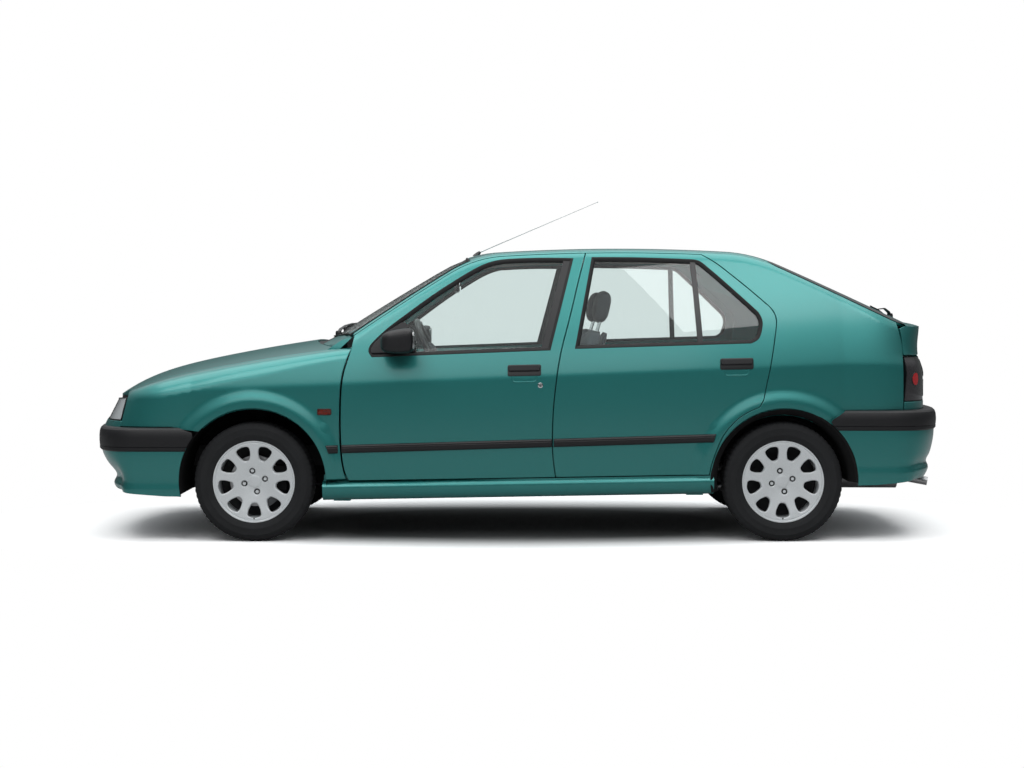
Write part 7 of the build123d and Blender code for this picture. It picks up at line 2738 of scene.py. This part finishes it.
    def linings(self) -> None:
        """Build the headlining, and the door cards with their cloth panels and armrests."""
        top = PanelMaker(self.lines.top, (70.0, 60.0))
        roof = self.lines.roof().grown(-34.0)
        self.shop.piece("headlining", top.slab(roof, 33.0, 5.0), Look.HEADLINING, "body")
        side = PanelMaker(self.lines.side, (60.0, 40.0))
        for word, loop, hole, bodies in (
            ("front", self.lines.front_door(), self.lines.front_window(), FRONT_DOORS),
            ("rear", self.lines.rear_door(), self.lines.rear_window(), REAR_DOORS),
        ):
            low = float(hole.points[:, 1].min())
            points = loop.grown(-30.0).points
            card = Loop([(u, min(v, low - 20.0)) for u, v in points])
            self.shop.pair(word + "_SIDE_door_card", side.slab(card, 60.6, 4.0), Look.DASH, bodies)
            u0, u1 = float(card.points[:, 0].min()), float(card.points[:, 0].max())
            patch = Loop.polygon([(u0 + 130, 640), (u1 - 120, 640), (u1 - 120, 800), (u0 + 130, 800)], 30.0)
            data = side.slab(patch, 57.8, 2.8)
            data = data.moved(lambda p: p - np.array((0, 7.0, 0)))
            self.shop.pair(word + "_SIDE_door_cloth", data, Look.CLOTH, bodies)
            us = [u0 + 160 + t * (u1 - u0 - 330) for t in spread(0, 1, 8)]
            path = [(u, self.lines.side.point(u, 612)[1] - 86, 612) for u in us]
            rest = sweep(path, rounded_rectangle(46, 52, 14))
            self.shop.pair(word + "_SIDE_armrest", rest, Look.DASH, bodies, crease=60)

    def rear_view_mirror(self) -> None:
        """Build the mirror inside the windscreen."""
        body = cushion_block((26, 236, 62), (6, 22, 8), 4.0)
        tilted = turned(body, about("Y", -6), (314, 0, 1232))
        self.shop.piece("inner_mirror", tilted, Look.TRIM, "body", 60)
        stem = sweep([(326, 0, 1240), (352, 0, 1262), (378, 0, 1288)], ring_section(6, 6, 12), (0, 1, 0))
        self.shop.piece("inner_mirror_stem", stem, Look.TRIM, "body")
        face = [(u, v + 1231) for u, v in rounded_rectangle(218, 46, 16)]
        self.shop.piece(
            "inner_mirror_glass", slab_between(299.0, 301.4, face, "x"), Look.MIRROR, "body", bevel=0.6
        )


# ----------------------------------------------------------------------------------------------
# What the construction model shows itself
# ----------------------------------------------------------------------------------------------
@dataclass
class Framework:
    """The construction pieces that stay in view, each with its finish."""

    shop: Workshop

    def build(self) -> None:
        """Give every construction piece that stays its finish."""
        dress = self.shop.dress
        for side in ("left", "right"):
            dress(Look.PAINT, "body_side_" + side, "front_wing_" + side)
            for end in ("front", "rear"):
                dress(Look.PAINT, "%s_%s_door" % (end, side))
            dress(Look.CARPET, "floor_" + side)
            dress(Look.CHASSIS, "rear_arch_" + side)
        dress(Look.PAINT, "roof_panel", "bonnet", "grille", "rear_panel")
        dress(Look.CHASSIS, "front_panel", "bulkhead", "boot_wall", "rear_axle")
        dress(Look.LINER, "front_suspension")
        dress(Look.CARPET, "tunnel", "heelboard", "boot_floor", "parcel_shelf")
        dress(Look.ENGINE, "engine")
        dress(Look.STEEL, "exhaust")
        dress(Look.DASH, "dashboard")
        LOG.info("construction pieces dressed")


# ----------------------------------------------------------------------------------------------
# The studio
# ----------------------------------------------------------------------------------------------
@dataclass
class Studio:
    """Camera, lamps, world and floor."""

    camera_at: Point3 = (0.031, 9.8, 1.103)
    pitch: float = 2.2
    lens: float = 66.2
    floor_half: float = 60.0
    floor_tone: float = 1.9
    floor_reach: Point3 = (2.35, 1.5, 1.0)
    # Painted shadow under the car: the floor's darkest colour for camera rays, the reach within which it is
    # full, and the reach where it has faded out.
    floor_painted_shadow: float = 0.35
    floor_shadow_core: float = 0.45
    floor_near: float = 0.85
    floor_far: float = 1.25

    def build(self) -> None:
        """Build the studio round the car."""
        bpy.context.scene.view_settings.view_transform = "Standard"
        self.camera()
        self.world()
        self.lamps()
        self.floor()
        LOG.info("studio: camera, lamps and floor set")

    def camera(self) -> None:
        """Place the camera square to the car's left side."""
        lens = bpy.data.cameras.new("side_camera")
        lens.lens, lens.sensor_width = self.lens, 36.0
        lens.clip_start, lens.clip_end = 0.1, 400.0
        camera = bpy.data.objects.new("side_camera", lens)
        bpy.context.scene.collection.objects.link(camera)
        camera.location = self.camera_at
        camera.rotation_euler = (math.radians(90.0 - self.pitch), 0.0, math.radians(180.0))
        bpy.context.scene.camera = camera

    def world(self) -> None:
        """Make the surroundings white to the eye, and a soft sky to everything else."""
        world = bpy.data.worlds.new("studio_world")
        world.use_nodes = True
        bpy.context.scene.world = world
        tree = world.node_tree
        tree.nodes.clear()
        output = tree.nodes.new("ShaderNodeOutputWorld")
        white = tree.nodes.new("ShaderNodeBackground")
        white.inputs["Color"].default_value = (1.0, 1.0, 1.0, 1.0)
        sky = tree.nodes.new("ShaderNodeBackground")
        sky.inputs["Color"].default_value = (0.93, 0.97, 1.0, 1.0)
        sky.inputs["Strength"].default_value = 0.30
        rays = tree.nodes.new("ShaderNodeLightPath")
        first = tree.nodes.new("ShaderNodeMath")
        first.operation = "MAXIMUM"
        tree.links.new(rays.outputs["Is Camera Ray"], first.inputs[0])
        tree.links.new(rays.outputs["Is Glossy Ray"], first.inputs[1])
        second = tree.nodes.new("ShaderNodeMath")
        second.operation = "MAXIMUM"
        tree.links.new(first.outputs[0], second.inputs[0])
        tree.links.new(rays.outputs["Is Transmission Ray"], second.inputs[1])
        mix = tree.nodes.new("ShaderNodeMixShader")
        tree.links.new(second.outputs[0], mix.inputs["Fac"])
        tree.links.new(sky.outputs[0], mix.inputs[1])
        tree.links.new(white.outputs[0], mix.inputs[2])
        tree.links.new(mix.outputs[0], output.inputs["Surface"])

    def lamps(self) -> None:
        """Hang the soft lamps over the car and beside it."""
        for name, at, size, power, aim in (
            ("overhead_softbox", (0.0, 0.2, 6.4), (9.0, 5.0), 250.0, (0.0, 0.1, 0.0)),
            ("side_softbox", (1.5, 8.5, 4.6), (7.0, 2.0), 52.0, (0.0, 0.0, 0.6)),
            ("front_softbox", (2.4, 4.6, 5.4), (3.0, 2.6), 70.0, (1.0, 0.8, 0.7)),
            ("rear_softbox", (-2.4, 4.6, 5.4), (3.0, 2.6), 70.0, (-1.0, 0.8, 0.7)),
        ):
            lamp = bpy.data.lights.new(name, "AREA")
            lamp.shape, lamp.size, lamp.size_y, lamp.energy = "RECTANGLE", *size, power
            thing = bpy.data.objects.new(name, lamp)
            thing.location = at
            aim_at = Vector(aim) - Vector(at)
            thing.rotation_euler = aim_at.to_track_quat("-Z", "Y").to_euler()
            bpy.context.scene.collection.objects.link(thing)

    def floor(self) -> None:
        """Lay the pale floor, with a painted shadow under the car, and stand grey screens round it for the
        paint to reflect.
        """
        half = self.floor_half
        mesh = bpy.data.meshes.new("studio_floor")
        corners = [(-half, -half, 0), (half, -half, 0), (half, half, 0), (-half, half, 0)]
        mesh.from_pydata(corners, [], [(0, 1, 2, 3)])
        g = Graph("pale_floor")
        rays = g.node("LightPath").outputs
        direct, through = rays["Is Camera Ray"], rays["Is Transmission Ray"]
        seen = g.node("Math", {"operation": "MAXIMUM"}, **{"0": direct, "1": through})
        tone = g.ramp(g.noise(0.3, 2.0), 0.3, 0.7, (0.52, 0.52, 0.52), (0.54, 0.54, 0.54))
        pale = g.node("BsdfDiffuse", Color=tone)
        white = g.node("Emission", Color=(1.0, 1.0, 1.0), Strength=1.0)
        oval = g.node("VectorMath", {"operation": "DIVIDE"}, **{"0": g.place(), "1": self.floor_reach})
        away = g.node("VectorMath", {"operation": "LENGTH"}, **{"0": oval.outputs[0]}).outputs["Value"]
        # Painted shadow: for camera rays the floor's colour near the car darkens towards the middle of the
        # oval, standing in for the car's shadow.
        dark = (self.floor_painted_shadow,) * 3
        bright = (self.floor_tone,) * 3
        shade = g.ramp(away, self.floor_shadow_core, self.floor_near, dark, bright)
        near = g.node("BsdfDiffuse", Color=shade)
        far = g.node("MapRange", Value=away, From_Min=self.floor_near, From_Max=self.floor_far)
        shown = g.node(
            "MixShader", **{"0": far.outputs["Result"], "1": near.outputs[0], "2": white.outputs[0]}
        )
        mix = g.node("MixShader", **{"0": seen.outputs[0], "1": pale.outputs[0], "2": shown.outputs[0]})
        mesh.materials.append(g.finish(mix))
        floor = bpy.data.objects.new("studio_floor", mesh)
        bpy.context.scene.collection.objects.link(floor)
        self.screens()

    def screens(self) -> None:
        """Stand a ring of grey screens, seen only in reflections."""
        count, radius = 48, 16.0
        heights = (0.0, 1.0, 2.5, 4.0, 6.0, 8.0, 10.0, 12.0)
        data = MeshData()
        rows = []
        for z in heights:
            for k in range(count):
                a = 2 * math.pi * k / count
                rows.append((radius * math.cos(a) / MM, radius * math.sin(a) / MM, z / MM))
        data.add(rows, grid_faces(len(heights), count, closed=True))
        mesh = bpy.data.meshes.new("reflection_screens")
        mesh.from_pydata((np.array(data.verts) * MM).tolist(), [], data.faces)
        g = Graph("grey_screen")
        height = g.node("SeparateXYZ", Vector=g.place()).outputs["Z"]
        share = g.node("MapRange", Value=height, From_Min=0.0, From_Max=heights[-1]).outputs["Result"]
        tone = g.ramp(share, 0.28, 0.95, (0.07, 0.075, 0.075), (0.8, 0.82, 0.84))
        mesh.materials.append(g.finish(g.node("Emission", Color=tone, Strength=1.0)))
        screen = bpy.data.objects.new("reflection_screens", mesh)
        bpy.context.scene.collection.objects.link(screen)
        screen.visible_camera = screen.visible_diffuse = screen.visible_shadow = False
        screen.visible_transmission = screen.visible_volume_scatter = False


def front_bumper(shop: Workshop) -> Bumper:
    """Return the front bumper, ready to build."""
    profile = [(-104, 205), (-92, 230), (-70, 250), (-62, 270), (-70, 288), (-76, 304)]
    profile += [(-66, 330), (-40, 362), (-20, 394), (-9, 420), (-5, 440), (-5, 465)]
    shape = BumperShape(
        front=True,
        start=1786.0,
        reach=292.0,
        run=240.0,
        profile=profile,
        tuck=0.12,
        drop=18.0,
        slant_z=522.0,
        slant=3.4,
    )
    intake = Loop.polygon([(-330, 300), (330, 300), (360, 352), (-360, 352)], 12.0)
    bottom = [(1400, 217), (1690, 219), (1990, 242), (2200, 247)]
    return Bumper(shop, "front", shape, bottom, (438.0, 545.0), intake, 384.0)


def rear_bumper(shop: Workshop) -> Bumper:
    """Return the rear bumper, ready to build."""
    profile = [(-84, 252), (-72, 276), (-50, 298), (-36, 322), (-30, 346), (-40, 372)]
    profile += [(-28, 404), (-16, 440), (-8, 480), (-4, 520), (-4, 545), (-4, 575)]
    shape = BumperShape(
        front=False,
        start=1725.0,
        reach=353.0,
        run=236.0,
        profile=profile,
        tuck=0.10,
        drop=12.0,
        slant_z=583.0,
        slant=1.62,
    )
    bottom = [(1400, 271), (1700, 273), (1960, 296), (2200, 302)]
    return Bumper(shop, "rear", shape, bottom, (538.0, 628.0))


def main() -> None:
    """Build the car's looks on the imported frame, and the studio round it."""
    logging.basicConfig(level=logging.INFO, format="%(name)s: %(message)s")
    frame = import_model()
    shop = Workshop(frame)
    lines = Lines()
    BodyShell(shop, lines).build()
    Glazing(shop, lines).build()
    front_bumper(shop).build()
    rear_bumper(shop).build()
    Lamps(shop).build()
    Trim(shop, lines).build()
    Wheels(shop).build()
    Tail(shop, lines).build()
    Cabin(shop, lines).build()
    Framework(shop).build()
    Studio().build()
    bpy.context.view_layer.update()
    LOG.info("%d pieces", shop.count)


if __name__ == "__main__":
    main()
